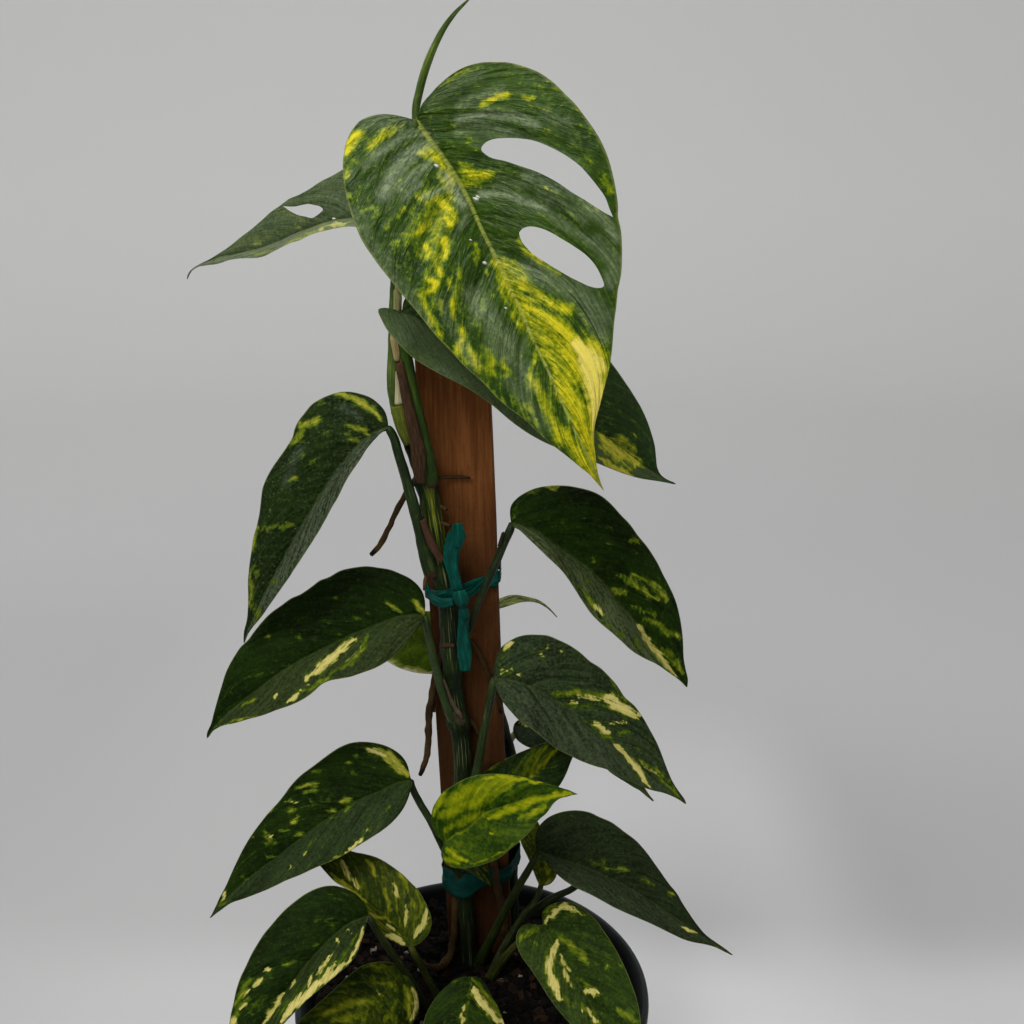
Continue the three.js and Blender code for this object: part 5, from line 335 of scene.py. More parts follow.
def curve_at(P, t):
    """A smooth curve through P, read at fractions t of its length."""
    P = np.asarray(P, float)
    n = len(P)
    seg = np.linalg.norm(np.diff(P, axis=0), axis=1) ** 0.5
    k = np.r_[0, np.cumsum(np.maximum(seg, 1e-4))]
    T = np.zeros_like(P)
    for i in range(n):
        if i == 0:
            T[i] = (P[1] - P[0]) / (k[1] - k[0])
        elif i == n - 1:
            T[i] = (P[-1] - P[-2]) / (k[-1] - k[-2])
        else:
            a, b = (P[i] - P[i - 1]) / (k[i] - k[i - 1]), (P[i + 1] - P[i]) / (k[i + 1] - k[i])
            wa, wb = k[i + 1] - k[i], k[i] - k[i - 1]
            T[i] = (a * wa + b * wb) / (wa + wb)
    kk = np.linspace(0, k[-1], 16 * n)

    def ev(x):
        j = np.clip(np.searchsorted(k, x, "right") - 1, 0, n - 2)
        h = k[j + 1] - k[j]
        s = ((x - k[j]) / h)[:, None]
        h = h[:, None]
        return (2 * s**3 - 3 * s**2 + 1) * P[j] + (s**3 - 2 * s**2 + s) * h * T[j] + (-2 * s**3 + 3 * s**2) * P[j + 1] + (s**3 - s**2) * h * T[j + 1]

    Q = ev(kk)
    a = np.r_[0, np.cumsum(np.linalg.norm(np.diff(Q, axis=0), axis=1))]
    return ev(np.interp(np.asarray(t, float) * a[-1], a, kk))


def unit(v):
    v = np.asarray(v, float)
    return v / np.maximum(np.linalg.norm(v, axis=-1, keepdims=True), 1e-12)


def mesh_object(name, V, faces, mat, uvs=None, smooth=True, node=None, slot=None, sharp=None):
    me = bpy.data.meshes.new(name)
    me.from_pydata([tuple(v) for v in np.asarray(V) * MM], [], [tuple(f) for f in faces])
    me.validate()
    if uvs:
        loops = np.zeros(len(me.loops), dtype=np.int32)
        me.loops.foreach_get("vertex_index", loops)
        for key, val in uvs.items():
            layer = me.uv_layers.new(name=key)
            layer.data.foreach_set("uv", np.asarray(val, dtype=np.float32)[loops].ravel())
    me.polygons.foreach_set("use_smooth", [smooth] * len(me.polygons))
    me.materials.append(mat)
    o = bpy.data.objects.new(name, me)
    bpy.context.scene.collection.objects.link(o)
    if sharp is not None:
        me.set_sharp_from_angle(angle=math.radians(sharp))
    return o


def own(o, nodes=()):
    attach(o, "root")
    if isinstance(nodes, str):
        nodes = (nodes,)
    if nodes:
        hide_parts(*nodes)
    return o


def join_meshes(parts):
    """Several (V, faces, uvs) made into one."""
    V, Fc, U = [], [], {}
    base = 0
    for v, f, u in parts:
        V.append(np.asarray(v))
        Fc += [tuple(i + base for i in t) for t in f]
        for k, w in u.items():
            U.setdefault(k, []).append(np.asarray(w))
        base += len(v)
    return np.vstack(V), Fc, {k: np.vstack(w) for k, w in U.items()}


def frames_along(P, first=(0.3, -1, 0.2)):
    T = unit(np.gradient(P, axis=0))
    s = np.asarray(first, float)
    S, B = [], []
    for t in T:
        s = unit(s - (s @ t) * t)
        S.append(s)
        B.append(np.cross(t, s))
    return T, np.array(S), np.array(B)


def tube_mesh(rows, sides=16, per=1.6, wob=0.0, seed=0, ridge=0.0, ridges=5, cap=True, end=0.0, swell=()):
    """A tapering tube through rows (x, y, z, radius) in mm; returns mm points, faces and uvs."""
    R = np.asarray(rows, float)
    n = max(6, int(np.linalg.norm(np.diff(R[:, :3], axis=0), axis=1).sum() / per))
    C = curve_at(R, np.linspace(0, 1, n + 1))
    P, rad = C[:, :3], np.maximum(C[:, 3], 0.15)
    L = np.r_[0, np.cumsum(np.linalg.norm(np.diff(P, axis=0), axis=1))]
    for z, h, a in swell:
        rad = rad * (1 + a * np.exp(-(((P[:, 2] - z) / h) ** 2)))
    T, S, B = frames_along(P)
    V, uv, mk = [], [], []
    for i in range(n + 1):
        for k in range(sides):
            a = 2 * math.pi * k / sides
            r = rad[i] * (1 + ridge * math.cos(ridges * a))
            if wob:
                q = P[i] * 0.22 + np.array([seed * 7.1, k * 0.0, 0])
                r *= 1 + wob * noise.noise(Vector(q + 0.9 * np.array([math.cos(a), math.sin(a), 0])))
            V.append(P[i] + S[i] * (r * math.cos(a)) + B[i] * (r * math.sin(a)))
            uv.append((abs(2 * k / sides - 1), L[i] / 100))
            mk.append((L[i] / L[-1], 0))
    faces = []
    for i in range(n):
        for k in range(sides):
            a, b = i * sides + k, i * sides + (k + 1) % sides
            faces.append((a, b, b + sides, a + sides))
    if cap:
        for i, s in ((0, -1), (n, 1)):
            c = len(V)
            V.append(P[i] + T[i] * s * rad[i] * 0.45)
            uv.append((0.5, L[i] / 100))
            mk.append((L[i] / L[-1], 0))
            for k in range(sides):
                a, b = i * sides + k, i * sides + (k + 1) % sides
                faces.append((c, b, a) if s < 0 else (c, a, b))
    return np.array(V), faces, {"UVMap": np.array(uv), "mark": np.array(mk)}


def px_rows(rows):
    return np.array([list(at_yr(u, v, y)) + [r] for u, v, y, r in rows])


def ribbon_mesh(rows, thick=0.5, bow=0.0, cols=6, per=1.2, wrinkle=0.0, seed=0.0):
    """A flat strip given by its left and right edges: rows (uL, vL, uR, vR, yL, yR); bow lifts its middle toward the viewer."""
    A = np.array([at_yr(r[0], r[1], r[4]) for r in rows])
    B = np.array([at_yr(r[2], r[3], r[5]) for r in rows])
    n = max(6, int(np.linalg.norm(np.diff((A + B) / 2, axis=0), axis=1).sum() / per))
    ts = np.linspace(0, 1, n + 1)
    A, B = curve_at(A, ts), curve_at(B, ts)
    T = unit(np.gradient((A + B) / 2, axis=0))
    N = unit(np.cross(T, B - A))
    view = unit((A + B) / 2 - CAM)
    N = np.where((N * view).sum(1, keepdims=True) > 0, -N, N)
    top, uv = [], []
    for i in range(n + 1):
        w = np.linalg.norm(B[i] - A[i])
        for k in range(cols + 1):
            q = k / cols
            lift = bow * w * 4 * q * (1 - q)
            if wrinkle:
                lift += wrinkle * noise.noise(Vector((q * 3.1 + seed, ts[i] * n * per * 0.12, seed)))
            top.append(A[i] * (1 - q) + B[i] * q + N[i] * lift)
            uv.append((q, ts[i] * n * per / 100))
    top = np.array(top)
    NN = np.repeat(N, cols + 1, axis=0)
    V = np.vstack([top, top - NN * thick])
    off = len(top)
    faces = []
    c1 = cols + 1
    flip = np.cross(A[1] - A[0], B[0] - A[0]) @ N[0] > 0
    for i in range(n):
        for k in range(cols):
            a, b, c, d = i * c1 + k, i * c1 + k + 1, (i + 1) * c1 + k + 1, (i + 1) * c1 + k
            q = (a, d, c, b) if flip else (a, b, c, d)
            faces.append(q)
            faces.append(tuple(x + off for x in reversed(q)))
    ring = [k for k in range(cols)] + [i * c1 + cols for i in range(n)] + [n * c1 + k for k in range(cols, 0, -1)] + [i * c1 for i in range(n, 0, -1)]
    for a, b in zip(ring, ring[1:] + ring[:1]):
        faces.append((b, a, a + off, b + off) if not flip else (a, b, b + off, a + off))
    U = np.array(uv + uv)
    return V, faces, {"UVMap": U, "mark": np.zeros((len(V), 2))}


# ---------------------------------------------------------------- leaves
T0 = 0.10


def s_of(t):
    t = np.asarray(t, float)
    return np.where(t < T0, 0.0, (np.maximum(t - T0, 0) / (1 - T0)) ** 1.15)


def seg_dist(P, a, b):
    a, b = np.asarray(a, float), np.asarray(b, float)
    d = b - a
    h = np.clip(((P - a) @ d) / max(d @ d, 1e-9), 0, 1)
    return np.linalg.norm(P - a - h[:, None] * d, axis=1)


def strokes(px, marks, near=0.15, far=1.15, halo=0.0, reach=2.4, taper=0.0):
    """How strongly each point (in picture coordinates) lies on the traced streaks."""
    out = np.zeros(len(px))
    for pts, width, strength in marks:
        span = width * (reach if halo else far)
        lo, hi = np.min(pts, axis=0) - span, np.max(pts, axis=0) + span
        m = np.flatnonzero((px[:, 0] > lo[0]) & (px[:, 0] < hi[0]) & (px[:, 1] > lo[1]) & (px[:, 1] < hi[1]))
        if len(m) == 0:
            continue
        q = px[m]
        ds = np.array([seg_dist(q, a, b) for a, b in zip(pts, pts[1:])])
        d = np.min(ds, axis=0)
        if taper:
            # thinner toward both ends, as a brush stroke is
            run = np.r_[0, np.cumsum([math.dist(a, b) for a, b in zip(pts, pts[1:])])]
            k = np.argmin(ds, axis=0)
            a, b = np.asarray(pts, float)[k], np.asarray(pts, float)[k + 1]
            h = np.clip(np.sum((q - a) * (b - a), axis=1) / np.maximum(np.sum((b - a) ** 2, axis=1), 1e-9), 0, 1)
            at = (run[k] + h * (run[k + 1] - run[k])) / run[-1]
            d = d / (1 - taper * (1 - np.sin(math.pi * np.clip(at, 0.0, 1.0)) ** 0.7))
        f = np.clip((far - d / width) / (far - near), 0, 1)
        f = f * f * (3 - 2 * f)
        if halo:
            g = np.clip(1 - d / width / reach, 0, 1)
            f = (1 - halo) * f + halo * g * g * (3 - 2 * g)
        out[m] = np.maximum(out[m], strength * f)
    return out


def lay_out(L, NR):
    keys = [k for k in L if k in "AB"]
    y0, a1, a2 = L["y0"], L["a1"], L["a2"]
    ss = np.linspace(0, 1, 81)
    mp = curve_at(L["mid"], ss)
    M = np.array([at_yr(u, v, y0 + a1 * s + a2 * s * s) for (u, v), s in zip(mp, ss)])
    T = np.gradient(M, axis=0)
    k = np.ones(19) / 19
    Tp = np.vstack([np.repeat(T[:1], 9, 0), T, np.repeat(T[-1:], 9, 0)])
    T = unit(np.array([np.convolve(Tp[:, i], k, "valid") for i in range(3)]).T)
    ts = np.linspace(0, 1, NR + 1) ** 1.0
    s = s_of(ts)
    Mr = np.array([np.interp(s, ss, M[:, j]) for j in range(3)]).T
    Tr = unit(np.array([np.interp(s, ss, T[:, j]) for j in range(3)]).T)
    res, w = {}, None
    for oi in sorted(range(2), key=lambda i: abs(L["phi"][i])):
        phi = math.radians(L["phi"][oi])
        E = curve_at(L[keys[oi]], ts)
        near = abs(phi) < math.radians(40) or w is None
        P = []
        for i in range(NR + 1):
            d = ray(*E[i])
            lat = unit(np.cross(Tr[i], d))
            if (at_y(E[i][0], E[i][1], Mr[i][1]) - Mr[i]) @ lat < 0:
                lat = -lat
            tow = unit(np.cross(Tr[i], lat))
            if tow @ d > 0:
                tow = -tow
            if near:
                nrm = unit(np.cross(Tr[i], math.cos(phi) * lat + math.sin(phi) * tow))
                P.append(CAM + d * (((Mr[i] - CAM) @ nrm) / (d @ nrm)))
            else:
                b = d @ (CAM - Mr[i])
                c = (CAM - Mr[i]) @ (CAM - Mr[i]) - (max(w[i], 1e-3) * 0.97) ** 2
                P.append(CAM + d * (-b - math.sqrt(max(b * b - c, 0))))
        P = np.array(P)
        if not near:
            off = P[:, 1] - Mr[:, 1]
            k5 = np.hanning(max(5, NR // 6) | 1)
            k5 /= k5.sum()
            h = len(k5) // 2
            off = np.convolve(np.r_[np.zeros(h), off, np.zeros(h)], k5, "valid")
            off = np.clip(off, -30, 30) * L.get("soft", 0.8)
            P = np.array([at_y(E[i][0], E[i][1], Mr[i][1] + off[i]) for i in range(NR + 1)])
        if w is None:
            w = np.linalg.norm(P - Mr, axis=1)
        res[keys[oi]] = P
    A, B = res["A"], res["B"]
    A[-1] = B[-1] = M[-1]
    m = np.array(L["mid"], float)
    q, c, dd = curve_at(L["A"], [0.4])[0], curve_at(m, [0.4])[0], m[-1] - m[0]
    if dd[0] * (q - c)[1] - dd[1] * (q - c)[0] > 0:
        A, B = B, A
    return ts, Mr, Tr, A, B


def leaf_mesh(L, NR=110, NC=22, bulge=0.05, curl=0.03, wave=0.7, thick=0.5, seed=0, quilt=0.35, n=5.5, off=0.08, ka=0.28, kb=0.28, ripple=0.0):
    """One blade as a closed thin shell; sgn +1 is the half on the left when looking from stalk to tip."""
    if "edge" in L:
        ts, Mr, Tr, A, B = L["edge"](NR)
    else:
        ts, Mr, Tr, A, B = lay_out(L, NR)
    face = unit(np.cross(Tr, A - B))
    for i in range(len(face)):
        if not np.isfinite(face[i]).all() or np.linalg.norm(A[i] - B[i]) < 0.5:
            face[i] = face[i - 1] if i else np.array([0, -1, 0])
    length = np.linalg.norm(np.diff(Mr, axis=0), axis=1).sum()
    qs = np.linspace(0, 1, NC + 1)
    rows, U, ids = [], [], []
    rng = np.random.RandomState(seed + 11)
    ph = rng.rand(4) * 6.28
    for sgn, E, kv in ((1, A, ka), (-1, B, kb)):
        W = np.linalg.norm(E - Mr, axis=1)
        for i in range(NR + 1):
            t = ts[i]
            w = W[i]
            fade = min(1.0, w / 8)
            tip = math.sin(math.pi * min(1, t + 0.02)) ** 0.5 if t < 1 else 0
            for k, q in enumerate(qs):
                if k == 0 and sgn < 0:
                    continue
                lift = (bulge * w * math.sin(math.pi * q**0.85) - curl * w * q**4) * fade
                lift += wave * fade * tip * q * q * math.sin(2 * math.pi * (2.6 * t) + ph[0 if sgn > 0 else 1])
                sv = t - kv * q**1.12
                phase = (sv - off) * n
                up = abs(math.sin(math.pi * phase)) if phase > -0.5 else 1.0
                lift += quilt * fade * tip * (up**0.7 - 0.6) * min(1, 4 * q) * (1 - q**4)
                if ripple:
                    lift += ripple * fade * tip * min(1, 5 * q) * noise.noise(Vector((q * w * 0.05 + seed, sv * length * 0.16 * (1.3 if sgn > 0 else 1.0), sgn * 3.0)))
                lift += 0.5 * fade * tip * noise.noise(Vector(Mr[i] * 0.05 + (E[i] - Mr[i]) * q * 0.05 + seed)) * q
                rows.append(Mr[i] * (1 - q) + E[i] * q + face[i] * lift)
                U.append((sgn * q, t, w, sv * length, q * w))
                ids.append((i, sgn * k))
    P = np.array(rows)
    U = np.array(U)
    index = {key: n for n, key in enumerate(ids)}
    quads = []
    cols = [k for k in range(-NC, NC + 1)]
    for i in range(NR):
        for k in cols[:-1]:
            a, b, c, d = index[(i, k)], index[(i, k + 1)], index[(i + 1, k + 1)], index[(i + 1, k)]
            quads.append((a, b, c, d))
    # merge the points that coincide at the sinus and at the tip
    rep = np.arange(len(P))
    for n_, (i, k) in enumerate(ids):
        if i == NR:
            rep[n_] = index[(NR, 0)]
        elif k == 0 and s_of(ts[i]) == 0:
            rep[n_] = index[(0, 0)]
    used = sorted(set(rep.tolist()))
    new = {o: j for j, o in enumerate(used)}
    P, U = P[used], U[used]
    top = []
    for q in quads:
        f = []
        for v in q:
            v = new[int(rep[v])]
            if v not in f:
                f.append(v)
        if len(f) >= 3:
            top.append(tuple(f))
    # orientation: the upper face looks at the viewer where the halves are traced face on
    N = np.zeros_like(P)
    for f in top:
        c = np.cross(P[f[1]] - P[f[0]], P[f[2]] - P[f[0]])
        if len(f) == 4:
            c = c + np.cross(P[f[2]] - P[f[0]], P[f[3]] - P[f[0]])
        for v in f:
            N[v] += c
    N = unit(N)
    if (N * face.mean(0)).sum() < 0:
        top = [tuple(reversed(f)) for f in top]
        N = -N
    half, vein = U[:, 2] / 100, U[:, 3:5] / 100
    U = U[:, :2]
    edge = np.clip((1 - np.abs(U[:, 0])) * 6, 0.25, 1)
    th = thick * edge[:, None]
    V = np.vstack([P + N * th / 2, P - N * th / 2])
    n = len(P)
    faces = list(top) + [tuple(v + n for v in reversed(f)) for f in top]
    E = set()
    for f in top:
        for a, b in zip(f, f[1:] + f[:1]):
            E.add((a, b))
    for a, b in sorted(E):
        if (b, a) not in E:
            faces.append((b, a, a + n, b + n))
    d = P - CAM
    zz = d @ FWD
    px = np.c_[512 + F * (d @ RT) / zz, 512 - F * (d @ UP) / zz]
    # the streaks wander a little instead of keeping to a smooth line
    amt = 1.2 if L.get("halo") else 2.6
    wp = px + amt * np.array([[noise.noise(Vector((u * 0.10, v * 0.10, 3 + seed))) + 0.7 * noise.noise(Vector((u * 0.24, v * 0.24, 9 + seed))), noise.noise(Vector((u * 0.10 + 50, v * 0.10, 3 + seed))) + 0.7 * noise.noise(Vector((u * 0.24 + 50, v * 0.24, 9 + seed)))] for u, v in px])
    tp = L.get("taper", 0.6)
    y = strokes(wp, L.get("yellow", ()), 0.0, 1.25, L.get("halo", 0.15), taper=0.7 * tp)
    # painted highlights: how strongly each point lies on the traced gloss strokes
    painted_gloss_amt = strokes(px, L.get("painted_gloss", ()), 0.0, 1.5)
    c = strokes(wp, L.get("cream", ()), 0.0, L.get("spread", 1.45), taper=tp)
    y = np.maximum(y, L.get("rim", 0.6) * strokes(wp, L.get("cream", ()), 0.3, 2.2, taper=tp))
    under = np.r_[np.zeros(n), np.ones(n)]
    uv = {"UVMap": np.vstack([U * [0.5, 1] + [0.5, 0]] * 2), "mark": np.vstack([np.c_[y, c]] * 2), "side": np.c_[under, np.r_[half, half]], "vein": np.vstack([vein] * 2), "painted_gloss": np.vstack([np.c_[painted_gloss_amt, painted_gloss_amt]] * 2)}
    return V, faces, uv, length


# ---------------------------------------------------------------- materials
class G:
    """A small help for building node trees."""

    def __init__(self, name):
        self.m = bpy.data.materials.new(name)
        self.m.use_nodes = True
        self.t = self.m.node_tree
        self.b = self.t.nodes["Principled BSDF"]
        self.out = self.t.nodes["Material Output"]

    def n(self, kind, **kw):
        x = self.t.nodes.new("ShaderNode" + kind)
        for k, v in kw.items():
            setattr(x, k, v)
        return x

    def put(self, sock, v):
        if hasattr(v, "is_linked") or hasattr(v, "links"):
            self.t.links.new(v, sock)
        elif v is not None:
            sock.default_value = v

    def attr(self, name):
        return self.n("Attribute", attribute_name=name).outputs["Vector"]

    def xyz(self, v):
        s = self.n("SeparateXYZ")
        self.put(s.inputs[0], v)
        return s.outputs

    def vec(self, x=0.0, y=0.0, z=0.0):
        c = self.n("CombineXYZ")
        for i, v in enumerate((x, y, z)):
            self.put(c.inputs[i], v)
        return c.outputs[0]

    def f(self, op, a, b=None, c=None, clamp=False):
        m = self.n("Math", operation=op, use_clamp=clamp)
        for i, v in enumerate((a, b, c)):
            if v is not None:
                self.put(m.inputs[i], v)
        return m.outputs[0]

    def scale(self, v, s):
        m = self.n("VectorMath", operation="MULTIPLY")
        self.put(m.inputs[0], v)
        m.inputs[1].default_value = s
        return m.outputs[0]

    def add(self, v, w):
        m = self.n("VectorMath", operation="ADD")
        self.put(m.inputs[0], v)
        self.put(m.inputs[1], w)
        return m.outputs[0]

    def noise(self, v, s=5.0, d=3.0, r=0.55, dist=0.0):
        x = self.n("TexNoise")
        self.put(x.inputs["Vector"], v)
        x.inputs["Scale"].default_value = s
        x.inputs["Detail"].default_value = d
        x.inputs["Roughness"].default_value = r
        x.inputs["Distortion"].default_value = dist
        return x.outputs[0]

    def voronoi(self, v, s=5.0, feature="F1", out="Distance"):
        x = self.n("TexVoronoi", feature=feature)
        self.put(x.inputs["Vector"], v)
        x.inputs["Scale"].default_value = s
        return x.outputs[out]

    def step(self, v, a, b, lo=0.0, hi=1.0, smooth=True):
        x = self.n("MapRange", interpolation_type="SMOOTHSTEP" if smooth else "LINEAR")
        self.put(x.inputs["Value"], v)
        for k, w in (("From Min", a), ("From Max", b), ("To Min", lo), ("To Max", hi)):
            self.put(x.inputs[k], w)
        return x.outputs["Result"]

    def mix(self, fac, a, b, mode="MIX"):
        x = self.n("Mix", data_type="RGBA", blend_type=mode)
        self.put(x.inputs[0], fac)
        self.put(x.inputs[6], a)
        self.put(x.inputs[7], b)
        return x.outputs[2]

    def ramp(self, v, stops):
        x = self.n("ValToRGB")
        self.put(x.inputs[0], v)
        e = x.color_ramp.elements
        while len(e) > len(stops):
            e.remove(e[-1])
        while len(e) < len(stops):
            e.new(0.5)
        for el, (p, c) in zip(e, stops):
            el.position = p
            el.color = c
        return x.outputs[0]

    def bump(self, h, strength=0.3, dist=0.001, prev=None):
        x = self.n("Bump")
        self.put(x.inputs["Height"], h)
        x.inputs["Strength"].default_value = strength
        x.inputs["Distance"].default_value = dist
        if prev is not None:
            self.put(x.inputs["Normal"], prev)
        return x.outputs[0]

    def obj(self):
        return self.n("TexCoord").outputs["Object"]

    def done(self, color, rough=0.5, normal=None, spec=0.5, coat=0.0, coat_rough=0.2, sheen=0.0):
        self.put(self.b.inputs["Base Color"], color)
        self.put(self.b.inputs["Roughness"], rough)
        self.b.inputs["Specular IOR Level"].default_value = spec
        self.b.inputs["Coat Weight"].default_value = coat
        self.b.inputs["Coat Roughness"].default_value = coat_rough
        self.b.inputs["Sheen Weight"].default_value = sheen
        if normal is not None:
            self.put(self.b.inputs["Normal"], normal)
        return self.m


def leaf_material(name, seed, length, n=5.5, off=0.08, fleck=0.0, flame=0.0, base=(20, 36, 10), deep=None, light=(46, 70, 20), mid=(30, 52, 14), gold=(196, 184, 52), lime=(126, 138, 30), pale=(212, 202, 128), painted_sheen_col=(96, 110, 82), sheen=(0.1, 0.1), speck=0.25, rough=0.5, spec=0.12, rib=0.4, rib_w=(1.1, 0.5), rib_col=(96, 116, 44), lines=0.35, relief=1.0, edge=0.5, tone=0.0, size=1.0, speck_col=(104, 116, 76), pale2=(168, 164, 74), painted_gloss=(150, 164, 146), soft=0.0, blur=1.0, cream_edge=(0.44, 0.90), grain=1.0, comb=0.30, vary=1.0):
    g = G(name)
    U, V, _ = g.xyz(g.attr("UVMap"))
    q = g.f("SUBTRACT", g.f("MULTIPLY", U, 2.0), 1.0)
    aq = g.f("ABSOLUTE", q)
    yel, cre, _ = g.xyz(g.attr("mark"))
    under, hw, _ = g.xyz(g.attr("side"))
    S, W, _ = g.xyz(g.attr("vein"))
    off3 = seed * 3.17
    sh = g.f("ADD", g.f("MULTIPLY", q, 0.35), off3)
    # long streaks that follow the side veins: wide, medium and hair fine
    n1 = g.noise(g.vec(g.f("MULTIPLY", W, 100 / (13.0 * size)), g.f("MULTIPLY", S, 100 / (5.0 * size)), sh), 1.0, 3, 0.55, 0.7)
    n2 = g.noise(g.vec(g.f("MULTIPLY", W, 100 / (5.2 * size)), g.f("MULTIPLY", S, 100 / (2.2 * size)), g.f("ADD", sh, 7.0)), 1.0, 3, 0.6, 0.7)
    n3 = g.noise(g.vec(g.f("MULTIPLY", W, 100 / 2.8), g.f("MULTIPLY", S, 100 / 1.0), g.f("ADD", sh, 15.0)), 1.0, 3, 0.65, 0.9)
    o = g.add(g.obj(), (off3, 0, 0))
    fine = g.noise(o, 620, 3, 0.7)
    dots = g.noise(o, 300, 3, 0.65)
    midn = g.noise(o, 55, 3, 0.6)
    wob = g.f("ADD", g.f("MULTIPLY", g.f("SUBTRACT", n1, 0.5), 1.1 * vary), g.f("ADD", g.f("MULTIPLY", g.f("SUBTRACT", n2, 0.5), 1.1 * vary), g.f("ADD", g.f("MULTIPLY", g.f("SUBTRACT", dots, 0.5), 1.5 * grain), g.f("MULTIPLY", g.f("SUBTRACT", fine, 0.5), 0.9 * grain))))
    if blur:
        wob = g.f("MULTIPLY", wob, 1.0 - 0.25 * blur)
    lvl = g.f("ADD", g.f("ADD", g.f("MAXIMUM", yel, flame), fleck), wob)
    if deep is None:
        deep = tuple(int(x * 0.62) for x in base)
    c0 = g.mix(g.step(g.f("ADD", g.f("MULTIPLY", midn, 0.5), g.f("MULTIPLY", n1, 0.5)), 0.38, 0.62), col(*deep), col(*base))
    c0 = g.mix(g.step(g.f("ADD", g.f("MULTIPLY", n2, 0.3), g.f("ADD", g.f("MULTIPLY", dots, 0.35), g.f("MULTIPLY", fine, 0.35))), 0.46, 0.62, 0, 0.75), c0, col(*mid))
    # painted sheen: a pale grey reflection mixed into the colour, combed along the veins, stronger on one half than on
    # the other
    if sheen[0] or sheen[1]:
        amt = g.step(q, -0.05, 0.05, sheen[1], sheen[0])
        brush = g.step(g.f("ADD", g.f("MULTIPLY", n3, 0.35), g.f("ADD", g.f("MULTIPLY", fine, 0.4), g.f("MULTIPLY", n1, 0.25))), 0.41, 0.60, comb, 1.0)
        c0 = g.mix(g.f("MULTIPLY", amt, brush), c0, col(*painted_sheen_col))
    c = g.mix(g.step(lvl, 0.22, 0.52 + 0.2 * blur), c0, col(*light))
    c = g.mix(g.step(lvl, 0.44, 0.74 + 0.25 * blur), c, col(*lime))
    is_gold = g.step(lvl, 0.70, 1.08 + 0.2 * blur)
    c = g.mix(is_gold, c, col(*gold))
    cl = g.f("ADD", cre, g.f("ADD", g.f("MULTIPLY", wob, 0.75), g.f("MULTIPLY", g.f("SUBTRACT", n2, 0.5), 1.1)))
    c = g.mix(g.f("MULTIPLY", g.step(cl, 0.36, 0.58), 0.8), c, col(*lime))
    cm = g.step(cl, *cream_edge)
    cc = g.mix(g.step(g.f("ADD", g.f("MULTIPLY", n2, 0.5), g.f("MULTIPLY", dots, 0.5)), 0.48, 0.62, 0, 0.65), col(*pale), col(*pale2))
    c = g.mix(cm, c, cc)
    bare = g.f("SUBTRACT", 1.0, g.f("MULTIPLY", g.f("MAXIMUM", is_gold, cm), 0.8))
    if speck:
        c = g.mix(g.f("MULTIPLY", g.step(fine, 0.60, 0.72, 0, speck), bare), c, col(*speck_col))
        c = g.mix(g.f("MULTIPLY", g.step(fine, 0.30, 0.42, min(1.0, speck * 1.5), 0), bare), c, col(*deep))
    # side veins: narrow sunken lines, darkened toward the deep green as painted shade in their grooves
    ph = g.f("MULTIPLY", g.f("SUBTRACT", g.f("MULTIPLY", S, 100.0 / length), off), n)
    sv = g.f("ABSOLUTE", g.f("SINE", g.f("MULTIPLY", ph, 3.14159265)))
    keep = g.f("MULTIPLY", g.step(aq, 0.97, 0.55), g.step(ph, -0.4, -0.2))
    c = g.mix(g.f("MULTIPLY", g.f("MULTIPLY", g.f("MULTIPLY", g.step(sv, 0.16, 0.0), keep), lines), bare), c, col(*deep))
    # painted highlight: a pale silvery colour mixed in along the gloss strokes, where the blade swells and shines,
    # broken up by its fine wrinkles
    painted_gloss_amt = g.xyz(g.attr("painted_gloss"))[0]
    shine = g.step(g.f("ADD", g.f("MULTIPLY", n2, 0.45), g.f("ADD", g.f("MULTIPLY", n3, 0.2), g.f("MULTIPLY", fine, 0.35))), 0.38, 0.64, 0.25, 1.0)
    c = g.mix(g.f("MULTIPLY", painted_gloss_amt, shine), c, col(*painted_gloss))
    # midrib
    dm = g.f("MULTIPLY", W, 100.0)
    r1 = g.step(dm, g.step(V, 0.0, 1.0, rib_w[0], rib_w[1], False), g.step(V, 0.0, 1.0, rib_w[0] * 0.35, rib_w[1] * 0.3, False))
    c = g.mix(g.f("MULTIPLY", r1, g.f("MULTIPLY", g.step(n2, 0.3, 0.7, 0.75, 1.0), rib)), c, col(*rib_col))
    c = g.mix(g.f("MULTIPLY", g.step(aq, 0.975, 0.995), edge), c, col(128, 138, 74))
    if tone:
        c = g.mix(g.f("MULTIPLY", g.step(V, 0.2, 0.9), tone), c, col(*deep))
    # underside paler and duller
    c = g.mix(g.f("MULTIPLY", under, 0.4), c, col(84, 104, 56))
    r = g.f("ADD", g.step(g.f("ADD", g.f("MULTIPLY", n2, 0.5), g.f("MULTIPLY", midn, 0.5)), 0.35, 0.65, rough - 0.07, rough + 0.12), g.f("MULTIPLY", under, 0.2))
    groove = g.f("MULTIPLY", g.f("POWER", sv, 0.4), g.f("MULTIPLY", keep, 0.5))
    h = g.f("ADD", groove, g.step(dm, 0.0, 2.2, -0.7, 0.0))
    nb = g.bump(h, 0.45, 0.0011)
    nb = g.bump(g.f("ADD", g.f("MULTIPLY", n1, 0.9 + 0.7 * soft), g.f("ADD", g.f("MULTIPLY", n2, 0.8 - 0.3 * soft), g.f("ADD", g.f("MULTIPLY", n3, 0.3 - 0.22 * soft), g.f("MULTIPLY", fine, 0.15 - 0.1 * soft)))), min(1.0, 0.42 * relief), 0.0018, nb)
    return g.done(c, r, nb, spec=spec)


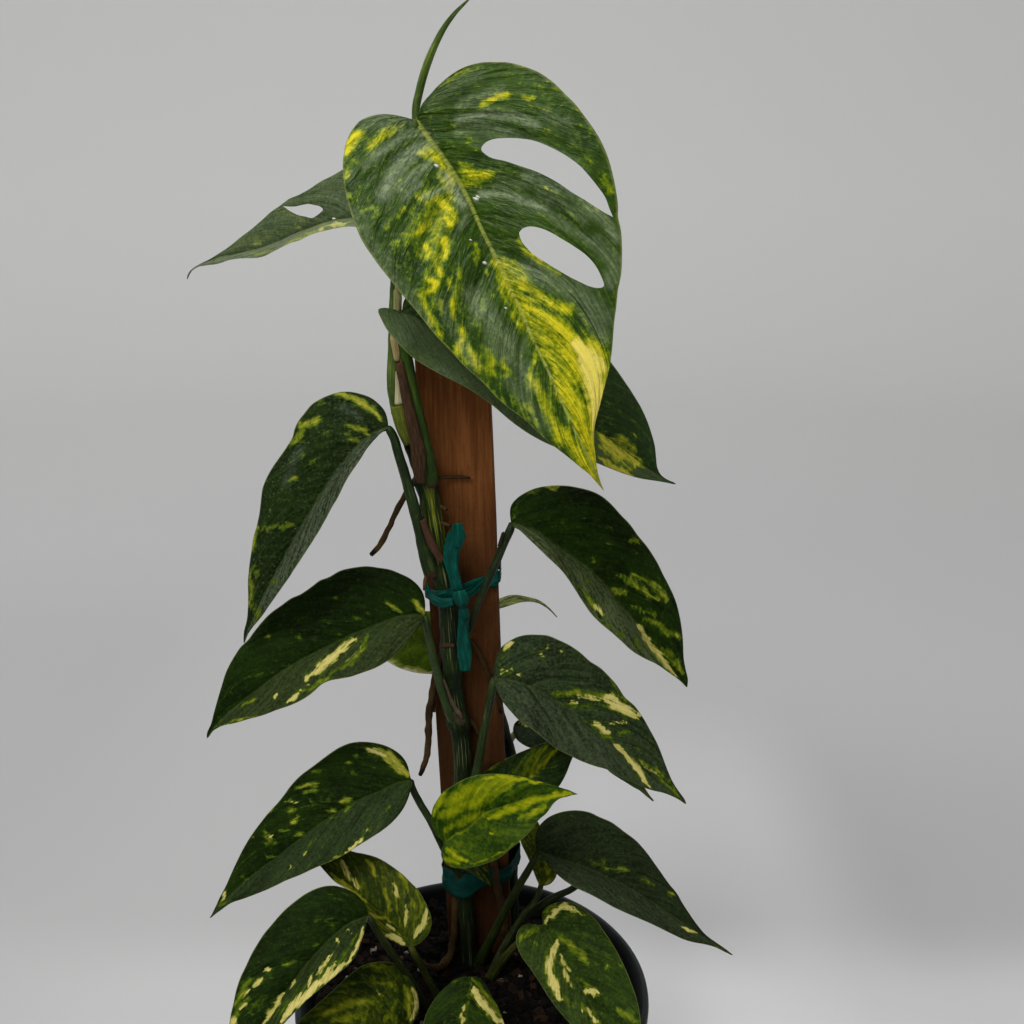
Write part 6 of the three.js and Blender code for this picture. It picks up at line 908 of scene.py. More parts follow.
def stalk_material(name, a=(48, 62, 24), b=(28, 42, 14), stripe=(88, 98, 48), seed=0.0, rough=0.48, brown=0.0, lines=9.0, cut=(0.55, 0.70), white=0.0, bright=None):
    g = G(name)
    U, V, _ = g.xyz(g.attr("UVMap"))
    t = g.xyz(g.attr("mark"))[0]
    along = g.vec(g.f("MULTIPLY", U, lines), g.f("MULTIPLY", V, 4.5), seed)
    n1 = g.noise(along, 1.5, 4, 0.6)
    o = g.noise(g.add(g.obj(), (seed, 0, 0)), 45, 4, 0.6)
    fine = g.noise(g.add(g.obj(), (seed, 0, 0)), 500, 3, 0.65)
    c = g.mix(g.step(o, 0.35, 0.68), col(*b), col(*a))
    c = g.mix(g.step(n1, cut[0], cut[1], 0, 0.85), c, col(*stripe))
    c = g.mix(g.step(n1, 0.44, 0.34, 0, 0.6), c, col(*[int(x * 0.6) for x in b]))
    if white:
        w = g.noise(g.vec(g.f("MULTIPLY", U, lines * 1.5), g.f("MULTIPLY", V, 1.8), seed + 20), 1.5, 2, 0.5)
        c = g.mix(g.step(w, 0.62, 0.70, 0, white), c, col(160, 160, 112))
    if bright:
        z = g.xyz(g.obj())[2]
        part = g.f("MULTIPLY", g.step(z, bright[0] - 0.002, bright[0] + 0.002), g.step(z, bright[1] + 0.003, bright[1] - 0.003))
        w = g.noise(g.vec(g.f("MULTIPLY", U, lines * 0.6), g.f("MULTIPLY", V, 1.5), seed + 31), 1.5, 3, 0.6)
        c = g.mix(g.f("MULTIPLY", part, g.step(w, 0.47, 0.64)), c, col(94, 102, 18))
        c = g.mix(g.f("MULTIPLY", part, g.step(w, 0.57, 0.70)), c, col(146, 144, 44))
    c = g.mix(g.step(fine, 0.58, 0.72, 0, 0.35), c, col(*stripe))
    # painted shade: the stalks darken toward near black low down, close to the soil
    c = g.mix(g.step(g.xyz(g.obj())[2], 0.27, 0.20, 0.0, 0.45), c, col(5, 8, 2))
    if brown:
        low = g.f("ADD", g.step(t, 0.0, brown, 1.0, 0.0), g.f("MULTIPLY", g.f("SUBTRACT", o, 0.5), 0.5))
        c = g.mix(g.step(low, 0.5, 0.75), c, g.mix(n1, col(70, 48, 26), col(40, 26, 14)))
    h = g.f("ADD", g.f("MULTIPLY", n1, 0.7), g.f("MULTIPLY", fine, 0.3))
    return g.done(c, g.step(o, 0.2, 0.8, rough - 0.06, rough + 0.12), g.bump(h, 0.45, 0.0008), spec=0.16)


def husk_material(name, a=(104, 70, 38), b=(56, 36, 20), seed=0.0):
    hi = tuple(min(255, int(x * 1.35) + 8) for x in a)
    g = G(name)
    U, V, _ = g.xyz(g.attr("UVMap"))
    n1 = g.noise(g.vec(g.f("MULTIPLY", U, 10.0), g.f("MULTIPLY", V, 8.0), seed), 1.6, 5, 0.65)
    o = g.noise(g.obj(), 90, 4, 0.6)
    c = g.mix(g.step(n1, 0.3, 0.7), col(*a), col(*b))
    c = g.mix(g.step(o, 0.55, 0.75, 0, 0.45), c, col(*hi))
    return g.done(c, 0.8, g.bump(g.f("ADD", n1, o), 0.6, 0.001), spec=0.25)


def root_material():
    g = G("root_bark")
    o = g.obj()
    n1 = g.noise(o, 55, 5, 0.65)
    n2 = g.noise(g.scale(o, (1, 1, 0.35)), 420, 4, 0.65)
    t = g.xyz(g.attr("mark"))[0]
    c = g.ramp(n1, [(0.25, col(32, 21, 8)), (0.5, col(60, 43, 17)), (0.75, col(88, 66, 30))])
    c = g.mix(g.step(n2, 0.5, 0.7, 0, 0.6), c, col(28, 17, 10))
    c = g.mix(g.step(t, 0.90, 0.97), c, col(14, 11, 8))
    return g.done(c, 0.85, g.bump(g.f("ADD", n1, n2), 0.7, 0.0009), spec=0.2)


def cedar_material():
    g = G("cedar_wood")
    o = g.obj()
    x, y, z = g.xyz(o)
    warp = g.noise(g.scale(o, (1, 1, 0.22)), 14, 3, 0.5)
    grain = g.noise(g.scale(o, (1, 1, 0.035)), 420, 5, 0.7)
    fibre = g.noise(g.scale(o, (1, 1, 0.05)), 1500, 3, 0.65)
    speck = g.noise(g.scale(o, (1, 1, 0.6)), 900, 4, 0.75)
    pits = g.noise(g.scale(o, (1, 1, 0.45)), 520, 2, 0.6)
    saw = g.noise(g.scale(o, (0.12, 0.12, 1)), 520, 3, 0.6)
    blot = g.noise(g.scale(o, (1, 1, 0.35)), 30, 4, 0.6)
    c = g.ramp(grain, [(0.25, col(70, 38, 15)), (0.5, col(98, 58, 25)), (0.75, col(116, 73, 34))])
    c = g.mix(g.step(fibre, 0.5, 0.72, 0, 0.4), c, col(58, 32, 13))
    c = g.mix(g.step(speck, 0.55, 0.72, 0, 0.5), c, col(52, 30, 13))
    c = g.mix(g.step(blot, 0.42, 0.7, 0, 0.5), c, col(74, 40, 17))
    c = g.mix(g.step(warp, 0.56, 0.7, 0, 0.45), c, col(58, 36, 12))
    c = g.mix(g.step(pits, 0.68, 0.73, 0, 0.75), c, col(26, 14, 7))
    # painted light: the upper part of the stake is painted lighter
    c = g.mix(g.step(z, 0.42, 0.54, 0, 0.62), c, g.mix(g.step(grain, 0.4, 0.65), col(122, 72, 32), col(158, 98, 50)))
    # darker and yellower low down, where less light falls
    c = g.mix(g.step(z, 0.50, 0.30, 0, 0.55), c, col(44, 28, 8))
    c = g.mix(g.step(z, 0.26, 0.19, 0, 0.55), c, col(38, 17, 6))
    h = g.f("ADD", g.f("MULTIPLY", grain, 0.5), g.f("ADD", g.f("MULTIPLY", fibre, 0.5), g.f("ADD", g.f("MULTIPLY", speck, 0.7), g.f("ADD", g.f("MULTIPLY", pits, -0.6), g.f("MULTIPLY", saw, 0.4)))))
    return g.done(c, g.step(grain, 0.3, 0.7, 0.88, 0.78), g.bump(h, 0.8, 0.0009), spec=0.15)


def tape_material():
    g = G("teal_tape")
    U, V, _ = g.xyz(g.attr("UVMap"))
    n1 = g.noise(g.vec(g.f("MULTIPLY", U, 2.2), g.f("MULTIPLY", V, 5.0), 0.0), 1.5, 4, 0.6, 0.9)
    o = g.noise(g.obj(), 160, 3, 0.6)
    c = g.ramp(n1, [(0.25, col(0, 34, 28)), (0.5, col(1, 66, 56)), (0.75, col(4, 96, 82))])
    z = g.xyz(g.obj())[2]
    # painted shade: the tape is darker low down, on the lower band, and also rougher there
    c = g.mix(g.step(z, 0.34, 0.30, 0, 0.55), c, col(2, 36, 34))
    return g.done(c, g.f("ADD", g.step(o, 0.2, 0.8, 0.34, 0.5), g.step(z, 0.34, 0.30, 0, 0.35)), g.bump(g.f("ADD", n1, g.f("MULTIPLY", o, 0.2)), 0.7, 0.0016), spec=0.1)


def pot_material():
    g = G("pot_plastic")
    o = g.obj()
    n1 = g.noise(o, 35, 4, 0.6)
    n2 = g.noise(o, 900, 2, 0.5)
    scuff = g.noise(g.scale(o, (1, 1, 6)), 60, 4, 0.7)
    c = g.mix(g.step(n1, 0.35, 0.7), col(8, 24, 20), col(13, 33, 27))
    c = g.mix(g.step(scuff, 0.62, 0.78, 0, 0.2), c, col(54, 64, 56))
    x, y, z = g.xyz(o)
    # painted shade: the inner wall and the inner edge of the rim top are painted near black, and made rougher
    r = g.f("SQRT", g.f("ADD", g.f("MULTIPLY", x, x), g.f("MULTIPLY", y, y)))
    wall = g.f("ADD", g.f("MULTIPLY", z, 0.0194 / 0.177), 0.075)
    deep = g.f("MAXIMUM", g.step(g.f("SUBTRACT", wall, r), 0.0004, 0.0009), g.f("MULTIPLY", g.step(z, 0.180, 0.183), g.step(r, 0.0992, 0.0974)))
    deep = g.f("MULTIPLY", deep, g.step(z, 0.003, 0.006))
    c = g.mix(deep, c, col(3, 8, 8))
    return g.done(c, g.f("ADD", g.step(n1, 0.2, 0.8, 0.36, 0.5), g.f("MULTIPLY", deep, 0.4)), g.bump(n2, 0.16, 0.0003), spec=0.3)


def soil_material():
    g = G("peat")
    o = g.obj()
    n1 = g.noise(o, 90, 6, 0.7)
    n2 = g.noise(o, 420, 4, 0.7)
    c = g.ramp(n1, [(0.3, col(4, 3, 2)), (0.55, col(12, 8, 5)), (0.8, col(28, 18, 10))])
    c = g.mix(g.step(n2, 0.6, 0.75, 0, 0.5), c, col(60, 44, 26))
    return g.done(c, 0.95, g.bump(g.f("ADD", n1, g.f("MULTIPLY", n2, 0.7)), 1.0, 0.003), spec=0.2)


def chip_material():
    g = G("bark_chips")
    o = g.obj()
    tone = g.xyz(g.attr("mark"))[0]
    n1 = g.noise(g.scale(o, (1, 1, 2)), 160, 5, 0.7)
    n2 = g.noise(o, 700, 3, 0.6)
    t = g.f("ADD", tone, g.f("MULTIPLY", g.f("SUBTRACT", n1, 0.5), 0.5))
    c = g.ramp(t, [(0.0, col(4, 3, 2)), (0.4, col(9, 6, 4)), (0.68, col(20, 12, 7)), (0.86, col(48, 31, 18)), (1.0, col(150, 142, 124))])
    c = g.mix(g.step(n2, 0.55, 0.75, 0, 0.45), c, col(14, 9, 6))
    return g.done(c, 0.92, g.bump(g.f("ADD", n1, n2), 0.8, 0.0012), spec=0.1)


def floor_material():
    g = G("studio_paper")
    o = g.obj()
    x, y, z = g.xyz(o)
    r = g.f("SQRT", g.f("ADD", g.f("ADD", g.f("MULTIPLY", x, x), g.f("MULTIPLY", y, y)), g.f("MULTIPLY", z, z)))
    n1 = g.noise(o, 3, 2, 0.5)
    # painted light and shade: the paper is darker near the plant and lighter far out
    c = g.ramp(g.f("DIVIDE", r, 5.0), [(0.0, col(*PAPER_PAINTED_FALLOFF[0])), (0.14, col(*PAPER_PAINTED_FALLOFF[1])), (0.32, col(*PAPER_PAINTED_FALLOFF[2])), (0.75, col(*PAPER_PAINTED_FALLOFF[3]))])
    c = g.mix(g.f("MULTIPLY", n1, 0.04), c, col(200, 202, 202))
    # painted shade: the far paper darkens toward the right
    c = g.mix(g.f("MULTIPLY", g.step(y, 0.5, 1.5), g.step(x, -3.0, 3.0, 0.0, 0.10, False)), c, col(96, 96, 98))
    # painted light: pale pools on the paper behind the pot and to either side, lightening its shadow
    near = g.f("MULTIPLY", g.step(y, 0.32, 0.21), g.step(y, 0.0, 0.15))
    c = g.mix(g.f("MULTIPLY", g.f("MULTIPLY", g.step(x, 0.0, 0.12), g.step(x, 0.40, 0.25)), g.f("MULTIPLY", g.step(y, 0.80, 0.45), g.step(y, 0.02, 0.18, 0.0, 0.26))), c, col(240, 240, 243))
    c = g.mix(g.f("MULTIPLY", g.step(x, 0.20, 0.30), g.f("MULTIPLY", near, 0.30)), c, col(226, 226, 229))
    c = g.mix(g.f("MULTIPLY", g.f("MULTIPLY", g.step(x, -0.04, 0.11), g.step(x, 0.32, 0.17)), g.f("MULTIPLY", near, 0.92)), c, col(240, 240, 243))
    c = g.mix(g.f("MULTIPLY", g.f("MULTIPLY", g.step(x, -0.05, -0.12), g.step(x, -0.50, -0.20)), g.f("MULTIPLY", near, 0.20)), c, col(240, 240, 243))
    # painted shade: darker patches on the paper behind the plant, to the right and to the left
    c = g.mix(g.f("MULTIPLY", g.f("MULTIPLY", g.step(x, 0.26, 0.40), g.step(y, 0.20, 0.29)), g.step(y, 0.75, 0.30, 0.0, 0.15)), c, col(120, 120, 122))
    c = g.mix(g.f("MULTIPLY", g.step(x, -0.25, -0.55), g.f("MULTIPLY", g.step(y, 0.23, 0.36), g.step(y, 1.4, 0.8, 0.0, 0.14))), c, col(120, 120, 122))
    return g.done(c, 0.95, spec=0.0)


# ---------------------------------------------------------------- the blade seen edge on, behind the stake
def edge_blade(NR):
    E = [(478, 616), (488, 610), (500, 605), (512, 601), (524, 600), (538, 602), (548, 608), (557, 617)]
    ss = np.linspace(0, 1, 61)
    M = np.array([at_yr(u, v, 20 + 6 * s) for (u, v), s in zip(curve_at(E, ss), ss)])
    ts = np.linspace(0, 1, NR + 1)
    s = s_of(ts)
    Mr = np.array([np.interp(s, ss, M[:, j]) for j in range(3)]).T
    T = unit(np.gradient(M, axis=0))
    Tr = unit(np.array([np.interp(s, ss, T[:, j]) for j in range(3)]).T)
    w = 12 * np.sin(math.pi * ts**0.55) * (1 - 0.55 * ts)
    w[0], w[-1] = 0.8, 0
    bk = 6 * np.maximum(0, 0.18 - ts) / 0.18
    A = Mr + np.c_[-bk, w, 0.12 * w]
    B = Mr + np.c_[-bk, -0.8 * w, 0.08 * w]
    return ts, Mr, Tr, A, B


leaf("leaf_back_arch", edge=edge_blade, mid=[(478, 616), (557, 617)])

for key, val in MARKS.items():
    LEAVES[key].update(val)
for key, val in PAINTED_GLOSS_STROKES.items():
    LEAVES[key]["painted_gloss"] = val
# some blades carry their streaks stronger and broader than traced
for key, (ks, kw) in dict(leaf_left_c=(1.28, 1.15), leaf_right_a=(1.28, 1.15), leaf_left_b=(1.12, 1.1), leaf_right_c=(1.15, 1.1), leaf_left_a=(1.1, 1.1), leaf_second=(1.15, 1.1)).items():
    LEAVES[key]["yellow"] = [(p, w * kw, t * ks) for p, w, t in LEAVES[key]["yellow"]]
LEAVES["leaf_top"].update(rim=0.3, spread=1.3, taper=0.15)

DARK = dict(base=(22, 40, 5), deep=(11, 22, 2), mid=(31, 51, 9), light=(54, 76, 12), lime=(98, 112, 22), gold=(160, 156, 54), pale=(204, 192, 116), pale2=(160, 156, 68), spec=0.03, speck=0.2, speck_col=(78, 94, 46), rib=0.22, rib_col=(72, 90, 40), grain=0.8, edge=0.4)
# painted sheen: the sheen values set how much pale grey reflection is painted on each half; painted_gloss is the colour
# of the painted highlights
LOOK = {  # how each blade looks: greens, flame, sheen on the (left, right) half seen from stalk to tip
    "leaf_top": dict(n=6.0, off=0.148, fleck=0.07, flame=0.08, blur=0.7, grain=0.9, cream_edge=(0.30, 1.0), base=(51, 78, 8), deep=(28, 54, 3), mid=(68, 95, 15), light=(96, 121, 9), lime=(148, 156, 12), gold=(220, 210, 32), pale=(250, 232, 112), pale2=(240, 224, 74), painted_sheen_col=(96, 116, 74), sheen=(0.06, 0.05), painted_gloss=(146, 160, 126), rough=0.36, spec=0.16, rib=0.85, rib_w=(2.0, 0.9), rib_col=(160, 170, 80), relief=2.0, soft=1.0, lines=0.2, speck=0.22, edge=0.5, size=1.05),
    "leaf_upper_back": dict(base=(58, 78, 32), deep=(30, 52, 12), mid=(80, 96, 54), light=(98, 112, 56), lime=(120, 130, 66), gold=(156, 156, 84), pale=(186, 182, 120), painted_sheen_col=(112, 120, 98), sheen=(0.8, 0.32), fleck=0.06, flame=0.06, spec=0.15, rib=0.3, lines=0.1),
    "leaf_second": dict(base=(34, 60, 11), deep=(18, 38, 4), mid=(50, 75, 20), light=(84, 104, 26), lime=(132, 144, 28), gold=(196, 188, 60), painted_sheen_col=(104, 118, 82), sheen=(0.05, 0.42), comb=0.6, fleck=0.0, blur=0.4, spec=0.10, rough=0.45, rib=0.75, rib_w=(1.1, 0.7), rib_col=(34, 50, 12), grain=0.8),
    "leaf_left_a": dict(DARK, base=(27, 44, 9), deep=(13, 25, 4), mid=(40, 57, 18), light=(66, 84, 22), painted_sheen_col=(86, 94, 76), sheen=(0.85, 0.08), comb=0.0, fleck=0.06, flame=0.0, speck=0.5, speck_col=(98, 108, 80)),
    "leaf_left_b": dict(DARK, base=(22, 40, 6), painted_sheen_col=(80, 90, 56), sheen=(0.42, 0.02), fleck=0.02, flame=0.0),
    "leaf_right_a": dict(DARK, base=(22, 41, 3), painted_sheen_col=(98, 108, 74), sheen=(0.02, 0.62), comb=0.1, fleck=0.03, flame=0.0),
    "leaf_right_b": dict(DARK, base=(27, 44, 11), mid=(40, 57, 20), painted_sheen_col=(84, 93, 74), sheen=(0.28, 0.5), comb=0.2, fleck=0.03, flame=0.0, speck=0.35),
    "leaf_left_c": dict(DARK, base=(26, 44, 4), painted_sheen_col=(66, 78, 52), sheen=(0.45, 0.02), fleck=0.05, flame=0.0),
    "leaf_center": dict(base=(38, 60, 5), deep=(22, 44, 2), mid=(50, 74, 8), light=(78, 98, 6), lime=(124, 133, 4), gold=(162, 160, 24), painted_sheen_col=(72, 92, 40), sheen=(0.0, 0.2), fleck=0.06, flame=0.28, speck=0.05, spec=0.04, rib=0.3, edge=0.35, size=1.9, grain=0.5, vary=0.62),
    "leaf_behind_center": dict(DARK, base=(24, 42, 4), mid=(30, 50, 6), light=(58, 74, 8), lime=(100, 106, 8), gold=(138, 136, 18), sheen=(0.05, 0.05), grain=0.4),
    "leaf_back_small": dict(DARK, base=(24, 36, 17), mid=(32, 45, 26), light=(46, 60, 32), painted_sheen_col=(72, 80, 64), sheen=(0.35, 0.3), fleck=-0.08),
    "leaf_right_c": dict(DARK, base=(19, 33, 7), deep=(10, 20, 3), mid=(27, 41, 14), light=(50, 66, 16), painted_sheen_col=(64, 73, 52), sheen=(0.30, 0.75), comb=0.2, fleck=0.0, flame=0.0, speck=0.15, lines=0.2),
    "leaf_right_low": dict(DARK, base=(32, 51, 6), deep=(17, 33, 3), mid=(46, 68, 12), light=(70, 90, 14), lime=(110, 120, 22), painted_sheen_col=(78, 90, 50), sheen=(0.15, 0.35), fleck=0.05, flame=0.10, grain=0.6),
    "leaf_left_small": dict(DARK, base=(40, 54, 6), deep=(26, 38, 3), mid=(54, 66, 9), light=(80, 90, 12), lime=(116, 118, 24), gold=(150, 144, 48), pale=(184, 176, 106), fleck=0.02, flame=0.34, sheen=(0.02, 0.05), grain=0.35),
    "leaf_left_d": dict(DARK, base=(22, 39, 5), painted_sheen_col=(78, 88, 56), sheen=(0.3, 0.03), fleck=0.02, flame=0.0, grain=0.6),
    "leaf_left_e": dict(DARK, base=(36, 50, 4), deep=(20, 32, 2), mid=(52, 66, 7), light=(82, 94, 12), lime=(112, 118, 20), fleck=0.05, flame=0.28, sheen=(0.05, 0.05), grain=0.6),
    "leaf_front": dict(DARK, base=(32, 52, 3), mid=(44, 66, 6), light=(66, 84, 10), lime=(104, 110, 18), fleck=0.03, flame=0.10, sheen=(0.05, 0.05), grain=0.5),
    "leaf_back_left": dict(base=(82, 110, 12), mid=(98, 126, 28), light=(124, 146, 60), lime=(158, 170, 70), gold=(216, 208, 104), pale=(250, 244, 196), fleck=0.0, flame=0.04, grain=0.4, sheen=(0.05, 0.05), spec=0.04),
    "leaf_tiny_a": dict(base=(60, 76, 10), mid=(72, 86, 14), light=(106, 108, 16), fleck=0.05, flame=0.3, sheen=(0.2, 0.05), spec=0.04),
    "leaf_tiny_b": dict(base=(28, 42, 6), mid=(42, 54, 12), light=(64, 74, 18), fleck=0.05, flame=0.3, sheen=(0.02, 0.2), spec=0.04),
    "leaf_right_hidden": dict(DARK, fleck=0.02),
    "leaf_back_arch": dict(base=(84, 104, 44), mid=(100, 118, 52), light=(146, 150, 76), lime=(170, 168, 96), fleck=0.02, flame=0.36, sheen=(0.1, 0.1)),
}
# how strongly the side veins sweep toward the tip on the (left, right) half
SWEEP = {"leaf_top": (0.32, 0.16), "leaf_left_a": (0.20, 0.30), "leaf_left_b": (0.22, 0.33), "leaf_right_a": (0.31, 0.22), "leaf_right_b": (0.30, 0.22), "leaf_left_c": (0.20, 0.30), "leaf_second": (0.28, 0.20), "leaf_upper_back": (0.20, 0.28)}


def cut_slits(o, rings, yc, span):
    for ring in rings:
        t = np.linspace(0, 1, 4 * len(ring) + 1)
        C = curve_at(list(ring) + [ring[0]], t)[:-1]
        near = [at_y(u, v, yc - span) for u, v in C]
        far = [at_y(u, v, yc + span) for u, v in C]
        n = len(C)
        area = sum(C[i][0] * C[(i + 1) % n][1] - C[(i + 1) % n][0] * C[i][1] for i in range(n))
        faces = [tuple(range(n)), tuple(range(2 * n - 1, n - 1, -1))] + [((i + 1) % n, i, i + n, (i + 1) % n + n) for i in range(n)]
        if area < 0:
            faces = [tuple(reversed(f)) for f in faces]
        me = bpy.data.meshes.new("cut")
        me.from_pydata([tuple(p * MM) for p in near + far], [], faces)
        c = bpy.data.objects.new("cut", me)
        bpy.context.scene.collection.objects.link(c)
        me.update()
        import bmesh
        bm = bmesh.new()
        bm.from_mesh(me)
        bmesh.ops.recalc_face_normals(bm, faces=bm.faces)
        bm.to_mesh(me)
        bm.free()
        mod = o.modifiers.new("slit", "BOOLEAN")
        mod.operation, mod.solver, mod.object = "DIFFERENCE", "EXACT", c
        with bpy.context.temp_override(object=o, active_object=o, selected_objects=[o]):
            bpy.ops.object.modifier_apply(modifier="slit")
        bpy.data.objects.remove(c)


for k, (name, L) in enumerate(LEAVES.items()):
    top, big = name == "leaf_top", name in ("leaf_second", "leaf_upper_back")
    tiny = name in ("leaf_tiny_a", "leaf_tiny_b", "leaf_back_arch", "leaf_right_hidden", "leaf_back_small")
    ka, kb = SWEEP.get(name, (0.28, 0.24))
    look = LOOK[name]
    NR, NC = (200, 50) if top else (120, 26) if big else (60, 12) if tiny else (104, 22)
    V, faces, uv, length = leaf_mesh(L, NR=NR, NC=NC, seed=k, thick=0.55, wave=0.9 if top or big else 0.6, bulge=0.045 if top else 0.06, n=look.get("n", 5.5), off=look.get("off", 0.08), ka=ka, kb=kb, quilt=2.3 if top else 0.8 if big else 0.5, ripple=1.3 if top else 0.15)
    o = mesh_object("blade_" + name[5:], V, faces, leaf_material("mat_" + name, k + 1, length, **look), uv)
    if L.get("holes"):
        c = at_yr(*np.mean(L["holes"][0], axis=0), L["y0"] + L["a1"] * (0.35 if name == "leaf_top" else 0.55))
        cut_slits(o, L["holes"], c[1], 32)
        o.data.set_sharp_from_angle(angle=math.radians(45))
    own(o, name)

# a few dried water marks on the top blade
def fleck_mesh():
    parts = []
    blade = bpy.data.objects["blade_top"]
    for j, ((u, v), r) in enumerate(FLECKS):
        obj = blade if j < 6 else bpy.data.objects["blade_upper_back"]
        d = ray(u, v)
        hit, loc, nrm, _ = obj.ray_cast(Vector(CAM * MM), Vector(d), distance=3)
        if not hit:
            continue
        p, m = np.array(loc) / MM, np.array(nrm)
        if m @ d > 0:
            m = -m
        s1 = unit(np.cross(m, [0.3, 0.2, 1]))
        s2 = np.cross(m, s1)
        pts, fs = [p + m * 0.22], []
        for i in range(12):
            a = 2 * math.pi * i / 12
            rr = r * (0.75 + 0.35 * noise.noise(Vector((math.cos(a) + j * 5, math.sin(a), 1))))
            pts.append(p + m * 0.05 + s1 * rr * 1.25 * math.cos(a) + s2 * rr * 0.7 * math.sin(a))
        pts.append(p - m * 0.1)
        for i in range(12):
            fs.append((0, 1 + i, 1 + (i + 1) % 12))
            fs.append((13, 1 + (i + 1) % 12, 1 + i))
        parts.append((np.array(pts), fs, {"UVMap": np.zeros((14, 2))}))
    return join_meshes(parts)


g = G("dried_drops")
own(mesh_object("water_marks", *fleck_mesh()[:2], g.done(g.mix(g.noise(g.obj(), 900, 2, 0.5), col(196, 204, 190), col(226, 230, 220)), 0.7, spec=0.2)), ())

# ---------------------------------------------------------------- stems
stem_mat = stalk_material("stem_green", (24, 42, 11), (11, 25, 5), (60, 76, 24), 3.0, 0.6, lines=12.0, white=0.45, bright=(at_yr(440, 560, -16)[2] * MM, at_yr(430, 484, -16)[2] * MM))
V, f, uv = tube_mesh(px_rows(STEMS["main_stem"]), 20, 1.2, wob=0.10, seed=1, ridge=0.035, ridges=6, swell=[(at_yr(u, v, -16)[2], h, a) for u, v, h, a in ((461, 722, 4, 0.22), (451, 646, 4, 0.2), (445, 574, 4.5, 0.2), (426, 482, 4, 0.22), (463, 808, 4, 0.2), (398, 408, 4, 0.2))])
own(mesh_object("stem_main", V, f, stem_mat, uv), "main_stem")
V, f, uv = tube_mesh(px_rows(STEMS["rear_stem"]), 16, 1.3, wob=0.1, seed=2, ridge=0.03, ridges=5)
own(mesh_object("stem_rear", V, f, stem_mat, uv), "rear_stem")

# ---------------------------------------------------------------- leaf stalks
for k, (name, rows) in enumerate(PET.items()):
    R = px_rows(rows)
    # the stalk runs a little way in under its blade, as the midrib does
    L = LEAVES.get(name)
    if L is not None and "edge" not in L:
        m = curve_at(L["mid"], [0.0, 0.05, 0.12])
        for (u, v), s, r in zip(m, (0.0, 0.05, 0.12), (1.5, 1.1, 0.6)):
            p = at_yr(u, v, L["y0"] + L["a1"] * s)
            away = unit(p - CAM)
            R = np.vstack([R, np.r_[p + away * (r + 0.1), r]])
    tone = PETTONE.get(name, {})
    V, f, uv = tube_mesh(R, 12, 1.3, wob=0.07, seed=20 + k, ridge=0.03, ridges=4)
    own(mesh_object("stalk_" + name[5:], V, f, stalk_material("mat_stalk_" + name[5:], seed=k * 1.7, **tone), uv), name.replace("leaf_", "petiole_"))

# dry papery sheaths on the joints
for k, (nm, rows, bow, seed, ca, cb) in enumerate(HUSKS):
    m = ribbon_mesh(rows, 0.45, bow, 8, 1.0, 0.4, seed)
    own(mesh_object(nm, *m[:2], husk_material("mat_" + nm, ca, cb, k * 2.3), m[2]), ())

# the edge of the blade that hangs behind the lower right one
m = ribbon_mesh(SLIVER, 0.45, 0.03, 6, 1.0, 0.2, 8.0)
own(mesh_object("blade_edge_right_b", *m[:2], husk_material("mat_blade_edge", (64, 80, 34), (40, 54, 20), 4.4), m[2]), ())

# ---------------------------------------------------------------- the rolled new leaf
V, f, uv = tube_mesh(px_rows(SPIKE), 14, 1.0, wob=0.05, seed=50, ridge=0.06, ridges=2)
own(mesh_object("new_leaf_roll", V, f, stalk_material("mat_new_leaf", (78, 100, 34), (48, 70, 20), (128, 142, 66), 9.0, 0.45, lines=5.0), uv), "new_leaf")

# ---------------------------------------------------------------- aerial roots
bark = root_material()
for k, (name, rows) in enumerate(ROOTS.items()):
    V, f, uv = tube_mesh(px_rows(rows), 12, 0.9, wob=0.34, seed=60 + k)
    own(mesh_object("root_" + name[12:], V, f, bark, uv), name)
for k, rows in enumerate(MORE_ROOTS):
    V, f, uv = tube_mesh(px_rows(rows), 10, 0.9, wob=0.34, seed=70 + k)
    own(mesh_object("rootlet_%d" % k, V, f, bark, uv), ())

# ---------------------------------------------------------------- stake
foot, head = np.array([9.2, 52.3, 3.6]), np.array([-9.7, 34.2, 0.0])
head[2] = foot[2] + math.sqrt(610**2 - (head[0] - foot[0]) ** 2 - (head[1] - foot[1]) ** 2)
up = unit(head - foot)
sx = unit(np.cross([0, 1, 0], up))
sy = np.cross(up, sx)


def stake_mesh():
    W, T, Lz = 38.0, 19.0, 610.0
    prof = []
    r = 0.9
    for cx, cy, a0 in ((W / 2 - r, T / 2 - r, 0), (-W / 2 + r, T / 2 - r, 90), (-W / 2 + r, -T / 2 + r, 180), (W / 2 - r, -T / 2 + r, 270)):
        for j in range(4):
            a = math.radians(a0 + 30 * j)
            prof.append((cx + r * math.cos(a), cy + r * math.sin(a)))
    # points along the long faces too
    full = []
    for i, p in enumerate(prof):
        q = prof[(i + 1) % len(prof)]
        d = math.dist(p, q)
        m = max(1, int(d / 2.4))
        for j in range(m):
            full.append((p[0] + (q[0] - p[0]) * j / m, p[1] + (q[1] - p[1]) * j / m))
    n = len(full)
    NZ = 150
    V, faces, uv = [], [], []
    for i in range(NZ + 1):
        z = Lz * i / NZ
        for x, y in full:
            g = noise.noise(Vector((x * 0.35, y * 0.35, z * 0.012))) * 0.35 + noise.noise(Vector((x * 1.2, y * 1.2, z * 0.03 + 5))) * 0.16
            s = 1 + g / 14
            V.append(foot + sx * (x * s) + sy * (y * s) + up * z)
            uv.append((x / W + 0.5, z / 100))
    for i in range(NZ):
        for j in range(n):
            a, b = i * n + j, i * n + (j + 1) % n
            faces.append((a, b, b + n, a + n))
    faces.append(tuple(range(n - 1, -1, -1)))
    faces.append(tuple(range(NZ * n, NZ * n + n)))
    return np.array(V), faces, {"UVMap": np.array(uv)}


V, f, uv = stake_mesh()
own(mesh_object("stake_board", V, f, cedar_material(), uv, sharp=35), "stake")

# ---------------------------------------------------------------- tape
teal = tape_material()


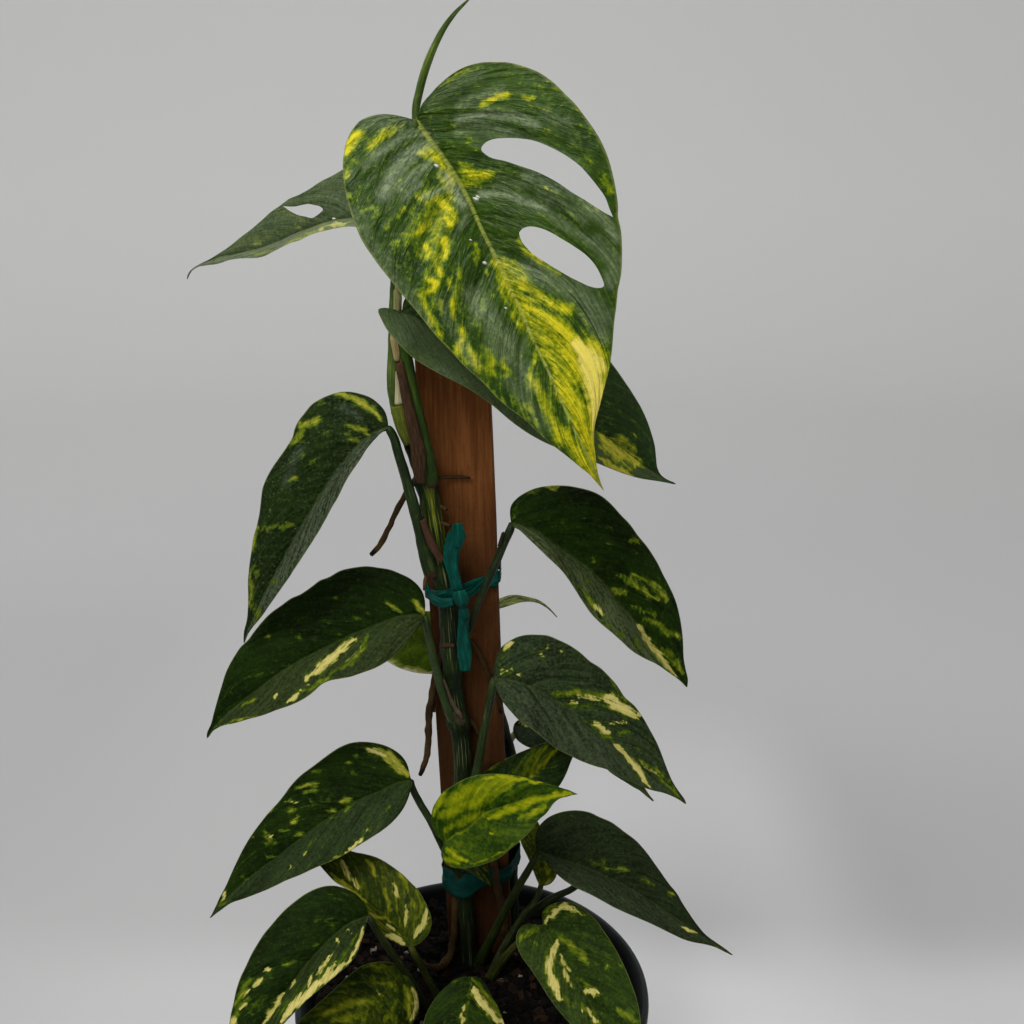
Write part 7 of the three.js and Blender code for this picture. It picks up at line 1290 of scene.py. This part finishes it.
def loop_mesh(z, dz, width, stems, wr, seed, lift=0.0, narrow=0.0):
    f0 = (z - foot[2]) / (head[2] - foot[2])
    cx, cy = foot[0] + f0 * (head[0] - foot[0]), foot[1] + f0 * (head[1] - foot[1])
    pts = [(cx + i * 19, cy + j * 9.5) for i in (-1, 1) for j in (-1, 1)]
    for rows in stems:
        P = px_rows(rows)
        k = np.argmin(abs(P[:, 2] - z))
        for a in np.linspace(0, 2 * math.pi, 24, endpoint=False):
            pts.append((P[k][0] + P[k][3] * math.cos(a), P[k][1] + P[k][3] * math.sin(a)))
    pts = sorted(pts)
    hull = []
    for part in (pts, pts[::-1]):
        run = []
        for p in part:
            while len(run) > 1 and (run[-1][0] - run[-2][0]) * (p[1] - run[-2][1]) - (run[-1][1] - run[-2][1]) * (p[0] - run[-2][0]) <= 1e-9:
                run.pop()
            run.append(p)
        hull += run[:-1]
    H = np.array(hull + [hull[0]])
    d = np.r_[0, np.cumsum(np.linalg.norm(np.diff(H, axis=0), axis=1))]
    n = 160
    s = np.linspace(0, d[-1], n, endpoint=False)
    C = np.array([np.interp(s, d, H[:, 0]), np.interp(s, d, H[:, 1])]).T
    for _ in range(2):
        C = (np.roll(C, 1, 0) + 2 * C + np.roll(C, -1, 0)) / 4
    T = unit(np.roll(C, -1, 0) - np.roll(C, 1, 0))
    N = np.c_[T[:, 1], -T[:, 0]]
    V, uv = [], []
    cols = 8
    for side in (0, 1):
        for i in range(n):
            for k in range(cols + 1):
                q = k / cols
                wv = wr * noise.noise(Vector((C[i][0] * 0.25, C[i][1] * 0.25, q * 2.4 + seed)))
                off = 0.75 + abs(wv) + (0.7 if side == 0 else 0.15)
                x, y = C[i] + N[i] * off
                wz = width * (1 + 0.18 * noise.noise(Vector((C[i][0] * 0.12, C[i][1] * 0.12, seed + 9)))) * (1 - narrow * min(1.0, max(0.0, (x - cx + 4.0) / 14.0)))
                V.append((x, y, z + (x - cx) * dz + (q - 0.5) * wz + lift * noise.noise(Vector((C[i][0] * 0.09, C[i][1] * 0.09, seed + 3)))))
                uv.append((q, s[i] / 100))
    c1 = cols + 1
    m = n * c1
    faces = []
    for i in range(n):
        j = (i + 1) % n
        for k in range(cols):
            a, b, c, e = i * c1 + k, j * c1 + k, j * c1 + k + 1, i * c1 + k + 1
            faces.append((a, b, c, e))
            faces.append((a + m, e + m, c + m, b + m))
        faces.append((i * c1, i * c1 + m, j * c1 + m, j * c1))
        faces.append((i * c1 + cols, j * c1 + cols, j * c1 + cols + m, i * c1 + cols + m))
    return np.array(V), faces, {"UVMap": np.array(uv), "mark": np.zeros((len(V), 2))}


zu, zl = at_yr(443, 588, -16)[2], at_yr(465, 880, -16)[2]
own(mesh_object("tape_upper_loop", *loop_mesh(zu, 0.22, 7.2, [STEMS["main_stem"]], 1.0, 1.0)[:2], teal, loop_mesh(zu, 0.22, 7.2, [STEMS["main_stem"]], 1.0, 1.0)[2]), "tie_upper_band")
m = loop_mesh(zl, 0.10, 16.0, [STEMS["main_stem"], STEMS["rear_stem"]], 1.3, 2.0, 2.0, 0.38)
own(mesh_object("tape_lower_loop", m[0], m[1], teal, m[2]), "tie_lower_band")
m = join_meshes([ribbon_mesh(rows, 0.5, bow, 8, 0.8, 0.8, 3.0 + k) for k, (rows, bow) in enumerate(TAPES)])
own(mesh_object("tape_upper_bow", m[0], m[1], teal, m[2]), "tie_upper_bow")

# ---------------------------------------------------------------- pot
WT = 1.6
rim = POT_H - 13.0
wall = lambda z: 75.0 + (94.4 - 75.0) * z / rim
prof = [(0, 0), (71, 0), (73, 0.15), (74.4, 0.8), (75.1, 2.2)]
prof += [(wall(z), z) for z in np.linspace(6, rim - 4, 18)] + [(wall(rim) - 0.1, rim - 1.4), (95.2, rim - 0.3), (97.6, rim + 0.2), (99.6, rim + 0.7), (100.7, rim + 1.7), (101.2, rim + 3.2), (101.45, rim + 7)]
prof += [(101.6, POT_H - 3.0), (101.35, POT_H - 1.6), (100.6, POT_H - 0.6), (99.5, POT_H - 0.12), (98.4, POT_H), (97.2, POT_H - 0.25), (96.1, POT_H - 1.0), (95.3, POT_H - 2.3), (94.7, POT_H - 5), (93.6, rim), (wall(rim - 5) - WT, rim - 5)]
prof += [(wall(z) - WT, z) for z in np.linspace(rim - 20, 8, 10)] + [(74.0, 4.4), (73.2, 3.0), (71.6, 2.3), (68, 2.2), (0, 2.2)]
NS = 160
V, faces = [], []
start = []
for r, z in prof:
    start.append(len(V))
    if r == 0:
        V.append((0, 0, z))
    else:
        for k in range(NS):
            a = 2 * math.pi * k / NS
            V.append((r * math.cos(a), r * math.sin(a), z))
for i in range(len(prof) - 1):
    for k in range(NS):
        j = (k + 1) % NS
        a, b = start[i], start[i + 1]
        if prof[i][0] == 0:
            faces.append((a, b + j, b + k))
        elif prof[i + 1][0] == 0:
            faces.append((a + k, a + j, b))
        else:
            faces.append((a + k, a + j, b + j, b + k))
pot = mesh_object("pot_shell", V, faces, pot_material(), None, sharp=50)
own(pot, "pot")
for i in range(8):
    a = (i + 0.5) * 2 * math.pi / 8
    bpy.ops.mesh.primitive_cylinder_add(vertices=40, radius=6 * MM, depth=12 * MM, location=(58 * MM * math.cos(a), 58 * MM * math.sin(a), 0))
    c = bpy.context.object
    mod = pot.modifiers.new("drain", "BOOLEAN")
    mod.operation, mod.solver, mod.object = "DIFFERENCE", "EXACT", c
    with bpy.context.temp_override(object=pot, active_object=pot, selected_objects=[pot]):
        bpy.ops.object.modifier_apply(modifier="drain")
    bpy.data.objects.remove(c)

# ---------------------------------------------------------------- soil with bark on it
def ground(x, y):
    return 1.4 * (0.6 * math.sin(x * 0.21 + 1.3) * math.cos(y * 0.17 - 0.4) + 0.4 * math.sin(x * 0.09 - y * 0.13 + 2.1)) + 1.3 * noise.noise(Vector((x * 0.16, y * 0.16, 2))) + 0.8 * noise.noise(Vector((x * 0.45, y * 0.45, 7)))


V, faces = [], []
rr = list(np.linspace(0, 91.6, 44))
for i, r in enumerate(rr):
    n = 1 if i == 0 else 150
    for k in range(n):
        a = 2 * math.pi * k / 150
        x, y = r * math.cos(a), r * math.sin(a)
        V.append((x, y, SOILZ + ground(x, y) - (1.6 if i == len(rr) - 1 else 0)))
for k in range(150):
    V.append((72.6 * math.cos(2 * math.pi * k / 150), 72.6 * math.sin(2 * math.pi * k / 150), 2.6))
V.append((0, 0, 2.6))
ring0 = lambda i: 1 + (i - 1) * 150
for k in range(150):
    j = (k + 1) % 150
    faces.append((0, ring0(1) + k, ring0(1) + j))
    for i in range(1, len(rr)):
        a, b = ring0(i), ring0(i + 1)
        faces.append((a + k, b + k, b + j, a + j))
    a = ring0(len(rr))
    faces.append((a + k, len(V) - 1, a + j))
own(mesh_object("soil_bed", V, faces, soil_material()), "soil")

rng = np.random.RandomState(5)
V, faces, mk = [], [], []
base_faces = [(0, 3, 2, 1), (4, 5, 6, 7), (0, 1, 5, 4), (1, 2, 6, 5), (2, 3, 7, 6), (3, 0, 4, 7)]
count = 0
for i in range(3600):
    r = 90.0 * math.sqrt(rng.rand())
    a = rng.rand() * 2 * math.pi
    x, y = r * math.cos(a), r * math.sin(a)
    pale = rng.rand() < 0.018
    s = (0.8 + 0.9 * rng.rand()) if pale else 0.8 + 3.4 * rng.rand() ** 3.0
    lx, ly, lz = (s, s * 0.9, s * 0.8) if pale else (s * (0.8 + 0.9 * rng.rand()), s * (0.45 + 0.4 * rng.rand()), s * (0.2 + 0.35 * rng.rand()))
    if r + s > 91.5:
        continue
    q = rng.rand(3)
    ax = unit(np.array([rng.randn() * 0.35, rng.randn() * 0.35, 1.0]))
    t = unit(np.cross(ax, [math.cos(a * 7), math.sin(a * 5), 0.1]))
    b = np.cross(ax, t)
    c = np.array([x, y, SOILZ + ground(x, y) + lz * 0.35 + 0.8 * rng.rand()])
    jit = 1 + 0.35 * (rng.rand(8, 3) - 0.5)
    base = len(V)
    for k, (i1, i2, i3) in enumerate(((-1, -1, -1), (1, -1, -1), (1, 1, -1), (-1, 1, -1), (-1, -1, 1), (1, -1, 1), (1, 1, 1), (-1, 1, 1))):
        top = 0.78 if i3 > 0 else 1
        V.append(c + t * i1 * lx * jit[k, 0] * top + b * i2 * ly * jit[k, 1] * top + ax * i3 * lz * jit[k, 2])
    tone = 0.97 if pale else 0.05 + 0.8 * rng.rand() ** 1.5
    mk += [(tone, 0)] * 8
    faces += [tuple(v + base for v in f) for f in base_faces]
    count += 1
chips = mesh_object("bark_bits", V, faces, chip_material(), {"UVMap": np.zeros((len(V), 2)), "mark": np.array(mk)}, smooth=False)
bev = chips.modifiers.new("soft", "BEVEL")
bev.width, bev.segments, bev.limit_method = 0.0004, 1, "NONE"
own(chips, ())

# ---------------------------------------------------------------- stage, light and camera
V, faces = [], []
NSG = 96
sweep = [(0, 0), (1500, 0), (2600, 0)] + [(2600 + 1400 * math.sin(a), 1400 * (1 - math.cos(a))) for a in np.linspace(0.15, math.pi / 2, 12)] + [(4000, 3600)]
for i, (r, z) in enumerate(sweep):
    for k in range(1 if i == 0 else NSG):
        a = 2 * math.pi * k / NSG
        V.append((r * math.cos(a), r * math.sin(a), z))
for k in range(NSG):
    j = (k + 1) % NSG
    faces.append((0, 1 + k, 1 + j))
    for i in range(1, len(sweep) - 1):
        a, b = 1 + (i - 1) * NSG, 1 + i * NSG
        faces.append((a + k, b + k, b + j, a + j))
floor = mesh_object("studio_floor", V, faces, floor_material())

world = bpy.data.worlds.new("studio")
bpy.context.scene.world = world
world.use_nodes = True
world.node_tree.nodes["Background"].inputs[0].default_value = (1.0, 0.985, 0.96, 1)
world.node_tree.nodes["Background"].inputs[1].default_value = WORLD


def area(name, loc, aim, size, power, colour=(1, 1, 1), size_y=None):
    l = bpy.data.lights.new(name, "AREA")
    l.energy, l.size, l.color = power, size, colour
    if size_y:
        l.shape, l.size_y = "RECTANGLE", size_y
    o = bpy.data.objects.new(name, l)
    o.location = loc
    o.rotation_euler = (Vector(aim) - Vector(loc)).to_track_quat("-Z", "Y").to_euler()
    bpy.context.scene.collection.objects.link(o)
    return o


for spec in LIGHTS:
    area(*spec)

cd = bpy.data.cameras.new("camera")
cd.sensor_width, cd.sensor_fit, cd.lens = 36.0, "HORIZONTAL", 36.0 * F / 1024
cd.clip_start, cd.clip_end = 0.05, 60
cam = bpy.data.objects.new("camera", cd)
cam.location = tuple(CAM * MM)
cam.rotation_euler = (math.pi / 2 - TH, 0, 0)
bpy.context.scene.collection.objects.link(cam)
bpy.context.scene.camera = cam
bpy.context.scene.view_settings.view_transform = "Standard"
bpy.context.scene.view_settings.look = "None"
